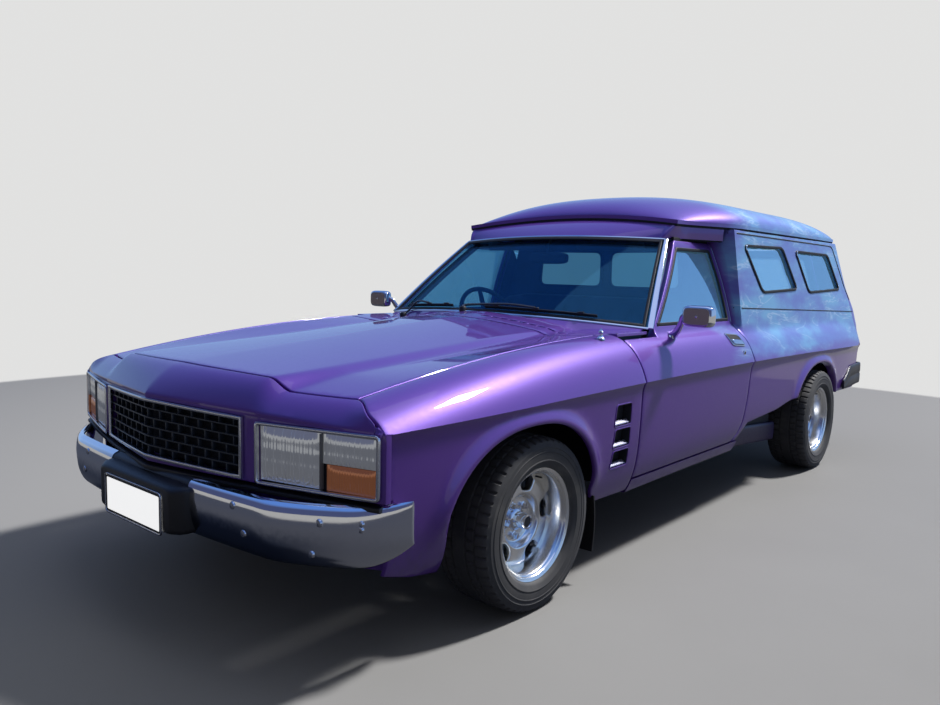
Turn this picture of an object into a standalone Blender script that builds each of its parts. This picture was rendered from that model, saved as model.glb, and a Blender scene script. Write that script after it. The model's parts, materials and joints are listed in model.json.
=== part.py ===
"""A panel van of the late 1970s: a long bonnet, a two-door cab and a high-roofed load space behind it.

Units are metres, +Z is up, the front faces -Y and the van's own left side is +X.
Stations along the van are measured from the front axle, as on a body drawing, and every piece hangs
from one empty that puts the middle of the van's length over the origin.
"""
from math import cos, pi, radians, sin

import bmesh
import bpy
import numpy as np
from mathutils import Matrix, Vector
from mathutils.geometry import delaunay_2d_cdt

# Driving dimensions of the whole van
LENGTH = 4.96
FRONT_OVERHANG = 0.985
WHEELBASE = 2.896
CREASE_HALF_WIDTH = 0.938
ROOF_HALF_WIDTH = 0.775
ROOF_HEIGHT = 1.620
GUTTER_HEIGHT = 1.42
SILL_HEIGHT = 0.283
CREASE_HEIGHT = 0.747
BELT_HEIGHT = 0.909
LOAD_FLOOR_HEIGHT = 0.585
CAB_FLOOR_HEIGHT = 0.31

# Wheels and axles
TYRE_RADIUS = 0.305
TYRE_WIDTH = 0.225
RIM_RADIUS = 0.197
RIM_WIDTH = 0.190
WHEEL_FACE = 0.890
REAR_WHEEL_OFFSET = 0.034
KINGPIN_X = 0.700
WHEEL_SEGMENTS = 32

# Gaps and wall thicknesses
SHUT_GAP = 0.007
TOUCH = 0.0004
DOOR_WALL = 0.060
DOOR_DRAFT = 0.010
GUARD_WALL = 0.014
SIDE_WALL = 0.040
BONNET_WALL = 0.022
ROOF_WALL = 0.024
GLASS = 0.006

# Stations from the front axle
REAR_AXLE = WHEELBASE
DOOR_FRONT = 0.645
DOOR_REAR = 1.782
BONNET_REAR = 0.560
PILLAR_STEP = 0.090
GUARD_FRONT = -0.728
SCREEN_FOOT = 0.925
SCREEN_HEAD = 1.360
REAR_END = LENGTH - FRONT_OVERHANG
TAIL = REAR_END - 0.067

# Rear bumper
BUMPER_GAP = 0.004
SIDE_WRAP = 0.014
BUMPER_TOP = 0.585

# Heights and widths of the sheet metal
DOOR_FRAME_TOP = 1.336
DOOR_FRAME_FOOT_X = 0.803
DOOR_FRAME_HEAD_X = 0.664
BONNET_EDGE = 0.745
SHELF_HEIGHT = 0.925
DOOR_SILL = 0.347
QUARTER_EDGE = 0.425
ARCH_FRONT_TOP = 0.668
ARCH_REAR_TOP = 0.662
ARCH_FOOT = 0.300
ARCH_FRONT_FOOT = -0.437
CORNER_ROLL = 0.028
CORNER_LENGTH = 0.075

ROOT = Vector((0.0, FRONT_OVERHANG - LENGTH / 2, 0.0))


def clear_scene():
    for item in list(bpy.data.objects):
        bpy.data.objects.remove(item)


def smooth(value):
    """Cubic ease from 0 to 1."""
    value = np.clip(value, 0.0, 1.0)
    return value * value * (3.0 - 2.0 * value)


# Body sections

def crease_z(y):
    """Height of the crease along the side, a shallow arch."""
    return CREASE_HEIGHT - 0.0056 * (y - 1.4) ** 2


def crease_x(y):
    """Half width at the crease: parallel between the axles, tapered at nose and tail."""
    nose = np.clip((-0.05 - y) / 0.68, 0.0, None)
    tail = np.clip((y - REAR_AXLE) / 1.0, 0.0, None)
    return CREASE_HALF_WIDTH - 0.040 * nose ** 2 - 0.045 * tail ** 2.2


def shelf_z(y):
    """Height of the inner end of the shoulder, where guard meets bonnet."""
    return SHELF_HEIGHT - 0.13 * (np.clip(0.75 - y, 0.0, None) / 1.45) ** 2


def shoulder(y, t):
    """The shoulder above the crease: a quadratic curve from the crease (t=0) to the shelf (t=1)."""
    x0, z0 = crease_x(y), crease_z(y)
    x2, z2 = BONNET_EDGE, shelf_z(y)
    x1, z1 = x0 - 0.055, z2 - 0.005
    a, b, c = (1 - t) ** 2, 2 * t * (1 - t), t * t
    return a * x0 + b * x1 + c * x2, a * z0 + b * z1 + c * z2


def arch_centre(front):
    return (-0.083, ARCH_FOOT) if front else (REAR_AXLE - 0.040, ARCH_FOOT)


def arch_size(front):
    """Half width and height of the wheel arch's opening."""
    return (0.410, ARCH_FRONT_TOP - ARCH_FOOT) if front else (0.405, ARCH_REAR_TOP - ARCH_FOOT)


ARCH_POWER = 2.3


def arch_ratio(y, z, front):
    """1 on the arch's edge, more outside it: a superellipse about the arch's centre."""
    (cy, cz), (a, b) = arch_centre(front), arch_size(front)
    up = np.clip(z - cz, 0.0, None)
    return (np.abs((y - cy) / a) ** ARCH_POWER + (up / b) ** ARCH_POWER) ** (1 / ARCH_POWER)


def arch_curve(front, count, z_from, z_to):
    """Points of the arch's edge, from the height z_from before the wheel to z_to behind it."""
    (cy, cz), (a, b) = arch_centre(front), arch_size(front)
    k = 2.0 / ARCH_POWER

    def angle(z):
        up = (z - cz) / b
        return np.arcsin(np.clip(abs(up), 0, 1) ** (1 / k)) * (1 if up > 0 else 0)

    start, end = angle(z_from), angle(z_to)
    t = np.linspace(start, pi - end, count)
    y = cy - a * np.sign(np.cos(t)) * np.abs(np.cos(t)) ** k
    z = cz + b * np.abs(np.sin(t)) ** k
    return list(zip(y, z))


def flare(y, z):
    """The rolled lip that stands out round each arch."""
    out = 0.0
    for front in (True, False):
        distance = (arch_ratio(y, z, front) - 1.0) * 0.40
        out = out + 0.017 * np.exp(-((distance - 0.012) / 0.030) ** 2)
    return out * smooth((z - 0.33) / 0.12) * smooth((crease_z(y) - z) / 0.05)


def lower_x(y, z):
    """Half width below the crease: a quick undercut, a nearly upright wall and a tuck at the sill."""
    depth = np.clip((crease_z(y) - z) / (CREASE_HEIGHT - SILL_HEIGHT), 0.0, 1.2)
    undercut = 0.014 * (1.0 - np.exp(-depth / 0.03))
    return crease_x(y) - undercut - 0.012 * depth - 0.057 * depth ** 5 + flare(y, z)


def shoulder_x(y, z):
    """Half width on the shoulder at a height z, by solving the shoulder's curve for z."""
    z0, z2 = crease_z(y), shelf_z(y)
    z1 = z2 - 0.005
    a, b, c = z0 - 2 * z1 + z2, 2 * (z1 - z0), z0 - z
    t = 2 * c / (-b - np.sqrt(np.clip(b * b - 4 * a * c, 0.0, None)))
    return shoulder(y, np.clip(t, 0.0, 1.0))[0]


def cab_x(z):
    """Half width of the door frames, which lean in towards the roof."""
    rise = (z - 0.93) / (DOOR_FRAME_TOP - 0.93)
    bow = 0.010 * np.sin(pi * np.clip(rise, 0.0, 1.0))
    return DOOR_FRAME_FOOT_X - (DOOR_FRAME_FOOT_X - DOOR_FRAME_HEAD_X) * rise + bow


def van_x(z):
    """Half width of the load space's upper side, more upright than the cab."""
    return 0.842 - (0.842 - ROOF_HALF_WIDTH) * (z - 0.95) / (GUTTER_HEIGHT - 0.95)


def door_x(y, z):
    """Outer skin of a door, from the sill up to the top of its window frame."""
    ledge = smooth((z - BELT_HEIGHT) / 0.021)
    upper = shoulder_x(y, np.minimum(z, BELT_HEIGHT)) * (1 - ledge) + cab_x(z) * ledge
    return np.where(z < crease_z(y), lower_x(y, z), upper)


TAIL_EDGE_X = 0.80
TAIL_PROFILE = [(0.400, -0.043), (0.560, -0.008), (0.700, 0.000), (0.813, -0.006), (0.951, -0.058),
                (1.085, -0.140), (1.250, -0.238), (1.430, -0.343)]


def tail_y(x, z):
    """Station of the tail's skin: upright low down, raked above, and a little fuller in the middle."""
    heights, stations = zip(*TAIL_PROFILE)
    return TAIL + np.interp(z, heights, stations) + 0.030 * (1 - (np.abs(x) / TAIL_EDGE_X) ** 2)


def side_x(y, z):
    """Outer skin of the side behind the door: it steps out from the cab's width just behind the shut line."""
    low = door_x(y, z)
    gap = 0.012
    line = van_x(z)
    blend = shoulder_x(y, z)
    high = 0.5 * (line + blend + np.sqrt((line - blend) ** 2 + gap ** 2)) - gap * 0.15
    high = high - 0.020 * np.clip(y - REAR_AXLE, 0.0, None) ** 2 * smooth((z - 0.95) / 0.20)
    high = np.where(z < crease_z(y), low, np.maximum(high, low))
    corner = np.clip(1.0 - (tail_y(TAIL_EDGE_X, z) - y) / CORNER_LENGTH, 0.0, None)
    roll = CORNER_ROLL * corner ** 2 * (1.0 - 0.8 * smooth((z - 0.76) / 0.10))
    return low + (high - low) * smooth((y - DOOR_REAR) / PILLAR_STEP) - roll


def ridge_z(y):
    """Height of the bonnet's centre line."""
    return 0.845 + 0.0865 * (y + 0.803)


def bonnet_z(x, y):
    """The bonnet's skin: a crowned centre, a short step down and a shallow outer part up to the guard."""
    across = np.abs(x)
    edge = ridge_z(y) - 0.012 - 0.024 * (y + 0.8) / 1.3
    rim = shelf_z(y)
    foot = np.minimum(rim + 0.012 - 0.02 * smooth((y + 0.75) / 0.7), edge - 0.020)
    crown = ridge_z(y) + (edge - ridge_z(y)) * (0.35 * across / 0.43 + 0.65 * (across / 0.43) ** 2)
    slope = edge + (foot - edge) * smooth((across - 0.43) / 0.09)
    outer = foot + (rim - foot) * np.clip((across - 0.52) / (BONNET_EDGE - 0.52), 0.0, 1.2)
    return np.where(across < 0.43, crown, np.where(across < 0.52, slope, outer))


def bonnet_front(x):
    """Station of the shut line between bonnet and nose panel."""
    return -0.803 + 0.21 * x * x


def nose_front(x):
    """Station of the nose's leading edge, a shallow prow in plan."""
    x = np.abs(x)
    return -0.938 + 0.16 * x + 0.08 * x * x


def nose_edge_z(x):
    return 0.754 - 0.028 * (np.abs(x) / 0.9) ** 1.5


def screen_point(u, v):
    """The windscreen's outer face: u from -1 to 1 across, v from 0 at the foot to 1 at the head."""
    half = 0.795 + (0.628 - 0.795) * v
    bow = 0.165 + (0.075 - 0.165) * v
    y = SCREEN_FOOT + (SCREEN_HEAD - SCREEN_FOOT) * v - bow * (1 - u * u)
    z = 0.934 + (1.338 - 0.934) * v + 0.035 * (1 - u * u) * (1 - v) + 0.018 * (1 - u * u) * v
    return np.stack([half * u, y, z + 0.010 * np.sin(pi * v)], -1)


def roof_plan(y):
    """Half width of the roof at the gutter, for a station: widest over the load space."""
    front = 1.405
    rise = smooth((y - front) / 0.55)
    width = 0.655 + (ROOF_HALF_WIDTH - 0.655) * rise
    return width - 0.022 * np.clip((y - REAR_AXLE) / 0.7, 0.0, None) ** 2


# Mesh builders

def add_object(name, verts, faces, material, parent=None):
    mesh = bpy.data.meshes.new(name)
    mesh.from_pydata([tuple(map(float, v)) for v in verts], [], faces)
    item = bpy.data.objects.new(name, mesh)
    bpy.context.scene.collection.objects.link(item)
    mesh.materials.append(material)
    bm = bmesh.new()
    bm.from_mesh(mesh)
    bmesh.ops.remove_doubles(bm, verts=bm.verts, dist=1e-6)
    bmesh.ops.recalc_face_normals(bm, faces=bm.faces)
    bm.to_mesh(mesh)
    bm.free()
    mesh.shade_smooth()
    mesh.set_sharp_from_angle(angle=radians(28))
    if parent:
        item.parent = parent
        item.location = -parent_offset(parent)
    return item


def parent_offset(empty):
    """Where an empty stands, measured from the van's root empty."""
    offset = Vector((0, 0, 0))
    while empty is not None and empty.name != "van":
        offset += empty.location
        empty = empty.parent
    return offset


def inside(points, loop):
    """True for each 2-D point inside a closed loop, by the crossing rule."""
    points, loop = np.asarray(points), np.asarray(loop)
    x, y = points[:, 0][:, None], points[:, 1][:, None]
    x0, y0 = loop[:, 0], loop[:, 1]
    x1, y1 = np.roll(x0, -1), np.roll(y0, -1)
    crosses = (y0 > y) != (y1 > y)
    with np.errstate(divide="ignore", invalid="ignore"):
        at = x0 + (y - y0) * (x1 - x0) / (y1 - y0)
    return (np.sum(crosses & (x < at), axis=1) % 2) == 1


def divided(loop, step):
    """The closed loop with its long edges cut into pieces no longer than step."""
    found = []
    loop = [np.asarray(p, float) for p in loop]
    for a, b in zip(loop, loop[1:] + loop[:1]):
        count = max(1, int(np.ceil(np.linalg.norm(b - a) / step)))
        found += [a + (b - a) * k / count for k in range(count)]
    return found


def panel(name, outline, skin, inward, material, step=0.16, holes=(), rows=(), columns=(), lines=(),
          draft=0.0, parent=None):
    """A sheet of metal or glass as a closed solid.

    outline and holes are loops in the sheet's own two coordinates, skin turns them into the outer face,
    inward gives each point's vector to the inner face, and rows, columns and lines are the places along
    which the mesh follows the curvature. draft makes the inner face smaller than the outer one.
    """
    loops = [divided(loop, step) for loop in (outline, *holes)]
    verts, edges = [], []
    for loop in loops:
        base = len(verts)
        verts += [Vector(p) for p in loop]
        edges += [(base + k, base + (k + 1) % len(loop)) for k in range(len(loop))]
    low = np.min(np.array(loops[0]), axis=0)
    high = np.max(np.array(loops[0]), axis=0)
    for v in rows:
        cuts = np.unique(np.concatenate([np.asarray(columns, float), [low[0] - 0.01, high[0] + 0.01]]))
        cuts = cuts[(cuts >= low[0] - 0.011) & (cuts <= high[0] + 0.011)]
        base = len(verts)
        verts += [Vector((u, v if np.isscalar(v) else v(u))) for u in cuts]
        edges += [(base + k, base + k + 1) for k in range(len(cuts) - 1)]
    for line in lines:
        base = len(verts)
        verts += [Vector(p) for p in line]
        edges += [(base + k, base + k + 1) for k in range(len(line) - 1)]
    out = delaunay_2d_cdt(verts, edges, [], 0, 1e-5, False)
    flat = np.array([tuple(v) for v in out[0]])
    tris = np.array(out[2])
    middle = flat[tris].mean(axis=1)
    keep = inside(middle, loops[0])
    for loop in loops[1:]:
        keep &= ~inside(middle, loop)
    tris = tris[keep]
    used, index = np.unique(tris, return_inverse=True)
    flat, tris = flat[used], index.reshape(-1, 3)
    ends = np.concatenate([tris[:, [0, 1]], tris[:, [1, 2]], tris[:, [2, 0]]])
    pairs = {tuple(e) for e in ends}
    rim = [e for e in pairs if (e[1], e[0]) not in pairs]
    shift = np.zeros_like(flat)
    for a, b in rim:
        way = flat[b] - flat[a]
        normal = np.array([-way[1], way[0]]) / (np.linalg.norm(way) + 1e-12)
        shift[a] += normal
        shift[b] += normal
    size = np.linalg.norm(shift, axis=1, keepdims=True)
    shift = np.where(size > 1e-9, shift / np.maximum(size, 1e-9), 0.0)
    inner = flat + shift * draft
    outer_points = skin(flat[:, 0], flat[:, 1])
    inner_points = skin(inner[:, 0], inner[:, 1]) + inward(inner[:, 0], inner[:, 1])
    count = len(flat)
    faces = [tuple(t) for t in tris] + [tuple(t[::-1] + count) for t in tris]
    faces += [(b, a, a + count, b + count) for a, b in rim]
    return add_object(name, np.concatenate([outer_points, inner_points]), faces, material, parent)


def revolve(name, profile, centre, count, material, parent=None):
    """A closed profile of (radius, x) pairs turned about the X axis through centre."""
    angles = np.linspace(0, 2 * pi, count, endpoint=False)
    profile = np.array(profile, float)
    verts = [(centre[0] + x, centre[1] + r * cos(a), centre[2] + r * sin(a)) for a in angles for r, x in profile]
    n = len(profile)
    faces = []
    for i in range(count):
        j = (i + 1) % count
        faces += [(i * n + k, i * n + (k + 1) % n, j * n + (k + 1) % n, j * n + k) for k in range(n)]
    return add_object(name, verts, faces, material, parent)


def sweep(name, stations, material, parent=None):
    """A solid through a list of rings, each a list of 3-D points of equal number, with flat ends."""
    n = len(stations[0])
    verts = [p for ring in stations for p in ring]
    faces = []
    for i in range(len(stations) - 1):
        faces += [(i * n + k, i * n + (k + 1) % n, (i + 1) * n + (k + 1) % n, (i + 1) * n + k)
                  for k in range(n)]
    faces += [tuple(range(n))[::-1], tuple((len(stations) - 1) * n + k for k in range(n))]
    return add_object(name, verts, faces, material, parent)


def tube_rings(path, radius, sides=8):
    """Rings of a round tube along a path of points."""
    path = [Vector(p) for p in path]
    rings, side = [], None
    for k, point in enumerate(path):
        way = (path[min(k + 1, len(path) - 1)] - path[max(k - 1, 0)]).normalized()
        if side is None:
            side = way.orthogonal().normalized()
        side = (side - way * side.dot(way)).normalized()
        up = way.cross(side)
        r = radius[k] if hasattr(radius, "__len__") else radius
        rings.append([tuple(point + (side * cos(a) + up * sin(a)) * r)
                      for a in np.linspace(0, 2 * pi, sides, endpoint=False)])
    return rings


def box_points(low, high):
    (x0, y0, z0), (x1, y1, z1) = low, high
    return [(x0, y0, z0), (x1, y0, z0), (x1, y1, z0), (x0, y1, z0),
            (x0, y0, z1), (x1, y0, z1), (x1, y1, z1), (x0, y1, z1)]


BOX_FACES = [(0, 3, 2, 1), (4, 5, 6, 7), (0, 1, 5, 4), (1, 2, 6, 5), (2, 3, 7, 6), (3, 0, 4, 7)]


def block(name, low, high, material, parent=None, bevel=0.0, segments=2):
    item = add_object(name, box_points(low, high), BOX_FACES, material, parent)
    if bevel:
        modifier = item.modifiers.new("edges", "BEVEL")
        modifier.width = bevel
        modifier.segments = segments
    return item


def helper(item):
    """Marks an object as a cutter or a building block that the van itself doesn't hold."""
    item.hide_render = True
    item.display_type = "WIRE"
    return item


def combine(target, others, operation="UNION"):
    for other in others:
        helper(other)
        modifier = target.modifiers.new(operation.lower() + "_" + other.name, "BOOLEAN")
        modifier.operation = operation
        modifier.object = other
    return target


def joint_empty(name, location, parent=None):
    empty = bpy.data.objects.new(name, None)
    bpy.context.scene.collection.objects.link(empty)
    if parent is not None:
        empty.parent = parent
        empty.location = Vector(location) - parent_offset(parent)
    else:
        empty.location = location
    return empty


def finish_material(name, color, roughness, metallic=0.0, alpha=1.0):
    material = bpy.data.materials.new(name)
    material.use_nodes = True
    shader = material.node_tree.nodes["Principled BSDF"]
    shader.inputs["Base Color"].default_value = (*color, 1.0)
    shader.inputs["Roughness"].default_value = roughness
    shader.inputs["Metallic"].default_value = metallic
    shader.inputs["Alpha"].default_value = alpha
    return material


def shell(name, outer, inner, material, parent=None):
    """A closed solid between two grids of points, joined round their edges."""
    outer, inner = np.asarray(outer, float), np.asarray(inner, float)
    m, n = outer.shape[:2]
    index = np.arange(m * n).reshape(m, n)
    quads = np.stack([index[:-1, :-1], index[1:, :-1], index[1:, 1:], index[:-1, 1:]], -1).reshape(-1, 4)
    loop = np.concatenate([index[0, :-1], index[:-1, -1], index[-1, :0:-1], index[:0:-1, 0]])
    total = m * n
    faces = [tuple(q) for q in quads] + [tuple(q[::-1] + total) for q in quads]
    faces += [(int(a), int(b), int(b) + total, int(a) + total) for a, b in zip(loop, np.roll(loop, -1))]
    return add_object(name, np.concatenate([outer.reshape(-1, 3), inner.reshape(-1, 3)]), faces, material, parent)


def side_skin(section, side, offset=0.0):
    """Turns (station, height) into points on one side of the van."""
    def skin(y, z):
        return np.stack([side * (section(y, z) + offset), y, z], -1)
    return skin


def along(vector):
    def inward(u, v):
        return np.tile(np.array(vector, float), (len(u), 1))
    return inward


# Floor and front structure

def build_floor(parent, paint):
    """The cab floor with its tunnel, the raised load floor with wheel boxes, the bulkhead and engine bay walls."""
    t = 0.015
    z0, z1 = CAB_FLOOR_HEIGHT, LOAD_FLOOR_HEIGHT
    step_y = DOOR_REAR + 0.020
    floor = block("floor_pan", (-0.780, 0.600, z0), (0.780, step_y + 0.010, z0 + t), paint, parent)
    parts = [
        block("firewall", (-0.795, 0.600, z0 + 0.004), (0.795, 0.600 + t, 0.865), paint, parent),
        block("tunnel", (-0.180, 0.602, z0 + 0.002), (0.180, step_y + 0.006, 0.500), paint, parent),
        block("riser", (-0.780, step_y, z0 + 0.001), (0.780, step_y + t, z1 + 0.010), paint, parent),
        block("load_floor", (-0.790, step_y + 0.002, z1), (0.790, TAIL - 0.060, z1 + t), paint, parent),
        block("radiator_panel", (-0.480, -0.690, 0.440), (0.480, -0.675, 0.736), paint, parent),
    ]
    for side in (-1, 1):
        low_x, high_x = sorted((side * 0.745, side * 0.858))
        parts.append(block(f"rocker_{side}", (low_x, DOOR_FRONT + 0.006, SILL_HEIGHT),
                           (high_x, DOOR_REAR - 0.060, DOOR_SILL - 0.008), paint, parent))
        low_x, high_x = sorted((side * 0.470, side * 0.485))
        parts.append(block(f"apron_{side}", (low_x, -0.688, 0.470), (high_x, 0.606, 0.730), paint, parent))
        low_x, high_x = sorted((side * 0.600, side * 0.800))
        arch_y = arch_centre(False)[0]
        parts.append(block(f"wheel_box_{side}", (low_x, arch_y - 0.430, z1 + 0.004),
                           (high_x, arch_y + 0.430, 0.735), paint, parent))
        low_x, high_x = sorted((side * 0.760, side * 0.788))
        parts.append(block(f"inner_sill_{side}", (low_x, step_y + 0.004, 0.262),
                           (high_x, arch_y - 0.425, z1 + 0.005), paint, parent))
    combine(floor, parts)
    cuts = [block("tunnel_space", (-0.166, 0.550, 0.250), (0.166, step_y + 0.050, 0.486), paint, parent)]
    for side in (-1, 1):
        low_x, high_x = sorted((side * 0.614, side * 0.900))
        cuts.append(block(f"wheel_space_{side}", (low_x, arch_y - 0.416, 0.400),
                          (high_x, arch_y + 0.416, 0.721), paint, parent))
    combine(floor, cuts, "DIFFERENCE")


# Sides

GUARD_TOP = 0.25


def guard_skin(side):
    """Turns (station, s) into points: s below 0 is the drop under the crease, above 0 the way over the shoulder."""
    def skin(y, s):
        low_z = crease_z(y) + np.minimum(s, 0.0)
        low_x = lower_x(y, low_z)
        top_x, top_z = shoulder(y, np.clip(s / GUARD_TOP, 0.0, 1.0))
        over = s > 0.0
        return np.stack([side * np.where(over, top_x, low_x), y, np.where(over, top_z, low_z)], -1)
    return skin


def build_guard(side, parent, paint):
    def drop(y, z):
        return (y, z - float(crease_z(y)))

    def inward(y, s):
        turn = 0.5 * pi * np.clip(s / GUARD_TOP, 0.0, 1.0)
        return GUARD_WALL * np.stack([-side * np.cos(turn), 0 * y, -np.sin(turn)], -1)

    rear = DOOR_FRONT - SHUT_GAP / 2
    front = GUARD_FRONT + 0.002
    lamp_end = GUARD_FRONT + 0.025
    outline = [(rear, GUARD_TOP), (front, GUARD_TOP), drop(front, 0.724), drop(lamp_end, 0.720)]
    outline += [drop(lamp_end, 0.538), drop(-0.640, 0.522), drop(-0.615, 0.300), drop(-0.560, 0.264)]
    outline += [drop(ARCH_FRONT_FOOT, 0.242)]
    outline += [drop(y, z) for y, z in arch_curve(True, 21, 0.430, 0.350)]
    outline += [drop(0.372, 0.300), drop(rear, 0.294)]
    rows = [-0.30, -0.12, -0.05, -0.016, 0.0, 0.035, 0.08, 0.13, 0.18, 0.22]
    columns = [-0.62, -0.40, -0.09, 0.20, 0.42]
    name = "guard_left" if side > 0 else "guard_right"
    return panel(name, outline, guard_skin(side), inward, paint, 0.15, rows=rows, columns=columns, parent=parent)


def screen_edge(z):
    """Station of the windscreen's side edge at a height."""
    return SCREEN_FOOT + (z - 0.934) * (SCREEN_HEAD - SCREEN_FOOT) / 0.404


REAR_SHUT = [(1.782, 0.950), (1.782, 0.900), (1.776, 0.764), (1.768, 0.690), (1.752, 0.560), (1.727, 0.440),
             (1.694, 0.385), (1.645, DOOR_SILL)]


def build_door(side, parent, paint, glass):
    gap = SHUT_GAP / 2
    top = DOOR_FRAME_TOP
    shoulder_top = BELT_HEIGHT - 0.005
    outline = [(y - gap, z) for y, z in REAR_SHUT][::-1]
    outline = [(DOOR_FRONT + gap, DOOR_SILL)] + outline
    outline += [(DOOR_REAR - gap, top), (screen_edge(top) + 0.014, top), (screen_edge(0.960) + 0.014, 0.960)]
    outline += [(SCREEN_FOOT + 0.022, 0.934), (SCREEN_FOOT + 0.004, shoulder_top), (DOOR_FRONT + gap, shoulder_top)]
    hole_top, hole_foot = top - 0.034, 0.946
    hole = [(screen_edge(hole_foot) + 0.040, hole_foot), (DOOR_REAR - 0.034, hole_foot),
            (DOOR_REAR - 0.044, hole_top), (screen_edge(hole_top) + 0.042, hole_top)]
    rows = [0.40, 0.50, 0.60, 0.675, 0.715, 0.735, crease_z, 0.775, 0.815, 0.855, 0.885, 0.93, 1.05, 1.20]
    columns = [0.66, 1.00, 1.35, 1.62]
    name = "left" if side > 0 else "right"

    def inward(y, z):
        """The lower door is as thick as its wall, the window frame half of that."""
        wall = DOOR_WALL - 0.5 * DOOR_WALL * smooth((z - 0.90) / 0.03)
        return np.stack([-side * wall, 0 * y, 0 * y], -1)

    panel("door_" + name, outline, side_skin(door_x, side), inward, paint, 0.20, holes=[hole],
          rows=rows, columns=columns, draft=DOOR_DRAFT, parent=parent)
    edge = 0.0005
    pane = [(hole[0][0] + 2 * edge, hole[0][1] + edge), (hole[1][0] - edge, hole[1][1] + edge),
            (hole[2][0] - edge, hole[2][1] - edge), (hole[3][0] + 2 * edge, hole[3][1] - edge)]
    panel("door_glass_" + name, pane, side_skin(door_x, side, -0.012), along((-side * GLASS, 0, 0)), glass, 0.20,
          rows=[1.05, 1.20], columns=[1.35], parent=parent)


SIDE_WINDOWS = {
    "front": [(1.923, 1.335), (2.490, 1.343), (2.689, 1.102), (2.134, 1.086)],
    "rear": [(2.705, 1.331), (3.335, 1.328), (3.556, 1.100), (2.900, 1.082)],
}


def rounded(corners, radius, count=4):
    """A loop with its corners rounded by quadratic curves."""
    found = []
    corners = [np.asarray(c, float) for c in corners]
    for before, here, after in zip(corners[-1:] + corners[:-1], corners, corners[1:] + corners[:1]):
        a = here + (before - here) / np.linalg.norm(before - here) * radius
        b = here + (after - here) / np.linalg.norm(after - here) * radius
        for t in np.linspace(0, 1, count):
            found.append(tuple((1 - t) ** 2 * a + 2 * t * (1 - t) * here + t * t * b))
    return found


def shrink(loop, amount):
    """The loop moved inwards by an amount, taken about its own centre."""
    loop = np.asarray(loop, float)
    centre = loop.mean(axis=0)
    away = loop - centre
    size = np.linalg.norm(away, axis=1, keepdims=True)
    return [tuple(p) for p in centre + away * (1 - amount / size)]


def build_quarter(side, parent, paint, glass):
    gap = SHUT_GAP / 2
    outline = [(y + gap, z) for y, z in REAR_SHUT] + [(1.700, DOOR_SILL), (1.800, QUARTER_EDGE)]
    outline += [(2.200, 0.446)]
    outline += arch_curve(False, 17, 0.470, 0.420)
    top = GUTTER_HEIGHT - 0.010
    heights = (0.415, 0.560, 0.700, 0.813, 0.951, 1.085, 1.250, top)
    outline += [(float(tail_y(TAIL_EDGE_X, z)) - 0.004, z) for z in heights]
    outline += [(DOOR_REAR + gap, top)]
    lines = [[(float(tail_y(TAIL_EDGE_X, z)) - share * CORNER_LENGTH, z + 0.003 * (z < 0.5) - 0.003 * (z > 1.4))
              for z in heights] for share in (0.35, 0.65, 1.0)]
    holes = [rounded(corners, 0.045) for corners in SIDE_WINDOWS.values()]
    rows = [0.58, 0.70, 0.733, crease_z, 0.78, 0.835, 0.88, 0.915, 0.955, 1.215]
    columns = [1.805, 1.83, 1.86, 1.885, 2.20, 2.60, 2.90, 3.20, 3.55]
    name = "left" if side > 0 else "right"
    panel("quarter_" + name, outline, side_skin(side_x, side), along((-side * SIDE_WALL, 0, 0)), paint, 0.22,
          holes=holes, rows=rows, columns=columns, lines=lines, parent=parent)
    for place, corners in SIDE_WINDOWS.items():
        pane = shrink(rounded(corners, 0.045), 0.0008)
        panel(f"side_glass_{name}_{place}", pane, side_skin(side_x, side, -0.010), along((-side * GLASS, 0, 0)),
              glass, 0.30, parent=parent)


# Front end

def surface_skin(height):
    def skin(x, y):
        return np.stack([x, y, height(x, y)], -1)
    return skin


def mirrored(half):
    """A closed loop from its left half: the points with x above 0, then their mirror images."""
    return half + [(-x, y) for x, y in half[::-1]]


def build_bonnet(parent, paint):
    gap = SHUT_GAP
    edge = BONNET_EDGE - gap
    front = [(x, float(bonnet_front(x)) + gap) for x in (0.10, 0.30, 0.43, 0.52, 0.64, edge)]
    half = front + [(edge, y) for y in (-0.40, -0.05, 0.30)] + [(edge, BONNET_REAR - 0.004), (0.43, BONNET_REAR - 0.004)]
    loop = mirrored(half)
    columns = [-0.60, -0.30, 0.0, 0.30]
    across = [-0.64, -0.52, -0.50, -0.475, -0.45, -0.43, -0.22, 0.0, 0.22, 0.43, 0.45, 0.475, 0.50, 0.52, 0.64]

    def skin(y, x):
        return np.stack([x, y, bonnet_z(x, y)], -1)

    loop = [(y, x) for x, y in loop]
    return panel("bonnet", loop, skin, along((0, 0, -BONNET_WALL)), paint, 0.30, rows=across, columns=columns,
                 draft=0.004, parent=parent)


def nose_z(x, y):
    """The nose panel's skin: from the bonnet's line it rolls down to the leading edge."""
    across = np.abs(x)
    back = np.where(across < BONNET_EDGE, bonnet_front(x), GUARD_FRONT)
    front = nose_front(x)
    t = np.clip((y - front) / (back - front), 0.0, 1.0)
    inner = bonnet_z(np.minimum(across, BONNET_EDGE), back)
    outer = shoulder_z(np.clip(across, BONNET_EDGE, None))
    rear = np.where(across < BONNET_EDGE, inner, outer)
    return nose_edge_z(x) + (rear - nose_edge_z(x)) * (1 - (1 - t) ** 1.7)


def shoulder_z(x):
    """Height of the guard's shoulder at its front end for a half width."""
    t = np.linspace(0.0, 1.0, 30)
    xs, zs = shoulder(GUARD_FRONT, t)
    return np.interp(x, xs[::-1], zs[::-1])


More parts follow.
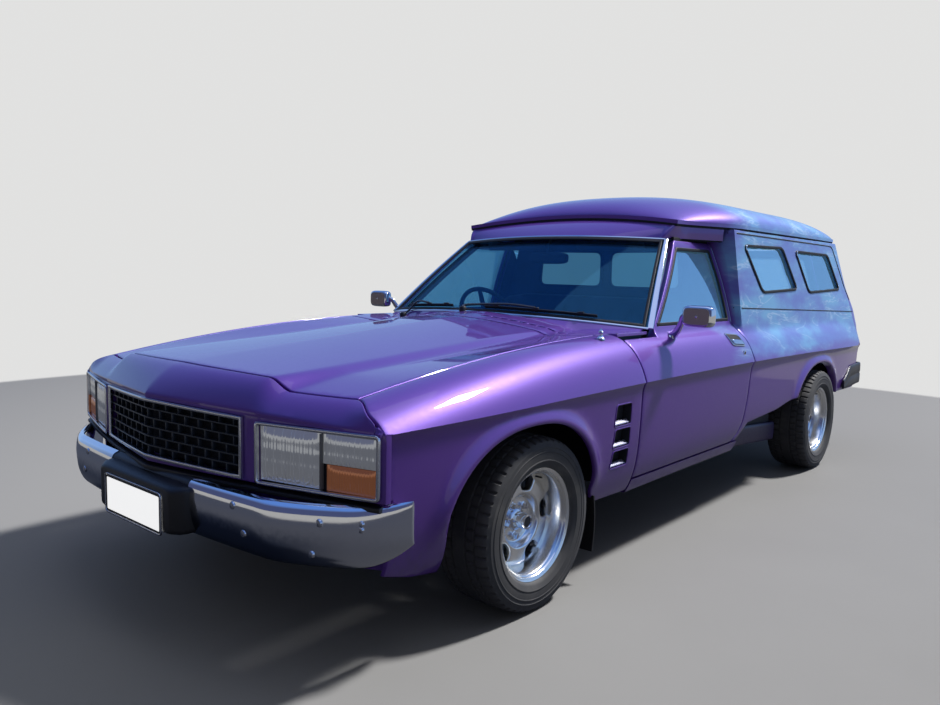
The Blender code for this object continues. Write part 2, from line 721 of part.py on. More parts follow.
def build_nose(parent, paint):
    gap = SHUT_GAP / 2
    widths = [0.0, 0.20, 0.43, 0.52, 0.64, 0.745, 0.80, 0.85, 0.888]
    half = [(x, float(nose_front(x))) for x in widths[1:]]
    half += [(0.892, GUARD_FRONT - gap), (0.80, GUARD_FRONT - gap), (BONNET_EDGE, GUARD_FRONT - gap)]
    half += [(x, float(bonnet_front(x)) - gap + 0.004) for x in (0.735, 0.64, 0.52, 0.43, 0.20)]
    half = [(x, min(y, GUARD_FRONT - gap) if x > 0.70 else y) for x, y in half]
    front = [(-x, y) for x, y in half[:9][::-1]] + [(0.0, float(nose_front(0.0)))] + half[:9]
    back = half[9:] + [(0.0, float(bonnet_front(0.0)) - gap + 0.004)] + [(-x, y) for x, y in half[9:][::-1]]
    loop = [(y, x) for x, y in front + back]

    def skin(y, x):
        return np.stack([x, y, nose_z(x, y)], -1)

    across = [-0.745, -0.64, -0.52, -0.43, -0.20, 0.0, 0.20, 0.43, 0.52, 0.64, 0.745]
    return panel("nose_panel", loop, skin, along((0, 0.003, -0.014)), paint, 0.30, rows=across,
                 columns=[-0.90, -0.87, -0.84, -0.81, -0.78, -0.755], parent=parent)


def build_cowl(parent, paint):
    """The panel between the bonnet's rear edge and the windscreen's foot."""
    side_y = DOOR_FRONT + 0.004
    half = [(0.0, BONNET_REAR + 0.004), (0.43, BONNET_REAR + 0.004), (BONNET_EDGE - 0.002, BONNET_REAR + 0.004),
            (BONNET_EDGE - 0.002, side_y), (0.795, side_y), (0.795, SCREEN_FOOT - 0.030)]
    feet = [(float(p[0]), float(p[1]) - 0.016) for p in screen_point(np.array([0.93, 0.75, 0.5, 0.25, 0.0]), 0.0)]
    half += feet
    loop = half[:-1] + [feet[-1]] + [(-x, y) for x, y in half[1:-1][::-1]]
    across = [-0.60, -0.43, -0.20, 0.0, 0.20, 0.43, 0.60]

    def skin(y, x):
        return np.stack([x, y, bonnet_z(x, y)], -1)

    return panel("cowl", [(y, x) for x, y in loop], skin, along((0, 0, -0.012)), paint, 0.20, rows=across,
                 columns=[0.70], parent=parent)


def bumper_path(x):
    """Station of the front bumper's face: a shallow bow that wraps back at its tips."""
    x = np.abs(x)
    return -0.950 + 0.10 * x ** 2 + 0.80 * np.clip(x - 0.58, 0.0, None) ** 1.5


def build_front(parent, mats):
    paint, chrome, black, lamp = mats["paint"], mats["chrome"], mats["black"], mats["lamp"]
    loop = [(-0.425, 0.548), (0.0, 0.542), (0.425, 0.548), (0.425, 0.722), (0.0, 0.726), (-0.425, 0.722)]
    panel("grille", loop, lambda x, z: np.stack([x, nose_front(x) + 0.004, z], -1), along((0, 0.035, 0)), black, 0.3,
          columns=[-0.2, 0.0, 0.2], rows=[0.64], parent=parent)
    for side in (1, -1):
        name = "left" if side > 0 else "right"
        loop = [(0.474, 0.542), (0.882, 0.548), (0.882, 0.706), (0.474, 0.722)]

        def depth(x, z):
            return np.stack([0 * x, 0.070 - 0.052 * smooth((x - 0.80) / 0.05), 0 * x], -1)

        panel("headlamp_" + name, loop, lambda x, z: np.stack([side * x, nose_front(x) + 0.006 + 0 * z, z], -1),
              depth, lamp, 0.2, columns=[0.66, 0.80, 0.85], rows=[0.60, 0.66], parent=parent)
    low = [(-0.835, 0.300), (-0.40, 0.290), (0.40, 0.290), (0.835, 0.300), (0.835, 0.533), (0.45, 0.530),
           (0.0, 0.527), (-0.45, 0.530), (-0.835, 0.533)]

    def valance(x, z):
        sweep_back = 0.14 * np.clip(np.abs(x) - 0.62, 0.0, None) ** 1.2
        return np.stack([x, nose_front(x) + 0.070 + sweep_back + 0.10 * (0.52 - z), z], -1)

    panel("front_valance", low, valance, along((0, 0.022, 0)), paint, 0.25, rows=[0.40, 0.46],
          columns=[-0.7, -0.5, -0.2, 0.0, 0.2, 0.5, 0.7], parent=parent)
    section = [(0.002, 0.518), (-0.014, 0.500), (-0.018, 0.450), (-0.010, 0.385), (0.012, 0.340), (0.036, 0.342),
               (0.028, 0.395), (0.022, 0.445), (0.024, 0.503)]
    rings = []
    for x in np.concatenate([-np.array([0.935, 0.915, 0.87, 0.80, 0.70, 0.55, 0.30]), [0.0],
                             np.array([0.30, 0.55, 0.70, 0.80, 0.87, 0.915, 0.935])]):
        tip = np.clip((abs(x) - 0.80) / 0.135, 0.0, 1.0) ** 2
        y0 = float(bumper_path(x))
        rings.append([(x, y0 + 0.024 + dy, z + (0.465 - z) * tip * (0.25 if z > 0.465 else 0.50))
                      for dy, z in section])
    sweep("front_bumper", rings, chrome, parent)
    block("bumper_pad", (-0.270, -FRONT_OVERHANG, 0.345), (0.270, -0.952, 0.500), black, parent, 0.006, 1)


# Cab glass, header and roof

def build_screen(parent, glass):
    u = np.linspace(-0.985, 0.985, 13)
    v = np.linspace(0.015, 0.985, 6)
    uu, vv = np.meshgrid(u, v, indexing="ij")
    outer = screen_point(uu, vv)
    way = np.array([0.0, 0.68, -0.73]) * 0.010
    shell("windscreen", outer + way, outer + way * 1.7, glass, parent)


def ledge_point(u):
    """The line where the roof cap's front edge sits on the header."""
    return np.array([0.655 * u, 1.415 + 0.065 * (1 - u * u), GUTTER_HEIGHT + 0.046 * (1 - u * u)])


def build_header(parent, paint):
    """The band above the windscreen and doors, with the windscreen pillars."""
    outer, inner = [], []
    stations = [1.776, 1.62, 1.48]
    sides = []
    for y in stations:
        foot = np.array([DOOR_FRAME_HEAD_X - 0.002, y, DOOR_FRAME_TOP + 0.008])
        head = np.array([float(roof_plan(y)) - 0.006, y, GUTTER_HEIGHT - 0.009])
        sides.append((foot, head, np.array([-0.035, 0.0, 0.0])))
    fronts = []
    for u in (0.985, 0.90, 0.75, 0.5, 0.25, 0.0):
        foot = screen_point(np.array(u), 1.0) + np.array([0.0, 0.004, 0.008])
        head = ledge_point(u) - np.array([0.0, 0.0, 0.009])
        fronts.append((foot, head, np.array([-0.030 * (u > 0.95), 0.032, -0.008])))
    columns = sides + fronts
    flip = np.array([-1.0, 1.0, 1.0])
    columns += [(f * flip, h * flip, w * flip) for f, h, w in columns[:-1][::-1]]
    for foot, head, way in columns:
        middle = (foot + head) / 2 + (head - foot)[2] * np.array([0.0, -0.08, 0.05])
        outer.append([foot, middle, head])
        inner.append([foot + way, middle + way, head + way])
    header = shell("cab_header", outer, inner, paint, parent)
    pillars = []
    for side in (1, -1):
        rings = []
        for v, near, far in ((0.07, 0.018, 0.044), (0.3, 0.018, 0.044), (0.6, 0.018, 0.044), (0.9, 0.018, 0.044),
                             (1.10, 0.004, 0.030)):
            x, y, z = screen_point(np.array(0.985), v)
            edge = min(x - 0.004, float(cab_x(z - far)) - 0.5 * DOOR_WALL - 0.009) - (0.010 if v < 0.1 else 0.0)
            ring = [(edge, y + near, z - near), (edge, y + far, z - far),
                    (edge - 0.028, y + far, z - far), (edge - 0.028, y + near, z - near)]
            rings.append([(side * a, b, c) for a, b, c in ring])
        pillars.append(sweep(f"screen_pillar_{side}", rings, paint, parent))
    combine(header, pillars)


def roof_rise(y):
    """Height of the roof's crown above the gutter: a quick rise from the ledge, a slow fall and a blunt end."""
    front, back, summit = 1.415, 3.620, 2.500
    rise = (1 - np.clip((summit - y) / (summit - front), 0.0, 1.0) ** 2.6) ** (1 / 1.7)
    fall = (1 - np.clip((y - summit) / (back - summit), 0.0, 1.0) ** 5.0) ** (1 / 2.2)
    slope = 1.0 - 0.10 * np.clip((y - summit) / (back - summit), 0.0, 1.0)
    return (ROOF_HEIGHT - GUTTER_HEIGHT) * rise * fall * slope


def roof_point(u, t):
    """The roof cap: u from -1 to 1 across, t from 0 at the front ledge to 1 at the rear edge."""
    bow = 0.065 * (1 - u * u)
    front, back = 1.415 + bow, 3.600 + 0.6 * bow
    y = front + (back - front) * t
    section = (1 - np.abs(u) ** 2.5) ** (1 / 2.2)
    ledge = 0.046 * (1 - u * u) * (1 - smooth(t / 0.5)) + 0.02 * (1 - u * u) * smooth((t - 0.5) / 0.5)
    lip = GUTTER_HEIGHT + 0.006
    z = lip + ledge + (roof_rise(1.415 + (3.620 - 1.415) * t)) * section * 0.93
    width = roof_plan(1.415 + (3.600 - 1.415) * t)
    return np.stack([width * u, y, z], -1), lip + ledge


def build_roof(parent, paint):
    u = np.sin(np.linspace(-pi / 2, pi / 2, 15))
    t = np.array([0, 0.015, 0.045, 0.10, 0.20, 0.34, 0.52, 0.70, 0.84, 0.93, 0.98, 1.0])
    uu, tt = np.meshgrid(u, t, indexing="ij")
    outer, lip = roof_point(uu, tt)
    inner = outer.copy()
    inner[..., 0] *= 1 - ROOF_WALL / ROOF_HALF_WIDTH
    inner[..., 1] = 2.5 + (outer[..., 1] - 2.5) * (1 - ROOF_WALL / 1.1)
    rise = outer[..., 2] - lip
    inner[..., 2] = lip - 0.006 + np.maximum(0.0, rise - ROOF_WALL + 0.006)
    shell("roof_cap", outer, inner, paint, parent)


# Tail

GATE_HALF = 0.640
GATE_SPLIT = 0.965
GATE_FOOT = 0.640
GATE_HEAD = 1.375


def tail_skin(offset=0.0):
    def skin(x, z):
        return np.stack([x, tail_y(x, z) + offset, z], -1)
    return skin


def tail_half(z):
    """Half width of the tail opening between the two quarter panels."""
    y = tail_y(TAIL_EDGE_X, z)
    return float(side_x(np.array(y), np.array(z))) - SIDE_WALL - 0.004


def rear_bumper_rings():
    """Sections of the rear bumper, whose ends turn the corners and run forward along the sides."""
    path = []
    for back, full in ((0.490, 0.0), (0.260, 1.0), (0.090, 1.0)):
        skin = float(side_x(np.array(TAIL - back), np.array(0.51)))
        path.append((skin + BUMPER_GAP + SIDE_WRAP, TAIL - back, 0.0, full))
    path += [(path[-1][0] - 0.006, TAIL, 0.25, 1.0), (path[-1][0] - 0.032, TAIL + 0.035, 0.75, 1.0)]
    path += [(0.600, REAR_END - 0.014, 1.0, 1.0), (0.0, REAR_END, 1.0, 1.0)]
    rings = []
    for side in (1, -1):
        for x, y, turn, full in (path if side > 0 else path[-2::-1]):
            inx, iny = -SIDE_WRAP * (1 - turn), -0.030 * turn
            top, foot = 0.500 + (BUMPER_TOP - 0.500) * full, 0.440
            ring = [(x + 0.4 * inx, y + 0.4 * iny, top), (x, y, top - 0.020), (x, y, foot + 0.018),
                    (x + 0.4 * inx, y + 0.4 * iny, foot), (x + inx, y + iny, foot), (x + inx, y + iny, top)]
            rings.append([(side * a, b, c) for a, b, c in ring])
    return rings


def build_tail(root, lift, drop, mats):
    paint, glass, lens = mats["paint"], mats["glass"], mats["lens"]
    heights = [0.430, 0.560, 0.700, 0.760, 0.813, 0.850, 0.880, 0.905, 0.925, 0.951, 1.085, 1.250, 1.400]
    outer = [(tail_half(z), z) for z in heights]
    loop = outer + [(-x, z) for x, z in outer[::-1]]
    hole = [(GATE_HALF, GATE_FOOT), (GATE_HALF, GATE_SPLIT), (GATE_HALF - 0.045, GATE_HEAD),
            (-GATE_HALF + 0.045, GATE_HEAD), (-GATE_HALF, GATE_SPLIT), (-GATE_HALF, GATE_FOOT)]
    rows = [0.560, 0.700, 0.813, 0.951, 1.085, 1.250]
    columns = [-0.70, -0.35, 0.0, 0.35, 0.70]
    panel("rear_frame", loop, tail_skin(), along((0, -0.035, 0)), paint, 0.25, holes=[hole], rows=rows,
          columns=columns, parent=root)
    g = SHUT_GAP
    low = [(-GATE_HALF + g, GATE_FOOT + g), (GATE_HALF - g, GATE_FOOT + g), (GATE_HALF - g, GATE_SPLIT - 0.004),
           (-GATE_HALF + g, GATE_SPLIT - 0.004)]
    panel("tailgate", low, tail_skin(), along((0, -0.045, 0)), paint, 0.25, rows=rows, columns=columns, draft=0.006,
          parent=drop)
    slope = 0.045 / (GATE_HEAD - GATE_SPLIT)
    low_z, high_z = GATE_SPLIT + 0.004, GATE_HEAD - g
    high = [(-GATE_HALF + g, low_z), (GATE_HALF - g, low_z), (GATE_HALF - g - slope * (high_z - low_z), high_z),
            (-GATE_HALF + g + slope * (high_z - low_z), high_z)]
    frame = 0.070
    pane = [(-GATE_HALF + frame, low_z + 0.05), (GATE_HALF - frame, low_z + 0.05),
            (GATE_HALF - frame - slope * 0.30, high_z - 0.055), (-GATE_HALF + frame + slope * 0.30, high_z - 0.055)]
    opening = rounded(pane, 0.04)
    panel("liftgate", high, tail_skin(), along((0, -0.030, 0)), paint, 0.25, holes=[opening], rows=rows,
          columns=columns, draft=0.006, parent=lift)
    panel("liftgate_glass", shrink(opening, 0.0008), tail_skin(-0.008), along((0, -GLASS, 0)), glass, 0.25,
          rows=rows, columns=[-0.35, 0.0, 0.35], parent=lift)
    for side in (1, -1):
        name = "left" if side > 0 else "right"
        loop = [(0.665, 0.640), (0.785, 0.640), (0.785, 0.800), (0.665, 0.800)]
        panel("tail_lamp_" + name, loop,
              lambda x, z: np.stack([side * x, tail_y(x, z) + 0.016, z], -1), along((0, -0.0155, 0)), lens, 0.2,
              rows=[0.700], columns=[0.70], parent=root)
    sweep("rear_bumper", rear_bumper_rings(), mats["black"], root)


# Cab

def build_cab(root, column, mats):
    trim, black = mats["trim"], mats["black"]
    profile = [(0.800, 0.860), (0.940, 0.880), (1.010, 0.932), (1.080, 0.940), (1.120, 0.910), (1.110, 0.800),
               (1.060, 0.700), (0.780, 0.620), (0.640, 0.640), (0.640, 0.820)]
    rings = [[(x, y, z) for y, z in profile] for x in (-0.735, 0.735)]
    sweep("dashboard", rings, trim, root)
    rings = []
    cushion = [(1.150, 0.370), (1.110, 0.520), (1.140, 0.560), (1.500, 0.530), (1.560, 0.560), (1.690, 1.060),
               (1.740, 1.085), (1.775, 1.060), (1.660, 0.560), (1.640, 0.380)]
    for x, y_pull in ((-0.700, 0.02), (-0.66, 0.0), (0.66, 0.0), (0.700, 0.02)):
        rings.append([(x, y + (y_pull if y < 1.45 else -y_pull), z - y_pull) for y, z in cushion])
    seat = sweep("seat", rings, trim, root)
    combine(seat, [block("seat_arch", (-0.195, 1.000, 0.250), (0.195, 1.700, 0.515), trim, root)], "DIFFERENCE")
    ring = bpy.data.meshes.new("wheel_ring")
    bm = bmesh.new()
    major, minor = 0.190, 0.013
    verts = []
    for a in np.linspace(0, 2 * pi, 24, endpoint=False):
        row = []
        for b in np.linspace(0, 2 * pi, 6, endpoint=False):
            r = major + minor * cos(b)
            row.append(bm.verts.new(COLUMN_TURN @ Vector((r * cos(a), r * sin(a), minor * sin(b)))))
        verts.append(row)
    for i in range(24):
        for k in range(6):
            bm.faces.new((verts[i][k], verts[(i + 1) % 24][k], verts[(i + 1) % 24][(k + 1) % 6],
                          verts[i][(k + 1) % 6]))
    bmesh.ops.recalc_face_normals(bm, faces=bm.faces)
    bm.to_mesh(ring)
    bm.free()
    ring.materials.append(black)
    wheel = bpy.data.objects.new("steering_wheel", ring)
    bpy.context.scene.collection.objects.link(wheel)
    wheel.parent = column
    hub = cylinder("column_hub", (0, 0, -0.085), (0, 0, 0.004), 0.026, 12, black)
    spokes = [block("spoke_across", (-0.184, -0.016, -0.006), (0.184, 0.016, 0.006), black)]
    spokes.append(block("spoke_down", (-0.015, -0.184, -0.005), (0.015, 0.0, 0.005), black))
    for item in [hub] + spokes:
        item.data.transform(COLUMN_TURN)
        item.parent = column
    combine(wheel, [hub] + spokes)


COLUMN_TILT = -62.0
COLUMN_TURN = Matrix.Rotation(radians(COLUMN_TILT), 4, "X")
WHEEL_CENTRE = (-0.350, 1.220, 0.905)


def cylinder(name, start, end, radius, sides, material, parent=None):
    return sweep(name, tube_rings([start, end], radius, sides), material, parent)


# Running gear

def build_wheel(name, side, axle_y, offset, parent, tyre, alloy):
    """A tyre and a deep five-slot wheel: the disc has five slots cut through, set well inside the rim."""
    half = TYRE_WIDTH / 2
    mid = WHEEL_FACE + offset - RIM_WIDTH / 2 - 0.002
    r0, r1 = RIM_RADIUS, TYRE_RADIUS
    seat = r0
    profile = [(seat, -half + 0.016), (r0 + 0.012, -half + 0.004), (r0 + 0.045, -half), (r1 - 0.016, -half + 0.007),
               (r1, -half + 0.028), (r1, half - 0.028), (r1 - 0.016, half - 0.007), (r0 + 0.045, half),
               (r0 + 0.012, half - 0.004), (seat, half - 0.016)]
    centre = (side * mid, axle_y, TYRE_RADIUS)
    revolve("tyre_" + name, [(r, side * x) for r, x in profile], centre, WHEEL_SEGMENTS, tyre, parent)
    w = RIM_WIDTH / 2
    lip = seat - TOUCH
    profile = [(lip, -w + 0.004), (lip, w - 0.010), (r0 - 0.004, w), (r0 - 0.018, w - 0.006),
               (r0 - 0.026, 0.020), (r0 - 0.042, 0.002), (0.120, 0.008), (0.076, 0.010),
               (0.045, 0.004), (0.032, 0.020), (0.008, 0.020), (0.008, -0.012),
               (0.120, -0.010), (0.150, -0.018), (r0 - 0.018, -0.026), (r0 - 0.014, -w + 0.004)]
    rim = revolve("rim_" + name, [(r, side * x) for r, x in profile], centre, WHEEL_SEGMENTS, alloy, parent)
    cutters = []
    for k in range(5):
        angle = 2 * pi * k / 5 + 0.3
        points = []
        for r, spread in ((0.080, 0.16), (0.096, 0.32), (0.136, 0.30), (0.147, 0.16)):
            points.append((r, -spread))
        for r, spread in ((0.147, 0.16), (0.136, 0.30), (0.096, 0.32), (0.080, 0.16)):
            points.append((r, spread))
        rings = []
        for x in (-0.06, 0.05):
            rings.append([(centre[0] + side * x, centre[1] + r * cos(angle + a * 0.9),
                           centre[2] + r * sin(angle + a * 0.9)) for r, a in points])
        cutters.append(sweep(f"slot_{name}_{k}", rings, alloy, parent))
    combine(rim, cutters, "DIFFERENCE")


def build_knuckle(side, parent, iron):
    """The upright inside the front wheel with the brake disc and hub on its outer end."""
    name = "left" if side > 0 else "right"
    z = TYRE_RADIUS
    profile = [(0.120, 0.724), (0.120, 0.736), (0.060, 0.741), (0.058, 0.772), (0.012, 0.772), (0.012, 0.690),
               (0.040, 0.690), (0.044, 0.724)]
    hub = revolve("knuckle_" + name, [(r, side * x) for r, x in profile], (0, 0, z), 14, iron, parent)
    low, high = sorted((side * 0.672, side * 0.704))
    upright = block("upright_" + name, (low, -0.028, z - 0.120), (high, 0.028, z + 0.120), iron, parent)
    combine(hub, [upright])


def build_chassis(root, mats):
    iron, steel, dark = mats["iron"], mats["steel"], mats["dark"]
    frame = block("subframe", (-0.400, -0.080, 0.205), (0.400, 0.080, 0.270), iron, root)
    parts = []
    for side in (-1, 1):
        low, high = sorted((side * 0.340, side * 0.400))
        parts.append(block(f"rail_{side}", (low, -0.640, 0.300), (high, 0.560, 0.380), iron, root))
        parts.append(block(f"tower_{side}", (low + 0.004, -0.070, 0.240), (high - 0.004, 0.070, 0.460), iron, root))
        for level, height in (("lower", 0.222), ("upper", 0.420)):
            rings = []
            for x, half in ((0.370, 0.130 if level == "lower" else 0.064), (0.520, 0.060), (0.660, 0.024)):
                rings.append([(side * x, -half, height), (side * x, half, height),
                              (side * x, half, height + 0.020), (side * x, -half, height + 0.020)])
            parts.append(sweep(f"{level}_arm_{side}", rings, iron, root))
    parts.append(block("front_member", (-0.398, -0.620, 0.310), (0.398, -0.560, 0.370), iron, root))
    combine(frame, parts)
    engine = block("engine", (-0.250, -0.420, 0.290), (0.250, 0.360, 0.780), dark, root)
    gearbox = []
    for y, half, low, high in ((0.340, 0.150, 0.250, 0.480), (0.600, 0.130, 0.260, 0.460), (0.760, 0.080, 0.280, 0.420),
                               (1.150, 0.060, 0.290, 0.400)):
        gearbox.append([(-half, y, low), (half, y, low), (half, y, high), (-half, y, high)])
    combine(engine, [sweep("gearbox", gearbox, dark, root)])
    z = TYRE_RADIUS
    half = [(0.040, 0.140), (0.040, 0.640), (0.125, 0.642), (0.125, 0.750), (0.060, 0.755), (0.058, 0.800)]
    ball = [(0.135, 0.0), (0.120, 0.070), (0.080, 0.120)]
    right = ball[1:] + half
    ring = [(0.010, -0.800)] + [(r, -x) for r, x in right[::-1]] + [ball[0]] + right + [(0.010, 0.800)]
    axle = revolve("rear_axle", ring, (0, REAR_AXLE, z), 16, iron, root)
    shaft = sweep("propshaft", tube_rings([(0, 1.200, 0.345), (0, REAR_AXLE - 0.100, z)], 0.034, 10), iron, root)
    springs = [shaft]
    for side in (-1, 1):
        rings = []
        for y, low in ((2.240, 0.385), (2.450, 0.300), (2.700, 0.258), (REAR_AXLE, 0.240), (3.100, 0.262),
                       (3.350, 0.320), (3.520, 0.395)):
            thick = 0.014 + 0.022 * max(0.0, 1 - abs(y - REAR_AXLE) / 0.5)
            rings.append([(side * 0.470, y, low), (side * 0.530, y, low), (side * 0.530, y, low + thick),
                          (side * 0.470, y, low + thick)])
        springs.append(sweep(f"leaf_spring_{side}", rings, iron, root))
    combine(axle, springs)
    block("fuel_tank", (-0.380, 3.290, 0.330), (0.420, 3.740, 0.520), dark, root, bevel=0.03, segments=2)
    path = [(-0.300, 0.100, 0.330), (-0.320, 0.420, 0.235), (-0.330, 1.050, 0.215), (-0.330, 1.090, 0.215),
            (-0.330, 1.560, 0.215), (-0.330, 1.600, 0.215), (-0.330, 2.300, 0.200), (-0.330, 3.200, 0.205),
            (-0.470, 3.500, 0.270), (-0.480, 3.880, 0.290)]
    radii = [0.024, 0.024, 0.024, 0.062, 0.062, 0.024, 0.022, 0.022, 0.022, 0.022]
    sweep("exhaust", tube_rings(path, radii, 10), steel, root)


def build_mirror(side, parent, chrome):
    """A door mirror: a rounded head on a short swept arm, one piece with its foot."""
    name = "left" if side > 0 else "right"
    rings = []
    for x, scale in ((0.905, 0.55), (0.925, 0.92), (0.985, 1.0), (1.045, 0.92), (1.062, 0.60)):
        half_z, half_y = 0.058 * scale, 0.038 * scale
        angles = np.linspace(0, 2 * pi, 12, endpoint=False)
        rings.append([(side * x, 0.985 + half_y * cos(a), 1.000 + half_z * sin(a)) for a in angles])
    head = sweep("mirror_" + name, rings, chrome, parent)
    path = [(side * 0.868, 1.065, 0.904), (side * 0.885, 1.055, 0.925), (side * 0.925, 1.020, 0.950),
            (side * 0.965, 0.995, 0.975)]
    arm = sweep("mirror_arm_" + name, tube_rings(path, [0.020, 0.012, 0.010, 0.010], 8), chrome, parent)
    combine(head, [arm])


def build_van():
    clear_scene()
    mats = {
        "paint": finish_material("purple_paint", (0.105, 0.022, 0.26), 0.28, 0.55),
        "glass": finish_material("tinted_glass", (0.03, 0.05, 0.055), 0.06, 0.0, 0.45),
        "chrome": finish_material("chrome", (0.72, 0.73, 0.75), 0.10, 1.0),
        "black": finish_material("black_plastic", (0.015, 0.016, 0.019), 0.45),
        "lamp": finish_material("lamp_lens", (0.72, 0.74, 0.76), 0.12, 0.0),
        "lens": finish_material("tail_lens", (0.35, 0.012, 0.012), 0.18),
        "trim": finish_material("cab_trim", (0.020, 0.020, 0.024), 0.70),
        "tyre": finish_material("tyre_rubber", (0.018, 0.018, 0.019), 0.82),
        "alloy": finish_material("polished_alloy", (0.68, 0.69, 0.71), 0.20, 1.0),
        "iron": finish_material("chassis_black", (0.030, 0.029, 0.028), 0.65, 0.2),
        "dark": finish_material("engine_grey", (0.080, 0.082, 0.086), 0.60, 0.3),
        "steel": finish_material("exhaust_steel", (0.20, 0.19, 0.18), 0.45, 0.9),
    }
    root = joint_empty("van", ROOT)
    hinges = {}
    for side, name in ((1, "left"), (-1, "right")):
        hinges["door_" + name] = joint_empty("door_hinge_" + name, (side * DOOR_HINGE[0], DOOR_HINGE[1], 0.60), root)
        hinges["knuckle_" + name] = joint_empty("kingpin_" + name, (side * KINGPIN_X, 0.0, TYRE_RADIUS), root)
        hinges["front_" + name] = joint_empty("front_hub_" + name, (side * KINGPIN_X, 0.0, TYRE_RADIUS),
                                              hinges["knuckle_" + name])
        hinges["rear_" + name] = joint_empty("rear_hub_" + name, (side * KINGPIN_X, REAR_AXLE, TYRE_RADIUS), root)
    bonnet = joint_empty("bonnet_hinge", (0, BONNET_HINGE[0], BONNET_HINGE[1]), root)
    lift = joint_empty("liftgate_hinge", (0, LIFT_HINGE[0], LIFT_HINGE[1]), root)
    drop = joint_empty("tailgate_hinge", (0, DROP_HINGE[0], DROP_HINGE[1]), root)
    column = joint_empty("steering_column", WHEEL_CENTRE, root)

    build_floor(root, mats["paint"])
    for side, name in ((1, "left"), (-1, "right")):
        build_guard(side, root, mats["paint"])
        build_quarter(side, root, mats["paint"], mats["glass"])
        build_door(side, hinges["door_" + name], mats["paint"], mats["glass"])
        build_mirror(side, hinges["door_" + name], mats["chrome"])
        build_knuckle(side, hinges["knuckle_" + name], mats["iron"])
        build_wheel("front_" + name, side, 0.0, 0.0, hinges["front_" + name], mats["tyre"], mats["alloy"])
        build_wheel("rear_" + name, side, REAR_AXLE, REAR_WHEEL_OFFSET, hinges["rear_" + name], mats["tyre"], mats["alloy"])
    build_bonnet(bonnet, mats["paint"])
    build_nose(root, mats["paint"])
    build_cowl(root, mats["paint"])
    build_front(root, mats)
    build_screen(root, mats["glass"])
    build_header(root, mats["paint"])
    build_roof(root, mats["paint"])
    build_tail(root, lift, drop, mats)
    build_cab(root, column, mats)
    build_chassis(root, mats)


# Hinge lines, as stations and heights
DOOR_HINGE = (0.925, DOOR_FRONT + 0.050)
BONNET_HINGE = (BONNET_REAR + 0.030, 0.968)
LIFT_HINGE = (TAIL - 0.277, 1.372)
DROP_HINGE = (TAIL + 0.034, 0.6435)

build_van()
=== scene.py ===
# %% [markdown]
# A late 1970s panel van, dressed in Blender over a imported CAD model.
# The CAD nodes are plain solids that already have the right size and place. This script keeps them as a
# skeleton, replaces the painted panels by smoother ones, and adds the trim, glass, lamps and wheels.

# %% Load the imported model
import json
from math import cos, pi, radians, sin

import bmesh
import bpy
import numpy as np
from mathutils import Matrix, Vector
from mathutils.geometry import delaunay_2d_cdt

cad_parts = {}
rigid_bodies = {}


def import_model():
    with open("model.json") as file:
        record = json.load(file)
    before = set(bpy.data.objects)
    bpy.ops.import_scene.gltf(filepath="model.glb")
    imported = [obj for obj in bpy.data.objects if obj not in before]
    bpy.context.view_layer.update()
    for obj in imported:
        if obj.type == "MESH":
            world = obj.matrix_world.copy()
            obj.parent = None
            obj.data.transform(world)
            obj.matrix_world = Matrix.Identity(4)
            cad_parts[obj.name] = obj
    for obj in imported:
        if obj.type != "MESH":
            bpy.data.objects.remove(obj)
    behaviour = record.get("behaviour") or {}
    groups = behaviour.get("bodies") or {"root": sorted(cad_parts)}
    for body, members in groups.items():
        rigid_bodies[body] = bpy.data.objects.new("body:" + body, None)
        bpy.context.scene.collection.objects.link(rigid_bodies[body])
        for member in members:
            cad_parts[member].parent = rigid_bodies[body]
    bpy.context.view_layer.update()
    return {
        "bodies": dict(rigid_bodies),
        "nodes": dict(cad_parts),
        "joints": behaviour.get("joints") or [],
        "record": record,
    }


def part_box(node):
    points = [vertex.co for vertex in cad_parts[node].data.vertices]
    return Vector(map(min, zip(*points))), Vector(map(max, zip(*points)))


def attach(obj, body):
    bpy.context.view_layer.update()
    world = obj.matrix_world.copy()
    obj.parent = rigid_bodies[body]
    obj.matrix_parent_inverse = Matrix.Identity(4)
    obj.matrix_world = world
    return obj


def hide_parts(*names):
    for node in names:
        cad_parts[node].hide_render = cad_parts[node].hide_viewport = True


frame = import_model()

# %% [markdown]
# Body drawings measure stations along the van from the front axle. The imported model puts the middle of
# the van over the origin, so one number, the front axle's place there, turns stations into scene metres.

# %% Stations
wheel_low, wheel_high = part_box("rim_front_left")
AXLE_Y = (wheel_low.y + wheel_high.y) / 2
WHEELBASE = (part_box("rim_rear_left")[0].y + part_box("rim_rear_left")[1].y) / 2 - AXLE_Y
REAR_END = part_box("rear_bumper")[1].y - AXLE_Y
TAIL = REAR_END - 0.067
SIDES = ((1, "left"), (-1, "right"))
print("front axle at", round(AXLE_Y, 4), "wheelbase", round(WHEELBASE, 4), "rear end", round(REAR_END, 4))

# %% [markdown]
# Every new piece goes through one function. It moves the points from stations to scene metres, fills a
# mesh, welds its seams, turns the faces outwards, and says which body carries the piece, which finish it
# takes and which CAD nodes it stands for.

# %% Mesh helpers
STOOD_FOR = set()
MADE = []


def tell(title):
    """Prints the names of the pieces made since the last call."""
    print(title + ":", ", ".join(MADE))
    MADE.clear()


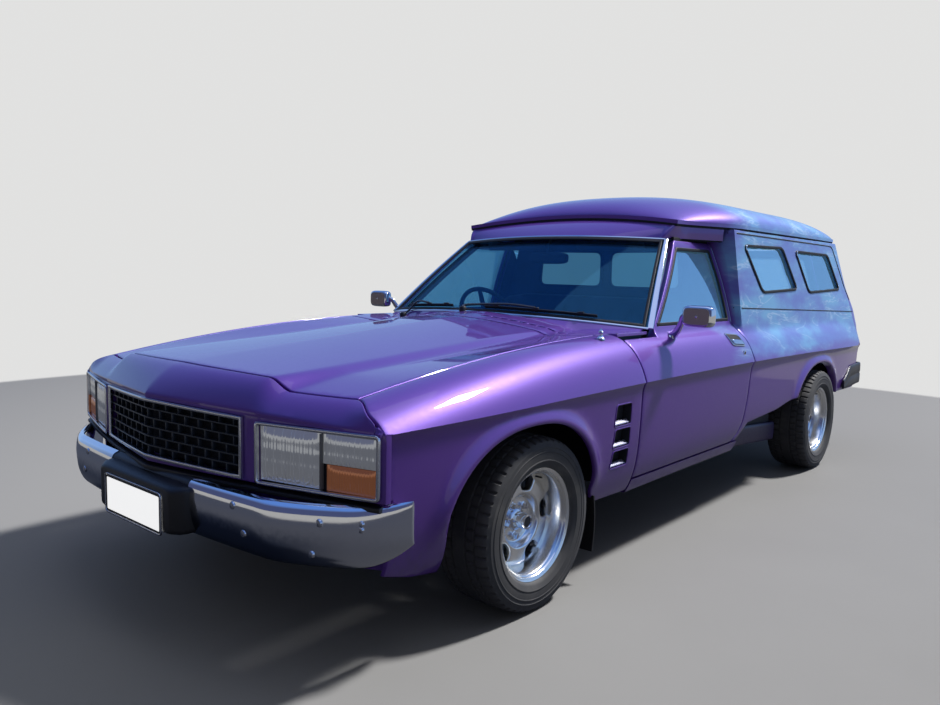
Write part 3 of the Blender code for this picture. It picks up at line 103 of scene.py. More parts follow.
def new_piece(name, form, body, material, stands_for=(), sharp=32, inner=None):
    """A mesh object from a form: points in stations, and lists of faces, the last of them the inner ones."""
    points, faces = form
    points = np.array(points, float).reshape(-1, 3)
    points[:, 1] += AXLE_Y
    rows = []
    for block in (faces if isinstance(faces, list) else [faces]):
        rows += np.asarray(block).tolist()
    mesh = bpy.data.meshes.new(name)
    mesh.from_pydata(points.tolist(), [], rows)
    mesh.materials.append(material)
    if inner is not None:
        mesh.materials.append(inner)
        index = np.zeros(len(rows), np.int32)
        index[-len(faces[-1]):] = 1
        mesh.polygons.foreach_set("material_index", index)
    bm = bmesh.new()
    bm.from_mesh(mesh)
    bmesh.ops.remove_doubles(bm, verts=bm.verts, dist=1e-6)
    bmesh.ops.recalc_face_normals(bm, faces=bm.faces)
    bm.to_mesh(mesh)
    bm.free()
    mesh.shade_smooth()
    mesh.set_sharp_from_angle(angle=radians(sharp))
    piece = bpy.data.objects.new(name, mesh)
    bpy.context.scene.collection.objects.link(piece)
    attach(piece, body)
    MADE.append(name)
    if stands_for:
        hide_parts(*stands_for)
        STOOD_FOR.update(stands_for)
    return piece


def grid_faces(m, n, close_u=False, close_v=False):
    """Quads of an m by n grid of points, whose last row or column may join the first."""
    u = np.arange(m if close_u else m - 1)
    v = np.arange(n if close_v else n - 1)
    uu, vv = np.meshgrid(u, v, indexing="ij")
    a, b = uu * n + vv, (uu + 1) % m * n + vv
    c, d = (uu + 1) % m * n + (vv + 1) % n, uu * n + (vv + 1) % n
    return np.stack([a, b, c, d], -1).reshape(-1, 4)


def join(parts):
    """Several (points, faces) pairs as one pair, each faces entry a list of index arrays."""
    points, faces, base = [], [], 0
    for some_points, some_faces in parts:
        some_points = np.asarray(some_points, float).reshape(-1, 3)
        points.append(some_points)
        blocks = some_faces if isinstance(some_faces, list) else [some_faces]
        faces += [np.asarray(block) + base for block in blocks]
        base += len(some_points)
    return np.concatenate(points), faces


def mirrored(part):
    """The part's image across the middle plane."""
    points, faces = part
    points = np.array(points, float).reshape(-1, 3) * (-1, 1, 1)
    return points, [np.asarray(f)[:, ::-1] for f in (faces if isinstance(faces, list) else [faces])]


def smooth(value):
    """Cubic ease from 0 to 1."""
    value = np.clip(value, 0.0, 1.0)
    return value * value * (3.0 - 2.0 * value)


print("quads in a 3 by 4 grid of points:", len(grid_faces(3, 4)))

# %% [markdown]
# Trim strips, seals, wipers and pipes are all one idea: a small cross-section carried along a path.
# The section stands square to the path, with its own up direction kept as steady as it can be.

# %% Sections carried along paths
def unit(vectors):
    """The vectors, each divided by its length."""
    vectors = np.asarray(vectors, float)
    return vectors / np.maximum(np.linalg.norm(vectors, axis=-1, keepdims=True), 1e-12)


def swept(path, section, up=(0, 0, 1), closed=False, scale=None):
    """A closed section of (across, up) pairs along a path: across is the path's way crossed with up."""
    path, section = np.asarray(path, float), np.asarray(section, float)
    ahead = unit(np.roll(path, -1, axis=0) - path)
    behind = np.roll(ahead, 1, axis=0)
    if not closed:
        ahead[-1], behind[0] = behind[-1], ahead[0]
    way = unit(ahead + behind)
    mitre = 1 / np.clip(np.sum(way * ahead, axis=1), 0.5, 1.0)
    up = np.broadcast_to(np.asarray(up, float), path.shape)
    across = unit(np.cross(way, up))
    up = np.cross(across, way)
    grow = np.ones(len(path)) if scale is None else np.asarray(scale, float)
    ring = section[None] * grow[:, None, None]
    points = path[:, None] + (across
                              * mitre[:, None])[:, None] * ring[..., :1] + up[:, None] * ring[..., 1:]
    m, n = points.shape[:2]
    faces = [grid_faces(m, n, closed, True)]
    if not closed:
        faces += [np.arange(n)[None], (np.arange(n)[::-1] + (m - 1) * n)[None]]
    return points.reshape(-1, 3), faces


def circle(radius, count):
    """A round section."""
    a = np.linspace(0, 2 * pi, count, endpoint=False)
    return np.stack([radius * np.cos(a), radius * np.sin(a)], -1)


def pillow(width, height, power=4.0, count=16):
    """A section between an ellipse and a rectangle: a superellipse of that width and height."""
    a = np.linspace(0, 2 * pi, count, endpoint=False)
    x, y = np.cos(a), np.sin(a)
    return np.stack([np.sign(x) * np.abs(x) ** (2 / power) * width / 2,
                     np.sign(y) * np.abs(y) ** (2 / power) * height / 2], -1)


print("points in a pillow section:", len(pillow(0.02, 0.01)))

# %% [markdown]
# Round things are a profile turned about an axis. Plain blocks are boxes with softened edges.

# %% Turned parts and soft boxes
def turned(profile, centre, side=1.0, count=64, axis="x"):
    """A closed profile of (radius, along) pairs turned about an axis through centre."""
    a = np.linspace(0, 2 * pi, count, endpoint=False)[:, None]
    profile = np.asarray(profile, float)
    r, along = profile[None, :, 0], profile[None, :, 1] * side + 0 * a
    one, two = r * np.cos(a), r * np.sin(a)
    order = {"x": (along, one, two), "y": (one, along, two), "z": (one, two, along)}[axis]
    points = np.stack(order, -1) + np.asarray(centre, float)
    return points.reshape(-1, 3), [grid_faces(count, len(profile), True, True)]


def soft_box(low, high, radius=0.004, steps=3):
    """A box with rounded edges: a cube's grid pushed to a rounded box's surface."""
    low, high = np.minimum(low, high).astype(float), np.maximum(low, high).astype(float)
    centre, half = (low + high) / 2, (high - low) / 2
    radius = min(radius, half.min() * 0.98)
    bend = radius * (1 - np.cos(np.linspace(0, pi / 2, steps + 1)))
    ticks = [np.concatenate([-h + bend, h - bend[::-1]]) for h in half]
    parts = []
    for axis in range(3):
        one, two = (axis + 1) % 3, (axis + 2) % 3
        uu, vv = np.meshgrid(ticks[one], ticks[two], indexing="ij")
        for sign in (1, -1):
            p = np.zeros(uu.shape + (3,))
            p[..., one], p[..., two], p[..., axis] = uu, vv, sign * half[axis]
            core = np.clip(p, -(half - radius), half - radius)
            p = core + unit(p - core) * radius
            f = grid_faces(*uu.shape)
            parts.append((p + centre, f if sign > 0 else f[:, ::-1]))
    return join(parts)


print("points in a small rounded box:", len(soft_box((0, 0, 0), (1, 1, 1))[0]))

# %% [markdown]
# A body panel is a sheet of steel with holes for the wheels and windows. It's drawn as a flat outline in
# the sheet's own two coordinates and then bent: a function turns each flat point into a place on the
# body. Its rim is rolled over like a hemmed door skin, so a shut line catches the light on both sides.

# %% Sheet panels
def inside(points, loop):
    """True for each 2-D point inside a closed loop, by the crossing rule."""
    x, y = points[:, :1], points[:, 1:2]
    x0, y0 = loop[:, 0], loop[:, 1]
    x1, y1 = np.roll(x0, -1), np.roll(y0, -1)
    with np.errstate(divide="ignore", invalid="ignore"):
        at = x0 + (y - y0) * (x1 - x0) / (y1 - y0)
    return (np.sum(((y0 > y) != (y1 > y)) & (x < at), axis=1) % 2) == 1


def divided(loop, step):
    """The closed loop with its long edges cut into pieces no longer than step."""
    loop = np.asarray(loop, float)
    found = []
    for a, b in zip(loop, np.roll(loop, -1, axis=0)):
        count = max(1, int(np.ceil(np.linalg.norm(b - a) / step)))
        found.append(a + (b - a) * np.arange(count)[:, None] / count)
    return np.concatenate(found)


def loop_normals(loop):
    """Outward normals at a closed loop's points, lengthened at its corners as a mitre is."""
    way = unit(np.roll(loop, -1, axis=0) - loop)
    normal = np.stack([way[:, 1], -way[:, 0]], -1)
    before = np.roll(normal, 1, axis=0)
    both = unit(normal + before)
    both = both / np.clip(np.sum(both * normal, axis=1, keepdims=True), 0.55, 1.0)
    area = np.sum(loop[:, 0] * np.roll(loop[:, 1], -1) - np.roll(loop[:, 0], -1) * loop[:, 1])
    return both if area > 0 else -both


def flat_region(loops, spacing, rows, creases, lines=()):
    """Triangles that fill the first loop outside the others, following rows of points and the creases."""
    verts, edges = [], []
    for loop in loops:
        base = len(verts)
        verts += loop.tolist()
        edges += [(base + k, base + (k + 1) % len(loop)) for k in range(len(loop))]
    low, high = loops[0].min(axis=0), loops[0].max(axis=0)
    for line in list(lines) + [[(u, v) for u in np.arange(low[0] - 0.011, high[0] + 0.03,
                                                          spacing)] for v in creases]:
        base = len(verts)
        verts += [tuple(p) for p in line]
        edges += [(base + k, base + k + 1) for k in range(len(line) - 1)]
    grid = []
    for k, v in enumerate(rows):
        if low[1] < v < high[1] and all(abs(v - c) > 1e-6 for c in creases):
            u = np.arange(low[0] + (k % 2) * spacing / 2, high[0], spacing)
            grid.append(np.stack([u, 0 * u + v], -1))
    grid = np.concatenate(grid)
    keep = inside(grid, loops[0])
    for loop in loops[1:]:
        keep &= ~inside(grid, loop)
    rims = [np.concatenate([loop, loop[:1]]) for loop in loops]
    for line in rims + [np.asarray(line, float) for line in lines]:
        a, b = line[None, :-1], line[None, 1:]
        t = np.clip(np.sum((grid[:, None] - a) * (b - a), -1) / np.maximum(np.sum((b - a) ** 2, -1), 1e-12),
                    0, 1)
        gap = np.linalg.norm(grid[:, None] - a - (b - a) * t[..., None], axis=-1).min(axis=1)
        keep &= gap > spacing * 0.22
    verts += grid[keep].tolist()
    out = delaunay_2d_cdt([Vector(p) for p in verts], edges, [], 0, 1e-6, False)
    flat = np.array([tuple(v) for v in out[0]])
    tris = np.array(out[2])
    middle = flat[tris].mean(axis=1)
    keep = inside(middle, loops[0])
    for loop in loops[1:]:
        keep &= ~inside(middle, loop)
    used, index = np.unique(tris[keep], return_inverse=True)
    return flat[used], index.reshape(-1, 3)


print("a loop of four points divided at 0.5:", len(divided([(0, 0), (1, 0), (1, 1), (0, 1)], 0.5)), "points")

# %% [markdown]
# The flat mesh is bent by the skin function. The rim's rings roll it over, and the same mesh, moved
# inwards, closes the back.

# %% Bent and hemmed sheets
def sheet_panel(outline, skin, inward, rows, holes=(), creases=(), lines=(), spacing=0.03, hem=0.004,
                draft=0.0):
    """A panel as (points, faces).

    The skin is bent from a flat mesh. Round each rim, rings turn through a quarter circle of the hem's
    radius and then drop to the inner face, which is the same flat mesh moved by the inward vector.
    """
    loops = []
    for k, loop in enumerate((outline, *holes)):
        loop = divided(loop, spacing)
        loops.append(loop - loop_normals(loop) * hem * (1 if k == 0 else -1))
    flat, tris = flat_region(loops, spacing, rows, creases, lines)
    ends = np.concatenate([tris[:, [0, 1]], tris[:, [1, 2]], tris[:, [2, 0]]])
    code = ends[:, 0] * len(flat) + ends[:, 1]
    back = ends[:, 1] * len(flat) + ends[:, 0]
    rim = ends[~np.isin(code, back)]
    way = flat[rim[:, 1]] - flat[rim[:, 0]]
    normal = unit(np.stack([way[:, 1], -way[:, 0]], -1))
    out = np.zeros_like(flat)
    np.add.at(out, rim[:, 0], normal)
    np.add.at(out, rim[:, 1], normal)
    spot = np.unique(rim)
    place = np.full(len(flat), -1)
    place[spot] = np.arange(len(spot))
    out = unit(out[spot])
    depth = inward(flat[:, 0], flat[:, 1])
    depth_way = unit(depth)
    points, faces = [skin(flat[:, 0], flat[:, 1])], [tris]
    base, last = len(flat), rim
    for angle in np.linspace(0, pi / 2, 4)[1:]:
        at = flat[spot] + out * hem * sin(angle)
        points.append(skin(at[:, 0], at[:, 1]) + depth_way[spot] * hem * (1 - cos(angle)))
        ring = place[rim] + base
        faces.append(np.stack([last[:, 1], last[:, 0], ring[:, 0], ring[:, 1]], -1))
        base, last = base + len(spot), ring
    inner = flat.copy()
    inner[spot] += out * (hem - draft)
    points.append(skin(inner[:, 0], inner[:, 1]) + depth)
    faces.append(np.stack([last[:, 1], last[:, 0], rim[:, 0] + base, rim[:, 1] + base], -1))
    faces.append(tris[:, ::-1] + base)
    return np.concatenate(points), faces


TRY = sheet_panel([(0, 0), (0.2, 0), (0.2, 0.2), (0, 0.2)], lambda u, v: np.stack([u, v, 0 * u], -1),
                  lambda u, v: np.tile((0.0, 0.0, -0.01), (len(u), 1)), [0.1])
print("points in a hemmed sheet of 20 cm:", len(TRY[0]))

# %% [markdown]
# The body's shape is a handful of section formulas. The crease along the side, the shoulder above it, the
# upright wall below it, the leaning door frames and the upright load space are all functions of station
# and height. The CAD model is drawn with nearly the same ones, so the smooth panels lie close to its
# solids. This cell has their sizes, in metres, and the curves along the side.

# %% Body sections
CREASE_HALF_WIDTH = 0.938
CREASE_HEIGHT = 0.747
SILL_HEIGHT = 0.283
BELT_HEIGHT = 0.909
SHELF_HEIGHT = 0.925
GUTTER_HEIGHT = 1.42
ROOF_RISE = 0.200
ROOF_FRONT = 1.415
ROOF_SUMMIT = 2.500
ROOF_BACK = REAR_END - 0.355
ROOF_HALF_WIDTH = 0.775
BONNET_EDGE = 0.745
SHOULDER_LEAD = 0.055
BONNET_REAR = 0.560
DOOR_FRONT = 0.645
DOOR_REAR = 1.782
DOOR_SILL = 0.347
DOOR_FRAME_TOP = GUTTER_HEIGHT - 0.084
SCREEN_FOOT_HEIGHT = 0.934
SCREEN_HEAD_HEIGHT = DOOR_FRAME_TOP + 0.002
DOOR_FRAME_FOOT_X = 0.803
DOOR_FRAME_HEAD_X = 0.664
QUARTER_EDGE = 0.425
GUARD_FRONT = -0.728
SCREEN_FOOT = 0.925
SCREEN_HEAD = 1.360
SHUT_GAP = 0.007
PILLAR_STEP = 0.030
TAIL_EDGE_X = 0.80
ARCH_FOOT = 0.300
ARCH_TOP = {True: 0.668, False: 0.662}
ARCH_CENTRE = {True: -0.083, False: WHEELBASE - 0.040}
ARCH_HALF = {True: 0.410, False: 0.405}
ARCH_POWER = 2.3
CORNER_ROLL = 0.028
CORNER_LENGTH = 0.075


def crease_z(y):
    """Height of the crease, a shallow arch: its top less a share of the station's square."""
    return CREASE_HEIGHT - 0.0056 * (y - 1.4) ** 2


def crease_x(y):
    """Half width at the crease: constant, less a power of the way into the nose and the tail."""
    nose = np.clip((-0.05 - y) / 0.68, 0.0, None)
    tail = np.clip((y - WHEELBASE) / 1.0, 0.0, None)
    return CREASE_HALF_WIDTH - 0.040 * nose ** 2 - 0.045 * tail ** 2.2


def shelf_z(y):
    """Height where the shoulder meets the bonnet, falling as a square towards the nose."""
    return SHELF_HEIGHT - 0.13 * (np.clip(0.75 - y, 0.0, None) / 1.45) ** 2


def shoulder(y, t):
    """The shoulder, a quadratic curve through three points: crease, a point above it, and the shelf."""
    x0, z0 = crease_x(y), crease_z(y)
    x2, z2 = BONNET_EDGE, shelf_z(y)
    x1, z1 = x0 - SHOULDER_LEAD, z2 - 0.005
    a, b, c = (1 - t) ** 2, 2 * t * (1 - t), t * t
    return a * x0 + b * x1 + c * x2, a * z0 + b * z1 + c * z2


def arch_ratio(y, z, front):
    """1 on the wheel arch's edge and more outside it: a superellipse about the arch's centre."""
    up = np.clip(z - ARCH_FOOT, 0.0, None) / (ARCH_TOP[front] - ARCH_FOOT)
    across = np.abs((y - ARCH_CENTRE[front]) / ARCH_HALF[front])
    return (across ** ARCH_POWER + up ** ARCH_POWER) ** (1 / ARCH_POWER)


def arch_curve(front, count, z_from, z_to):
    """Points of the arch's edge from one height before the wheel to another behind it."""
    rise = ARCH_TOP[front] - ARCH_FOOT
    start, end = [np.arcsin((z - ARCH_FOOT) / rise) if z > ARCH_FOOT else 0.0 for z in (z_from, z_to)]
    t = np.linspace(start, pi - end, count)
    power = 2.0 / ARCH_POWER
    y = ARCH_CENTRE[front] - ARCH_HALF[front] * np.sign(np.cos(t)) * np.abs(np.cos(t)) ** power
    return np.stack([y, ARCH_FOOT + rise * np.abs(np.sin(t)) ** power], -1)


def flare(y, z):
    """The rolled lip round each arch: a bell curve of the distance from the arch's edge."""
    out = 0.0
    for front in (True, False):
        distance = (arch_ratio(y, z, front) - 1.0) * 0.40
        out = out + 0.017 * np.exp(-((distance - 0.012) / 0.030) ** 2)
    return out * smooth((z - 0.33) / 0.12) * smooth((crease_z(y) - z) / 0.05)


def lower_x(y, z):
    """Half width below the crease: an undercut that dies away, a lean, and a tuck as a fifth power."""
    depth = np.clip((crease_z(y) - z) / (CREASE_HEIGHT - SILL_HEIGHT), 0.0, 1.2)
    undercut = 0.014 * (1.0 - np.exp(-depth / 0.03))
    return crease_x(y) - undercut - 0.012 * depth - 0.057 * depth ** 5 + flare(y, z)


def shoulder_x(y, z):
    """Half width on the shoulder at a height, from the quadratic's root for that height."""
    z0, z2 = crease_z(y), shelf_z(y)
    z1 = z2 - 0.005
    a, b, c = z0 - 2 * z1 + z2, 2 * (z1 - z0), z0 - z
    t = 2 * c / (-b - np.sqrt(np.clip(b * b - 4 * a * c, 0.0, None)))
    return shoulder(y, np.clip(t, 0.0, 1.0))[0]


print("crease at the front axle", round(float(crease_x(0.0)), 3), round(float(crease_z(0.0)), 3))

# %% [markdown]
# Above the belt, the door frames lean in and the load space stands nearly upright. The tail is a side
# profile that is fuller in its middle.

# %% Upper side and tail
def cab_x(z):
    """Half width of the door frames: a straight lean with a slight bow."""
    rise = (z - 0.93) / (DOOR_FRAME_TOP - 0.93)
    bow = 0.010 * np.sin(pi * np.clip(rise, 0.0, 1.0))
    return DOOR_FRAME_FOOT_X - (DOOR_FRAME_FOOT_X - DOOR_FRAME_HEAD_X) * rise + bow


def van_x(z):
    """Half width of the load space's upper side, a straight lean."""
    return 0.842 - (0.842 - ROOF_HALF_WIDTH) * (z - 0.95) / (GUTTER_HEIGHT - 0.95)


def door_x(y, z):
    """A door's skin: the lower wall, the shoulder, and above the belt the leaning frame."""
    ledge = smooth((z - BELT_HEIGHT) / 0.021)
    upper = shoulder_x(y, np.minimum(z, BELT_HEIGHT)) * (1 - ledge) + cab_x(z) * ledge
    return np.where(z < crease_z(y), lower_x(y, z), upper)


TAIL_PROFILE = [(0.400, -0.043), (0.560, -0.008), (0.700, 0.000), (0.813, -0.006), (0.951, -0.058),
                (1.085, -0.140), (1.250, -0.238), (1.430, -0.343)]


def tail_y(x, z):
    """Station of the tail's skin: read off its side profile, and fuller in the middle by a square."""
    heights, stations = zip(*TAIL_PROFILE)
    return TAIL + np.interp(z, heights, stations) + 0.030 * (1 - (np.abs(x) / TAIL_EDGE_X) ** 2)


def side_x(y, z):
    """The side behind the door: the larger of shoulder and upper side, blended, with a rolled rear corner."""
    low = door_x(y, z)
    gap = 0.012
    line, blend = van_x(z), shoulder_x(y, z)
    high = 0.5 * (line + blend + np.sqrt((line - blend) ** 2 + gap ** 2)) - gap * 0.15
    high = high - 0.020 * np.clip(y - WHEELBASE, 0.0, None) ** 2 * smooth((z - 0.95) / 0.20)
    high = np.where(z < crease_z(y), low, np.maximum(high, low))
    corner = np.clip(1.0 - (tail_y(TAIL_EDGE_X, z) - y) / CORNER_LENGTH, 0.0, None)
    roll = CORNER_ROLL * corner ** 2 * (1.0 - 0.8 * smooth((z - 0.76) / 0.10))
    return low + (high - low) * smooth((y - DOOR_REAR) / PILLAR_STEP) - roll


print("tail at 0.7 m up", round(float(tail_y(0.0, 0.7)), 3))

# %% [markdown]
# Bonnet and nose are heights over the plan. Both share the shoulder's edge, so they meet the guards.

# %% Bonnet and nose formulas
def ridge_z(y):
    """Height of the bonnet's centre line, a straight rise."""
    return 0.845 + 0.0865 * (y + 0.803)


def bonnet_z(x, y):
    """The bonnet: a crowned centre, an eased step down, and a shallow straight outer part."""
    across = np.abs(x)
    edge = ridge_z(y) - 0.012 - 0.024 * (y + 0.8) / 1.3
    rim = shelf_z(y)
    foot = np.minimum(rim + 0.012 - 0.02 * smooth((y + 0.75) / 0.7), edge - 0.020)
    crown = ridge_z(y) + (edge - ridge_z(y)) * (0.35 * across / 0.43 + 0.65 * (across / 0.43) ** 2)
    slope = edge + (foot - edge) * smooth((across - 0.43) / 0.09)
    outer = foot + (rim - foot) * np.clip((across - 0.52) / (BONNET_EDGE - 0.52), 0.0, 1.2)
    return np.where(across < 0.43, crown, np.where(across < 0.52, slope, outer))


def bonnet_front(x):
    """Station of the shut line between bonnet and nose, a shallow square."""
    return -0.803 + 0.21 * x * x


def nose_front(x):
    """Station of the nose's leading edge, a shallow prow in plan."""
    x = np.abs(x)
    return -0.938 + 0.16 * x + 0.08 * x * x


def nose_edge_z(x):
    """Height of the nose's leading edge."""
    return 0.754 - 0.028 * (np.abs(x) / 0.9) ** 1.5


def shoulder_share(y, x):
    """How far over the shoulder a half width lies: the root of the quadratic's width."""
    x0, lead = crease_x(y), 2 * SHOULDER_LEAD
    fall = np.clip(x0 - x, 0.0, None)
    bend = x0 - BONNET_EDGE - lead
    return np.clip(2 * fall / (lead + np.sqrt(lead ** 2 + 4 * bend * fall)), 0.0, 1.0)


def guard_front(x):
    """Station of the shut line between nose and guard: it leaves the bonnet's corner and eases forward."""
    corner = bonnet_front(BONNET_EDGE)
    return corner + (GUARD_FRONT - corner) * smooth((np.abs(x) - BONNET_EDGE) / 0.10)


def nose_z(x, y):
    """The nose panel: from the leading edge it rises to the bonnet's line, quickly and then slowly."""
    across = np.abs(x)
    back = np.where(across < BONNET_EDGE, bonnet_front(x), guard_front(x))
    t = np.clip((y - nose_front(x)) / (back - nose_front(x)), 0.0, 1.0)
    inner = bonnet_z(np.minimum(across, BONNET_EDGE), back)
    outer = shoulder(back, shoulder_share(back, np.clip(across, BONNET_EDGE, None)))[1]
    rear = np.where(across < BONNET_EDGE, inner, outer)
    return nose_edge_z(x) + (rear - nose_edge_z(x)) * (1 - (1 - t) ** 1.7)


print("bonnet in the middle", round(float(bonnet_z(0.0, 0.0)), 3))

# %% [markdown]
# The windscreen takes a share across and a share up, and the roof's plan is an eased width.

# %% Windscreen and roof formulas
def screen_point(u, v):
    """The windscreen: straight between foot and head, bowed forward as a square across its width."""
    half = 0.795 + (0.628 - 0.795) * v
    bow = 0.165 + (0.075 - 0.165) * v
    y = SCREEN_FOOT + (SCREEN_HEAD - SCREEN_FOOT) * v - bow * (1 - u * u)
    z = SCREEN_FOOT_HEIGHT + (SCREEN_HEAD_HEIGHT - SCREEN_FOOT_HEIGHT) * v
    z = z + (1 - u * u) * (0.035 * (1 - v) + 0.018 * v)
    return np.stack([half * u, y, z + 0.010 * np.sin(pi * v)], -1)


def screen_edge(z):
    """Station of the windscreen's side edge at a height."""
    rise = (z - SCREEN_FOOT_HEIGHT) / (SCREEN_HEAD_HEIGHT - SCREEN_FOOT_HEIGHT)
    return SCREEN_FOOT + rise * (SCREEN_HEAD - SCREEN_FOOT)


def roof_plan(y):
    """Half width of the roof at the gutter, eased from the cab's width to the load space's."""
    width = 0.655 + (ROOF_HALF_WIDTH - 0.655) * smooth((y - 1.405) / 0.55)
    return width - 0.022 * np.clip((y - WHEELBASE) / 0.7, 0.0, None) ** 2


print("half width at the crease", round(float(crease_x(1.0)), 3), "tail edge",
      round(float(tail_y(0.8, 0.7)), 3))


# %% [markdown]
# Materials are small node trees. An output socket is wrapped in a class whose operators add Math nodes,
# so that a mask can be written as a formula. One method, node, adds every other kind.

# %% Shader maths
class Shade:
    """An output socket of a material. Operators between sockets and numbers add Math nodes."""

    def __init__(self, tree, socket=None):
        self.tree, self.socket = tree, socket

    def node(self, kind, settings=None, out=0, **values):
        """A new node: its settings, then its inputs by name or, as i0, i1 and so on, by number."""
        made = self.tree.nodes.new("ShaderNode" + kind)
        for key, value in (settings or {}).items():
            if key == "stops":
                for k, (at, color) in enumerate(value):
                    stop = made.color_ramp.elements[k] if k < 2 else made.color_ramp.elements.new(at)
                    stop.position, stop.color = at, (*color, 1.0)
            else:
                setattr(made, key, value)
        for key, value in values.items():
            place = made.inputs[int(key[1:])] if key[1:].isdigit() else made.inputs[key.replace("_", " ")]
            if isinstance(value, Shade):
                self.tree.links.new(value.socket, place)
            elif place.type == "RGBA":
                place.default_value = (*value[:3], 1.0)
            else:
                place.default_value = value
        return Shade(self.tree, made.outputs[out])

    def math(self, operation, one, two=0.0, clamp=False):
        """A Math node."""
        return self.node("Math", {"operation": operation, "use_clamp": clamp}, i0=one, i1=two)

    def __add__(self, other):
        return self.math("ADD", self, other)

    def __sub__(self, other):
        return self.math("SUBTRACT", self, other)

    def __rsub__(self, other):
        return self.math("SUBTRACT", other, self)

    def __mul__(self, other):
        return self.math("MULTIPLY", self, other)

    def __truediv__(self, other):
        return self.math("DIVIDE", self, other)

    def __pow__(self, other):
        return self.math("POWER", self, other)

    __radd__, __rmul__ = __add__, __mul__

    def eased(self, low, high):
        """0 below low, 1 above high, and a smooth step between."""
        return self.node("MapRange", {"interpolation_type": "SMOOTHSTEP"}, i0=self, i1=low, i2=high)

    def split(self):
        """The three coordinates of a vector socket."""
        one = self.node("SeparateXYZ", i0=self)
        return [Shade(self.tree, out) for out in one.socket.node.outputs[:3]]

    def mix(self, factor, one, two):
        """A colour between one and two."""
        return self.node("Mix", {"data_type": "RGBA"}, 2, i0=factor, i6=one, i7=two)

    def noise(self, place, scale, detail=3.0, **more):
        """Noise from 0 to 1 at a place, with so many waves a metre."""
        return self.node("TexNoise", Vector=place, Scale=scale, Detail=detail, **more)


def new_tree(name):
    """An empty material, and a Shade whose tree takes its nodes."""
    made = bpy.data.materials.new(name)
    made.use_nodes = True
    made.node_tree.nodes.clear()
    return made, Shade(made.node_tree)


def finished(made, surface):
    """The material, once its surface shader is joined to the output."""
    output = made.node_tree.nodes.new("ShaderNodeOutputMaterial")
    made.node_tree.links.new(surface.socket, output.inputs["Surface"])
    return made


def tinted(color, share):
    """The colour with each channel multiplied by share, and none above one."""
    return tuple(min(1.0, c * share) for c in color)


def plain_finish(name, color, roughness, scale=40.0, vary=0.08, rough_vary=0.10, bump=0.0, depth=0.0006,
                 **sockets):
    """A finish with a cloudy tone, finer changes of gloss, and a grain of the given size in its relief."""
    made, shade = new_tree(name)
    place = shade.node("TexCoord", out=3)
    cloud = shade.noise(place, scale * 0.12, 4.0)
    grain = shade.noise(place, scale, 3.0)
    base = shade.mix(cloud, tinted(color, 1 - vary), tinted(color, 1 + vary))
    rough = grain * (2 * rough_vary) + (roughness - rough_vary)
    if bump:
        sockets["Normal"] = shade.node("Bump", Strength=bump, Distance=depth, Height=grain)
    return finished(made, shade.node("BsdfPrincipled", Base_Color=base, Roughness=rough, **sockets))


# %% [markdown]
# The paint is a deep violet metallic under clear lacquer. Flake is a fine cell pattern that tilts the
# surface slightly. Behind the cab, a soft wash of blue and pale cyan is sprayed over the violet: clouds
# of noise, stretched along the van, with a few long thin wisps. It fades out forwards over the door.

# %% Paint
def violet_paint():
    """Violet with flake under lacquer, the sprayed blue wash, and road dirt low down."""
    made, shade = new_tree("violet_metallic")
    place = shade.node("TexCoord", out=3)
    y, z = place.split()[1:]
    station = y - AXLE_Y
    stretched = shade.node("Mapping", Vector=place, Scale=(0.6, 1.0, 2.6), Rotation=(0.35, 0.0, 0.0))
    cloud = shade.noise(stretched, 2.1, 5.0, Roughness=0.55)
    wisp_place = shade.node("Mapping", Vector=place, Scale=(0.4, 0.7, 3.0), Rotation=(-0.25, 0.0, 0.0))
    wisp = shade.noise(wisp_place, 2.6, 4.0, Distortion=1.2)
    behind = (station + (cloud - 0.5) * 0.7).eased(1.45, 2.05)
    roof_front = (station + (cloud - 0.5) * 0.6 - z.eased(1.40, 1.47) * 0.28).eased(1.45, 2.00)
    side = z.eased(0.915, 0.935)
    rear_side = station.eased(1.785, 1.800)
    behind = shade.math("MAXIMUM", behind,
                        side * rear_side) * (1.0 - side * (1.0 - rear_side) * (1.0 - z.eased(1.40, 1.42)))
    above = (z + (cloud - 0.5) * 0.08).eased(0.735, 0.790)
    crown = 1.0 - (z - (cloud - 0.5) * 0.10).eased(1.53, 1.60) * 0.75
    corner = 1.0 - (station + z * 0.44 - (TAIL + 0.275)).eased(0.0, 0.012) * (1.0 - z.eased(1.40, 1.43))
    wash = shade.math("MINIMUM", behind, roof_front) * above * crown * corner
    violet = shade.mix(shade.noise(place, 3.0), (0.122, 0.038, 0.345), (0.145, 0.048, 0.400))
    blue = shade.mix(cloud.eased(0.36, 0.66), (0.150, 0.230, 0.640), (0.210, 0.520, 0.780))
    thin = shade.math("ABSOLUTE", wisp - 0.5)
    streak = (1.0 - thin.eased(0.0, 0.028)) * cloud.eased(0.42, 0.62)
    color = shade.mix(wash * (0.55 + cloud * 0.55), violet, blue)
    color = shade.mix(streak * wash * 0.55, color, (0.62, 0.76, 0.92))
    low = 1.0 - z.eased(0.28, 0.46)
    dirt = shade.noise(place, 26.0, 5.0).eased(0.48, 0.75) * low
    color = shade.mix(dirt * 0.30, color, (0.20, 0.17, 0.15))
    flake = shade.node("TexVoronoi", {"feature": "F1"}, 1, Vector=place, Scale=900.0)
    tilt = shade.node("Bump", Strength=0.10, Distance=0.0004, Height=flake)
    rough = shade.noise(place, 70.0) * 0.08 + dirt * 0.25 + 0.40
    return finished(made, shade.node(
        "BsdfPrincipled", Base_Color=color, Metallic=0.34, Roughness=rough, Normal=tilt,
        Coat_Weight=1.0 - dirt * 0.6, Coat_Roughness=0.03, Coat_IOR=1.55))


# %% [markdown]
# The other special finishes: glass, tyres, the chrome bumper, cloth and lamp lenses.

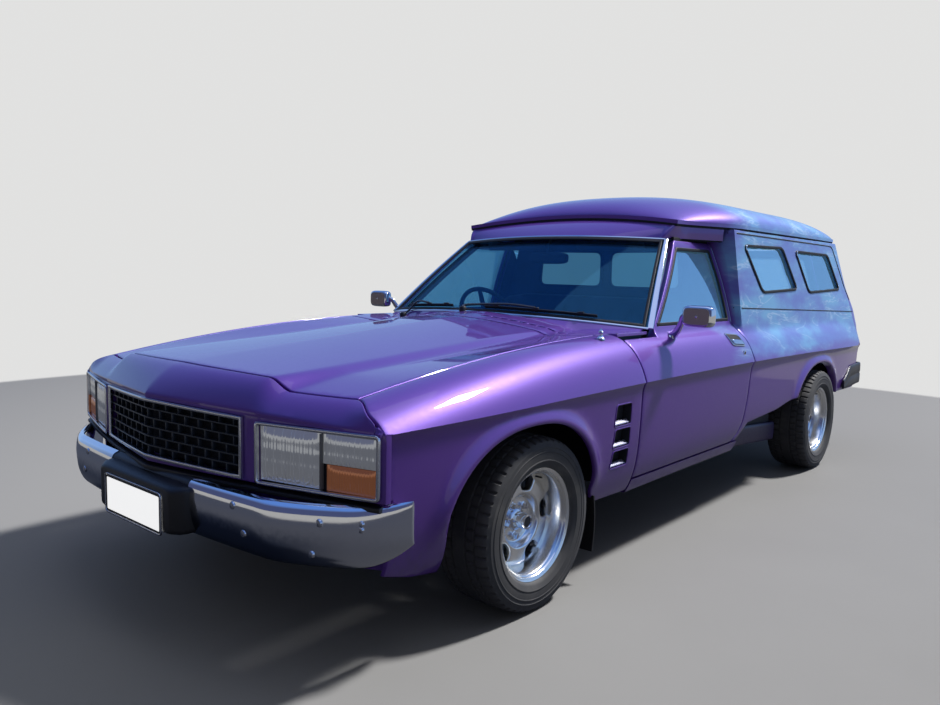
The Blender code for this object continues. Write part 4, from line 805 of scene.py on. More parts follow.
# %% Special finishes
def tinted_glass(name, reflection_tone, tint, share, edge_share=0.6, painted_glow=0.0):
    """A thin pane: a coloured mirror, more so at low angles, mixed with clear glass, with a pale blue painted
    glow of the given strength.
    """
    made, shade = new_tree(name)
    place = shade.node("TexCoord", out=3)
    smear = shade.noise(place, 9.0, 4.0)
    clear = shade.node("BsdfTransparent", Color=(*tint, 1.0))
    color = shade.mix(smear, tinted(reflection_tone, 0.94), tinted(reflection_tone, 1.06))
    gloss = shade.node("BsdfPrincipled", Base_Color=color, Roughness=smear * 0.03 + 0.01, Metallic=1.0,
                       Emission_Color=(0.45, 0.75, 1.0, 1.0), Emission_Strength=painted_glow)
    edge = shade.node("Fresnel", IOR=1.45)
    factor = shade.math("ADD", edge * edge_share + share, smear * 0.03, True)
    return finished(made, shade.node("MixShader", i0=factor, i1=clear, i2=gloss))


def tyre_finish():
    """Rubber with fine bloom in its relief and gloss, and patches of dust."""
    made, shade = new_tree("tyre_black")
    place = shade.node("TexCoord", out=3)
    bloom = shade.noise(place, 30.0, 5.0)
    dust = shade.noise(place, 9.0, 4.0).eased(0.45, 0.8)
    color = shade.mix(dust * 0.5, (0.070, 0.070, 0.072), (0.160, 0.156, 0.150))
    bump = shade.node("Bump", Strength=0.3, Distance=0.0005, Height=bloom)
    return finished(made, shade.node("BsdfPrincipled", Base_Color=color, Roughness=bloom * 0.2 + 0.62,
                                     Normal=bump))


def bumper_finish():
    """Bright chrome. Below the bend it is painted dark navy, most in the middle: a painted reflection of the
    shaded ground, which also roughens it a little.
    """
    made, shade = new_tree("bumper_chrome")
    place = shade.node("TexCoord", out=3)
    x, z = place.split()[::2]
    speck = shade.noise(place, 60.0, 4.0)
    # These two masks paint the dark reflection of the shaded ground onto the chrome below the bend, less
    # towards the tips.
    below = 1.0 - (z + (speck - 0.5) * 0.03).eased(0.395, 0.455)
    reflection_tone = below * (1.0 - shade.math("ABSOLUTE", x).eased(0.60, 0.84) * 0.75)
    color = shade.mix(reflection_tone, (0.96, 0.96, 0.98), (0.20, 0.24, 0.34))
    return finished(made, shade.node("BsdfPrincipled", Base_Color=color, Metallic=1.0,
                                            Roughness=0.05 + speck * 0.05 + reflection_tone * 0.10))


def cloth_finish():
    """Woven seat cloth: two crossed waves make the weave, and broad noise its wear."""
    made, shade = new_tree("seat_cloth")
    place = shade.node("TexCoord", out=3)
    warp = shade.node("TexWave", {"bands_direction": "X"}, 1, Vector=place, Scale=260.0)
    weft = shade.node("TexWave", {"bands_direction": "Z"}, 1, Vector=place, Scale=260.0)
    wear = shade.noise(place, 8.0, 4.0)
    color = shade.mix(wear, (0.030, 0.026, 0.034), (0.060, 0.052, 0.066))
    bump = shade.node("Bump", Strength=0.35, Distance=0.0008, Height=shade.math("MAXIMUM", warp, weft))
    return finished(made, shade.node("BsdfPrincipled", Base_Color=color, Roughness=0.85 + wear * 0.1,
                                     Normal=bump,
                                            Sheen_Weight=0.25))


def lens_finish(name, color, glow=0.0, ribs=0.0):
    """Clear moulded plastic or glass over a reflector: bright, glossy, with fluting in the relief, and a
    faint painted glow of its own colour.
    """
    made, shade = new_tree(name)
    place = shade.node("TexCoord", out=3)
    x, z = place.split()[::2]
    flute = shade.math("SINE", x * 420.0) * 0.5 + shade.math("SINE", z * 150.0) * 0.2
    tone = shade.noise(place, 18.0)
    base = shade.mix(tone, tinted(color, 0.86), tinted(color, 1.1))
    bump = shade.node("Bump", Strength=ribs, Distance=0.002, Height=flute)
    # Emission_Strength 0.16 gives every lens a faint glow of its own colour: painted light, as none of the
    # lamps is lit.
    return finished(made, shade.node("BsdfPrincipled", Base_Color=base, Roughness=tone * 0.08 + 0.06,
                                     Normal=bump,
                                            Metallic=min(1.0, glow), Coat_Weight=1.0, Coat_Roughness=0.02,
                                            Emission_Color=(*color, 1.0), Emission_Strength=0.16))


# %% [markdown]
# All the finishes. A plain one has a colour, a roughness, the size of its grain, how much tone and
# gloss vary, and maybe the strength and depth of its relief.

# %% List of finishes
PAINT = violet_paint()
MIRROR = plain_finish("mirror_silver", (0.70, 0.70, 0.72), 0.03, 20.0, 0.02, 0.015, Metallic=1.0)
GLASS_PANE = tinted_glass("filmed_glass", (0.48, 0.77, 1.0), (0.76, 0.96, 1.0), 0.56, 0.3)
# The panes' inner faces glow pale blue: painted light, so that glass seen from inside the cab looks bright.
GLOWING_PANE_BACK = tinted_glass("glass_inside_painted_glow", (0.60, 0.70, 0.75), (0.96, 0.99, 1.0), 0.12, 0.2, 0.6)
# The partition's panes glow teal: painted light for the bright load space seen through them.
GLOWING_PARTITION_PANE = plain_finish("partition_glass_painted_glow", (0.10, 0.16, 0.20), 0.12, 20.0, 0.08, 0.04,
                         Emission_Color=(0.13, 0.22, 0.28, 1.0),
                         Emission_Strength=0.9)
# A darker copy of the violet: painted shade for the inner sills deep under the body.
SHADED_VIOLET = plain_finish("shaded_violet", (0.022, 0.010, 0.080), 0.35, 60.0, 0.10, 0.08, 0.1)
MIRROR_BACK = plain_finish("mirror_back", (0.40, 0.34, 0.31), 0.36, 60.0, 0.06, 0.06, Metallic=0.2)
# The rear plate is the same white painted at half brightness: painted shade, set against the lamp's full
# light on the tail.
DIMMED_REAR_PLATE = plain_finish("rear_plate_white", (0.50, 0.50, 0.49), 0.35, 90.0, 0.03, 0.06)
SCREEN_PANE = tinted_glass("screen_glass", (0.10, 0.27, 0.44), (0.66, 0.91, 0.96), 0.06, 0.22)
CHROME = plain_finish("bright_chrome", (0.80, 0.80, 0.82), 0.07, 30.0, 0.05, 0.03, Metallic=1.0)
BUMPER = bumper_finish()
SATIN = plain_finish("satin_trim", (0.66, 0.66, 0.69), 0.22, 60.0, 0.06, 0.05, Metallic=1.0)
BLACK = plain_finish("black_moulding", (0.020, 0.020, 0.022), 0.42, 260.0, 0.12, 0.10, 0.15)
VENT_GREY = plain_finish("vent_grey", (0.030, 0.034, 0.044), 0.45, 60.0, 0.10, 0.08)
VENT_LIP = plain_finish("vent_lip", (0.40, 0.40, 0.50), 0.38, 60.0, 0.06, 0.05, Metallic=0.7)
DIVIDER = plain_finish("lamp_divider_grey", (0.15, 0.155, 0.17), 0.30, 60.0, 0.08, 0.06)
GRILLE = plain_finish("grille_navy", (0.020, 0.028, 0.046), 0.34, 220.0, 0.12, 0.08, 0.10)
RUBBER = plain_finish("black_rubber", (0.012, 0.012, 0.013), 0.60, 180.0, 0.15, 0.10, 0.15)
# Near-black: black undercoat in the wheel wells, and painted shade in the roof groove, under the header, in
# recesses and lamp housings, behind the grille, and on the backs of other panels.
UNDERCOAT_AND_SHADE = plain_finish("black_undercoat_and_painted_shade", (0.006, 0.006, 0.008), 0.80, 60.0, 0.15, 0.08)
TRIM = plain_finish("cab_vinyl", (0.036, 0.031, 0.040), 0.52, 320.0, 0.10, 0.10, 0.35, 0.0008)
TYRE = tyre_finish()
ALLOY = plain_finish("polished_alloy", (0.97, 0.94, 0.88), 0.22, 45.0, 0.05, 0.06, Metallic=1.0)
IRON = plain_finish("chassis_paint", (0.022, 0.022, 0.024), 0.55, 90.0, 0.25, 0.15, 0.3, 0.001)
CASTING = plain_finish("engine_paint", (0.10, 0.10, 0.11), 0.55, 60.0, 0.20, 0.15, 0.4, 0.002)
STEEL = plain_finish("exhaust_steel", (0.34, 0.30, 0.27), 0.42, 50.0, 0.22, 0.15, 0.2, Metallic=0.9)
CLOTH = cloth_finish()
HEAD_LENS = lens_finish("head_lamp_glass", (0.50, 0.52, 0.56), 2.0, 0.6)
AMBER = lens_finish("amber_lens", (0.48, 0.17, 0.07), 0.6, 0.3)
RED = lens_finish("red_lens", (0.50, 0.012, 0.010), 0.10, 0.3)
# The plate white glows: painted light, so that the front plate in the shade still reads white. The dial marks
# take it too.
GLOWING_PLATE_WHITE = plain_finish("plate_white_painted_glow", (0.92, 0.92, 0.90), 0.35, 90.0, 0.03, 0.06,
                     Emission_Color=(1.0, 1.0, 1.0),
                     Emission_Strength=0.78)
print(len(bpy.data.materials), "materials")

# %% [markdown]
# The painted sheets. Each outline is a list of (station, height) pairs, or of (station, distance over the
# shoulder) for the guards and (station, width) for the bonnet, nose and cowl.

# %% Guards
def curve_line(height, low, high):
    """Points every 3 cm of a line whose height depends on the station."""
    return [(float(y), float(height(y))) for y in np.arange(low, high, 0.03)]


def side_skin(section, side, offset=0.0):
    """The place on one side's section for a station and a height, moved outwards by offset."""
    def skin(y, z):
        return np.stack([side * (section(y, z) + offset), y, z], -1)
    return skin


def along(*vector):
    """The same inward vector for every point."""
    def inward(u, v):
        return np.tile(np.array(vector, float), (len(u), 1))
    return inward


def rounded(corners, radius, count=5):
    """A loop with each corner replaced by a quadratic curve."""
    found = []
    corners = np.asarray(corners, float)
    for before, here, after in zip(np.roll(corners, 1, axis=0), corners, np.roll(corners, -1, axis=0)):
        a = here + unit(before - here) * radius
        b = here + unit(after - here) * radius
        for t in np.linspace(0, 1, count):
            found.append((1 - t) ** 2 * a + 2 * t * (1 - t) * here + t * t * b)
    return np.array(found)


GUARD_TOP = 0.25
GUARD_WALL = 0.014
VENTS = [(0.438, 0.562, 0.588, 0.672), (0.436, 0.562, 0.503, 0.577), (0.432, 0.560, 0.424, 0.492)]


def guard_skin(side, offset=0.0):
    """A guard's flat coordinates: station, and s, the drop under the crease or the way over the shoulder."""
    def skin(y, s):
        low_z = crease_z(y) + np.minimum(s, 0.0)
        top_x, top_z = shoulder(y, np.clip(s / GUARD_TOP, 0.0, 1.0))
        over = s > 0.0
        x = np.where(over, top_x, lower_x(y, low_z)) + offset
        return np.stack([side * x, y, np.where(over, top_z, low_z)], -1)
    return skin


def drop(y, z):
    """A place on the side as (station, height above the crease)."""
    return (y, z - float(crease_z(y)))


ARCH_LINES = (0.010, 0.021, 0.033, 0.047, 0.063)


def around_arch(front, gap):
    """A line a set gap outside a wheel arch, for the mesh to follow."""
    arch = arch_curve(front, 45, 0.440, 0.440)
    return arch + unit(arch - (ARCH_CENTRE[front], ARCH_FOOT)) * gap


REAR_SHUT = [(1.782, 0.950), (1.782, 0.900), (1.776, 0.764), (1.768, 0.690), (1.752, 0.560), (1.727, 0.440),
             (1.694, 0.385), (1.645, DOOR_SILL)]
SIDE_WINDOWS = {
    "front": [(1.923, GUTTER_HEIGHT - 0.085), (2.490, GUTTER_HEIGHT - 0.077), (2.689, 1.102),
              (2.134, 1.086)],
    "rear": [(2.705, GUTTER_HEIGHT - 0.089), (3.335, GUTTER_HEIGHT - 0.092), (3.556, 1.100),
             (2.900, 1.082)],
}
DOOR_HOLE = [(screen_edge(0.946) + 0.040, 0.946), (DOOR_REAR - 0.034, 0.946),
             (DOOR_REAR - 0.044, DOOR_FRAME_TOP - 0.034),
             (screen_edge(DOOR_FRAME_TOP - 0.034) + 0.042, DOOR_FRAME_TOP - 0.034)]


def build_guards():
    """Both front guards. Their inward way turns from sideways to downwards over the shoulder."""
    rear = DOOR_FRONT - SHUT_GAP / 2
    front, lamp_end = GUARD_FRONT + 0.002, GUARD_FRONT + 0.025
    outline = [(rear, GUARD_TOP)]
    for half in np.linspace(BONNET_EDGE, 0.875, 14):
        y = float(guard_front(half)) + SHUT_GAP / 2
        outline.append((y, float(shoulder_share(y, half)) * GUARD_TOP))
    outline += [drop(front, 0.724), drop(lamp_end, 0.720), drop(lamp_end, 0.534)]
    outline += [drop(-0.680, 0.530), drop(-0.676, 0.300), drop(-0.560, 0.264), drop(-0.437, 0.242)]
    outline += [drop(y, z) for y, z in arch_curve(True, 41, 0.430, 0.350)]
    outline += [drop(0.372, 0.300), drop(rear, 0.294)]
    holes = []
    for y0, y1, z0, z1 in VENTS:
        corners = [drop(y0, z0), drop(y1, z0), drop(y1, z1), drop(y0 + 0.012, z1)]
        holes.append(rounded(corners, 0.012, 4))
    rows = np.concatenate([np.arange(-0.50, -0.06, 0.020), [-0.045, -0.03, -0.02, -0.012, -0.006],
                           np.arange(0.01, 0.25, 0.012)])
    lines = [[drop(y, z) for y, z in around_arch(True, gap)] for gap in ARCH_LINES]
    for side, name in SIDES:
        def inward(y, s):
            turn = 0.5 * pi * np.clip(s / GUARD_TOP, 0.0, 1.0)
            return GUARD_WALL * np.stack([-side * np.cos(turn), 0 * y, -np.sin(turn)], -1)

        mesh = sheet_panel(outline, guard_skin(side), inward, rows, holes, [0.0], lines, spacing=0.026)
        new_piece("front_guard_" + name, mesh, "body", PAINT, ["guard_" + name],
                  inner=UNDERCOAT_AND_SHADE)


build_guards()
tell("guards")

# %% [markdown]
# A door shell is one sheet with the window's opening. It's thick below the belt.

# %% Doors
def build_doors():
    """Both door shells, thick below the belt and thin round the window."""
    gap, top = SHUT_GAP / 2, DOOR_FRAME_TOP
    shoulder_top = BELT_HEIGHT - 0.005
    outline = [(DOOR_FRONT + gap, DOOR_SILL)] + [(y - gap, z) for y, z in REAR_SHUT][::-1]
    outline += [(DOOR_REAR - gap, top), (screen_edge(top) + 0.014, top),
                (screen_edge(0.960) + 0.014, 0.960)]
    outline += [(SCREEN_FOOT + 0.022, 0.934), (SCREEN_FOOT + 0.004, shoulder_top),
                (DOOR_FRONT + gap, shoulder_top)]
    rows = np.concatenate([np.arange(0.36, 0.70, 0.020), np.arange(0.70, 0.96, 0.008),
                           np.arange(0.97, 1.33, 0.025)])
    lines = [curve_line(crease_z, 0.60, 1.83)]
    for side, name in SIDES:
        def inward(y, z):
            wall = 0.060 - 0.030 * smooth((z - 0.90) / 0.03)
            return np.stack([-side * wall, 0 * y, 0 * y], -1)

        mesh = sheet_panel(outline, side_skin(door_x, side), inward, rows, [DOOR_HOLE], lines=lines,
                           spacing=0.028, draft=0.010)
        new_piece("door_shell_" + name, mesh, "door_" + name, PAINT, ["door_" + name],
                  inner=TRIM)


build_doors()
tell("doors")

# %% [markdown]
# A rear side runs in one sheet from the door to the tail. Lines of the mesh follow each bend.

# %% Rear sides
def build_quarters():
    """Both rear sides, each in one sheet from the door to the tail."""
    gap, top = SHUT_GAP / 2, GUTTER_HEIGHT - 0.010
    outline = [(y + gap, z) for y, z in REAR_SHUT] + [(1.700, DOOR_SILL), (1.800, QUARTER_EDGE),
                                                      (2.200, 0.446)]
    outline += arch_curve(False, 37, 0.470, 0.420).tolist()
    heights = np.linspace(0.415, top, 26)
    edge = [(float(tail_y(TAIL_EDGE_X, z)) - 0.004, z) for z in heights]
    outline += edge + [(DOOR_REAR + gap, top)]
    lines = [[(y - back, z + 0.004 * (z < 0.42) - 0.004 * (z > 1.40)) for y, z in edge] for back in
             (0.018, 0.036, 0.056, 0.078)]
    lines += [curve_line(crease_z, 1.79, 3.80)]
    for share in (0.25, 0.5, 0.75, 1.0):
        y = DOOR_REAR + share * PILLAR_STEP
        lines.append([(y, z) for z in np.arange(crease_z(y) + 0.012, top, 0.02)])
    lines += [around_arch(False, gap) for gap in ARCH_LINES[:4]]
    holes = [rounded(corners, 0.045) for corners in SIDE_WINDOWS.values()]
    rows = np.concatenate([np.arange(0.43, 0.70, 0.020), np.arange(0.70, 0.96, 0.009),
                           np.arange(0.97, 1.41, 0.022)])
    for side, name in SIDES:
        mesh = sheet_panel(outline, side_skin(side_x, side), along(-side * 0.040, 0, 0), rows, holes,
                           lines=lines, spacing=0.028)
        new_piece("rear_side_" + name, mesh, "body", PAINT, ["quarter_" + name],
                  inner=UNDERCOAT_AND_SHADE)


build_quarters()
tell("rear sides")

# %% [markdown]
# The bonnet, the nose and the cowl are bent from plan view: station and width in, height out.

# %% Bonnet, nose and cowl
def plan_skin(height):
    """The place for a station and a width, at the given height formula."""
    def skin(y, x):
        return np.stack([x, y, height(x, y)], -1)
    return skin


def build_bonnet():
    """The bonnet's skin, with lines of the mesh along its two steps."""
    edge = BONNET_EDGE - SHUT_GAP
    half = [(x, float(bonnet_front(x)) + SHUT_GAP) for x in np.linspace(0.06, edge, 14)]
    half += [(edge, y) for y in (-0.40, -0.05, 0.30)] + [(edge, BONNET_REAR - 0.004),
                                                         (0.43, BONNET_REAR - 0.004)]
    loop = half + [(-x, y) for x, y in half[::-1]]
    rows = np.concatenate([np.arange(-0.72, 0.73, 0.02),
                           [-0.45, -0.47, -0.49, -0.51, 0.45, 0.47, 0.49, 0.51]])
    mesh = sheet_panel([(y, x) for x, y in loop], plan_skin(bonnet_z), along(0, 0, -0.022), np.unique(rows),
                       creases=[-0.52, -0.43, 0.0, 0.43, 0.52], spacing=0.035, draft=0.003)
    new_piece("bonnet_skin", mesh, "bonnet", PAINT, ["bonnet"], sharp=24)


def build_nose():
    """The rounded panel between the bonnet's front edge and the grille."""
    gap = SHUT_GAP / 2
    front = [(x, float(nose_front(x))) for x in np.linspace(-0.888, 0.888, 41)]
    back = [(x, float(guard_front(x)) - gap) for x in np.linspace(0.892, BONNET_EDGE, 15)]
    back += [(x, float(bonnet_front(x)) - gap) for x in np.linspace(0.735, 0.05, 14)]
    loop = front + back + [(-x, y) for x, y in back[::-1]]
    mesh = sheet_panel([(y, x) for x, y in loop], plan_skin(nose_z), along(0, 0.001, -0.014),
                       np.arange(-0.88, 0.89, 0.02), creases=[0.0], spacing=0.012)
    new_piece("nose_top", mesh, "body", PAINT, ["nose_panel"], sharp=12)


def build_cowl():
    """The slotted panel in front of the windscreen."""
    side_y = DOOR_FRONT + 0.004
    half = [(0.0, BONNET_REAR + 0.004), (0.43, BONNET_REAR + 0.004),
            (BONNET_EDGE - 0.002, BONNET_REAR + 0.004),
            (BONNET_EDGE - 0.002, side_y), (0.795, side_y), (0.795, SCREEN_FOOT - 0.030)]
    foot = screen_point(np.linspace(0.93, 0.0, 12), 0.0 * np.arange(12))
    feet = [(float(p[0]), float(p[1]) - 0.016) for p in foot]
    half += feet
    loop = half[:-1] + [feet[-1]] + [(-x, y) for x, y in half[1:-1][::-1]]
    slots = []
    for k in range(-11, 12):
        x = k * 0.052
        if abs(k) > 1:
            slots.append([(0.640, x - 0.019), (0.654, x - 0.019), (0.654, x + 0.019), (0.640, x + 0.019)])
    mesh = sheet_panel([(y, x) for x, y in loop], plan_skin(bonnet_z), along(0, 0, -0.012),
                       np.arange(-0.78, 0.79, 0.03), holes=slots, spacing=0.03, hem=0.002)
    new_piece("cowl_panel", mesh, "body", PAINT, ["cowl"])


build_bonnet()
build_nose()
build_cowl()
tell("painted front")


# %% [markdown]
# Some shapes are lofts. A shell is a closed solid between two grids of points, a loft is a skin through a
# row of rings, and a spline is a smooth curve through a few control points.

# %% Lofts
def shell(outer, inner):
    """A closed solid between two equal grids of points, joined round their rims."""
    m, n = outer.shape[:2]
    index = np.arange(m * n).reshape(m, n)
    rim = np.concatenate([index[0, :-1], index[:-1, -1], index[-1, :0:-1], index[:0:-1, 0]])
    around = np.stack([rim, np.roll(rim, -1), np.roll(rim, -1) + m * n, rim + m * n], -1)
    quads = grid_faces(m, n)
    points = np.concatenate([outer.reshape(-1, 3), inner.reshape(-1, 3)])
    return points, [quads, quads[:, ::-1] + m * n, around]


def loft(rings):
    """A skin through rings of equal size, closed at both ends."""
    rings = np.asarray(rings, float)
    m, n = rings.shape[:2]
    ends = [np.arange(n)[::-1][None], (np.arange(n) + (m - 1) * n)[None]]
    return rings.reshape(-1, 3), [grid_faces(m, n, False, True)] + ends


def spline(points, count):
    """A curve through control points: each piece is the cubic set by its two ends and their neighbours."""
    p = np.asarray(points, float)
    p = np.concatenate([2 * p[:1] - p[1:2], p, 2 * p[-1:] - p[-2:-1]])
    t = np.linspace(0, len(p) - 3 - 1e-9, count)
    k = t.astype(int)
    f = (t - k).reshape((-1,) + (1,) * (p.ndim - 1))
    a, b, c, d = p[k], p[k + 1], p[k + 2], p[k + 3]
    square, cube = 2 * a - 5 * b + 4 * c - d, 3 * b - a - 3 * c + d
    return 0.5 * (2 * b + (c - a) * f + square * f ** 2 + cube * f ** 3)


# %% [markdown]
# The roof is a moulded cap on a flange. Its crown rises quickly behind the windscreen, stays nearly level
# and ends bluntly at the tail: a product of two powers along the van and one across it.

# %% Roof
def ledge_point(u):
    """The roof's front ledge: bowed forwards and upwards by a square of the share across."""
    return np.stack([0.655 * u, ROOF_FRONT + 0.065 * (1 - u * u), GUTTER_HEIGHT + 0.046 * (1 - u * u)], -1)


def roof_rise(y):
    """The crown's height: one less a power ahead of the summit, times one less a power behind it."""
    front, back, summit = ROOF_FRONT, ROOF_BACK, ROOF_SUMMIT
    ahead = np.clip((summit - y) / (summit - front), 0, 1)
    behind = np.clip((y - summit) / (back - summit), 0, 1)
    rise, fall = (1 - ahead ** 2.6) ** (1 / 1.7), (1 - behind ** 5.0) ** (1 / 2.2)
    return ROOF_RISE * rise * fall * (1.0 - 0.10 * behind)


def roof_point(u, t):
    """u runs from -1 to 1 across the roof and t from 0 at the front flange to 1 at the rear one."""
    bow = 0.065 * (1 - u * u)
    front, back = ROOF_FRONT + bow, ROOF_BACK - 0.020 + 0.6 * bow
    section = (1 - np.abs(u) ** 2.5) ** (1 / 2.2)
    ledge = 0.046 * (1 - u * u) * (1 - smooth(t / 0.5)) + 0.02 * (1 - u * u) * smooth((t - 0.5) / 0.5)
    lip = GUTTER_HEIGHT + 0.006 + ledge
    z = lip + roof_rise(ROOF_FRONT + (ROOF_BACK - ROOF_FRONT) * t) * section * 0.93
    near = np.clip(1 - (ROOF_BACK - ROOF_FRONT) * (1 - t) / 0.11, 0.0, 1.0)
    plan = roof_plan(ROOF_FRONT + (ROOF_BACK - 0.020 - ROOF_FRONT) * t)
    width = plan - 0.045 * (1 - np.sqrt(1 - near ** 2))
    return np.stack([width * u, front + (back - front) * t, z], -1), lip


def build_roof():
    """The cap, its flange and the near-black groove under it, which is painted shade."""
    u = np.sin(np.linspace(-pi / 2, pi / 2, 73))
    t = 0.5 - 0.5 * np.cos(np.linspace(0, pi, 91))
    uu, tt = np.meshgrid(u, t, indexing="ij")
    outer, lip = roof_point(uu, tt)
    inner = outer * (1 - 0.024 / ROOF_HALF_WIDTH, 1, 1)
    inner[..., 1] = ROOF_SUMMIT + (outer[..., 1] - ROOF_SUMMIT) * (1 - 0.024 / 1.1)
    inner[..., 2] = lip - 0.006 + np.maximum(0.0, outer[..., 2] - lip - 0.018)
    side = roof_point(np.full(80, 1.0), np.linspace(1.0, 0.012, 80))[0]
    nose = roof_point(np.sin(np.linspace(pi / 2, -pi / 2, 70)), np.zeros(70))[0]
    path = np.concatenate([side, nose, side[::-1] * (-1, 1, 1)])
    flange = swept(path + (0, 0, 0.002),
                   [(-0.004, -0.009), (0.004, -0.009), (0.005, -0.007), (0.005, 0.006),
                                          (0.002, 0.010), (-0.004, 0.010)])
    tail = roof_point(np.sin(np.linspace(pi / 2, -pi / 2, 50)), np.ones(50))[0]
    rear = swept(tail + (0, 0.002, 0.0), pillow(0.008, 0.018, 6.0))
    new_piece("roof_shell", join([shell(outer, inner), flange, rear]), "body", PAINT,
              ["roof_cap"], sharp=40)
    # The groove is near-black: painted shade under the cap's flange.
    groove = swept(path * (0.993, 1, 1) + (0, 0, -0.012), pillow(0.010, 0.012, 6.0))
    new_piece("roof_groove", groove, "body", UNDERCOAT_AND_SHADE)


build_roof()
tell("roof")

# %% [markdown]
# A painted band joins the roof's ledge to the doors and the windscreen. It's built from upright columns,
# each with a foot, a head and a way inwards, and a smooth curve fills in the columns between them.

# %% Header
def build_header():
    """The painted band, a quadratic curve in each column, and near-black strips behind it, painted shade
    along the windscreen's pillars and under the band.
    """
    columns = []
    for y in (1.776, 1.70, 1.62, 1.54, 1.48):
        reach = float(roof_plan(y))
        foot = (reach - 0.010, y, DOOR_FRAME_TOP + 0.014)
        head = (reach - 0.006, y, GUTTER_HEIGHT - 0.009)
        columns.append((foot, head, (-0.035, 0.0, 0.0)))
    for u in (0.985, 0.93, 0.85, 0.70, 0.5, 0.25, 0.0):
        foot = screen_point(np.array(u), 1.0) + (0.0, 0.004, 0.008)
        head = ledge_point(np.array(u)) - (0.0, 0.0, 0.009)
        columns.append((foot, head, (-0.030 * (u > 0.95), 0.032, -0.008)))
    columns = np.array([np.stack([np.asarray(p, float) for p in column]) for column in columns])
    columns = np.concatenate([columns, columns[-2::-1] * (-1, 1, 1)])
    columns = spline(columns, 180)
    foot, head, way = columns[:, 0], columns[:, 1], columns[:, 2]
    middle = (foot + head) / 2 + (head - foot)[:, 2:] * (0.0, -0.10, 0.06)
    s = np.linspace(0, 1, 9)[None, :, None]
    below, centre, above = foot[:, None], middle[:, None], head[:, None]
    outer = below * 2 * (s - 0.5) * (s - 1) - centre * 4 * s * (s - 1) + above * 2 * s * (s - 0.5)
    new_piece("header_band", shell(outer, outer + way[:, None]), "body", PAINT,
              ["cab_header"], sharp=40)
    # The strips below are near-black: painted shade along the windscreen's pillars and under the band's
    # overhang.
    pillars = []
    for side in (1, -1):
        v = np.linspace(0.05, 1.06, 24)
        path = screen_point(np.full(24, 0.975), v) * (side, 1, 1) + (-0.012 * side, 0.028, -0.028)
        pillars.append(swept(path, pillow(0.030, 0.030, 5.0), up=(0, -0.7, 0.7)))
        y = np.linspace(1.775, 1.40, 24)
        recess = np.stack([side * (roof_plan(y) - 0.028), y, 0 * y + DOOR_FRAME_TOP + 0.011], -1)
        pillars.append(swept(recess, pillow(0.030, 0.006, 6.0)))
        wall = [(side * (DOOR_FRAME_HEAD_X - 0.022), y,
                 DOOR_FRAME_TOP + 0.004) for y in np.linspace(1.775, 1.40, 12)]
        pillars.append(swept(wall, pillow(0.012, 0.030, 6.0)))
    new_piece("screen_pillars", join(pillars), "body", UNDERCOAT_AND_SHADE)


build_header()
tell("header")

# %% [markdown]
# The windscreen's pane, mouldings and seals all follow one formula, with a share across and a share up.

# %% Windscreen
def build_windscreen():
    """The pane, the painted fillet at its foot, the bright moulding and the seal."""
    uu, vv = np.meshgrid(np.linspace(-0.985, 0.985, 61), np.linspace(0.015, 0.985, 21), indexing="ij")
    outer = screen_point(uu, vv)
    way = np.array([0.0, 0.68, -0.73]) * 0.010
    new_piece("windscreen_pane", shell(outer + way, outer + way * 1.6), "body", SCREEN_PANE,
              ["windscreen"])
    u = np.linspace(-0.965, 0.965, 61)
    top = screen_point(u, 0 * u) + (0.0, -0.010, -0.002)
    foot = top - (0.0, 0.052, 0.0)
    foot[:, 2] = bonnet_z(foot[:, 0], foot[:, 1]) - 0.003
    t = np.linspace(0, 1, 7)[None, :, None]
    sag = (top + foot) / 2 - (0, 0.006, 0.008)
    fillet = top[:, None] * (1 - t) ** 2 + foot[:, None] * t ** 2 + 2 * t * (1 - t) * sag[:, None]
    new_piece("screen_foot_fillet", shell(fillet, fillet - (0.0, -0.002, 0.006)), "body",
              PAINT)
    lift = np.array([0.0, -0.0035, 0.0035])
    u = np.linspace(-1.0, 1.0, 61)
    bright, seal = [], []
    for side in (1, -1):
        v = np.linspace(0.0, 1.0, 40)
        edge = screen_point(np.full(40, 1.002 * side), v) + lift
        bright.append(swept(edge, pillow(0.027, 0.009, 3.0), up=(0.35 * side, -0.66, 0.66),
                            scale=1.02 - 0.38 * v ** 2))
        inner = screen_point(np.full(40, 0.965 * side), v * 0.98 + 0.01) + lift * 0.6
        seal.append(swept(inner, pillow(0.014, 0.008, 4.0), up=(0.0, -0.7, 0.7)))
    top = screen_point(u * 0.992, np.full(61, 1.0)) + lift
    bright.append(swept(top, pillow(0.011, 0.008, 3.0), up=(0, -0.7, 0.7)))
    seal.append(swept(screen_point(u * 0.97, np.full(61, 0.972)) + lift * 0.6, pillow(0.016, 0.007, 4.0),
                      up=(0, -0.7, 0.7)))
    foot = screen_point(u * 0.992, np.full(61, 0.0)) + (0, -0.004, 0.002)
    bright.append(swept(foot, pillow(0.013, 0.009, 3.0), up=(0, -0.7, 0.7)))
    seal.append(swept(screen_point(u * 0.97, np.full(61, 0.024)) + lift * 0.6, pillow(0.014, 0.007, 4.0),
                      up=(0, -0.7, 0.7)))
    new_piece("screen_moulding", join(bright), "body", CHROME)
    new_piece("screen_seal", join(seal), "body", RUBBER)


build_windscreen()
tell("windscreen")

# %% [markdown]
# Window glass sits a little behind the skin, in black rubber that follows the rounded openings. Mouldings
# and gutter lines are thin strips that hug the side, so their paths come from the same section formulas.

# %% Side glass and side trim
def on_side(section, side, loop, offset=0.0):
    """The places on a side for a flat line of (station, height) pairs."""
    loop = np.asarray(loop, float)
    return side_skin(section, side, offset)(loop[:, 0], loop[:, 1])


def shrunk(loop, amount):
    """The loop moved inwards by amount, along its corners' mitres."""
    loop = np.asarray(loop, float)
    return loop - loop_normals(loop) * amount


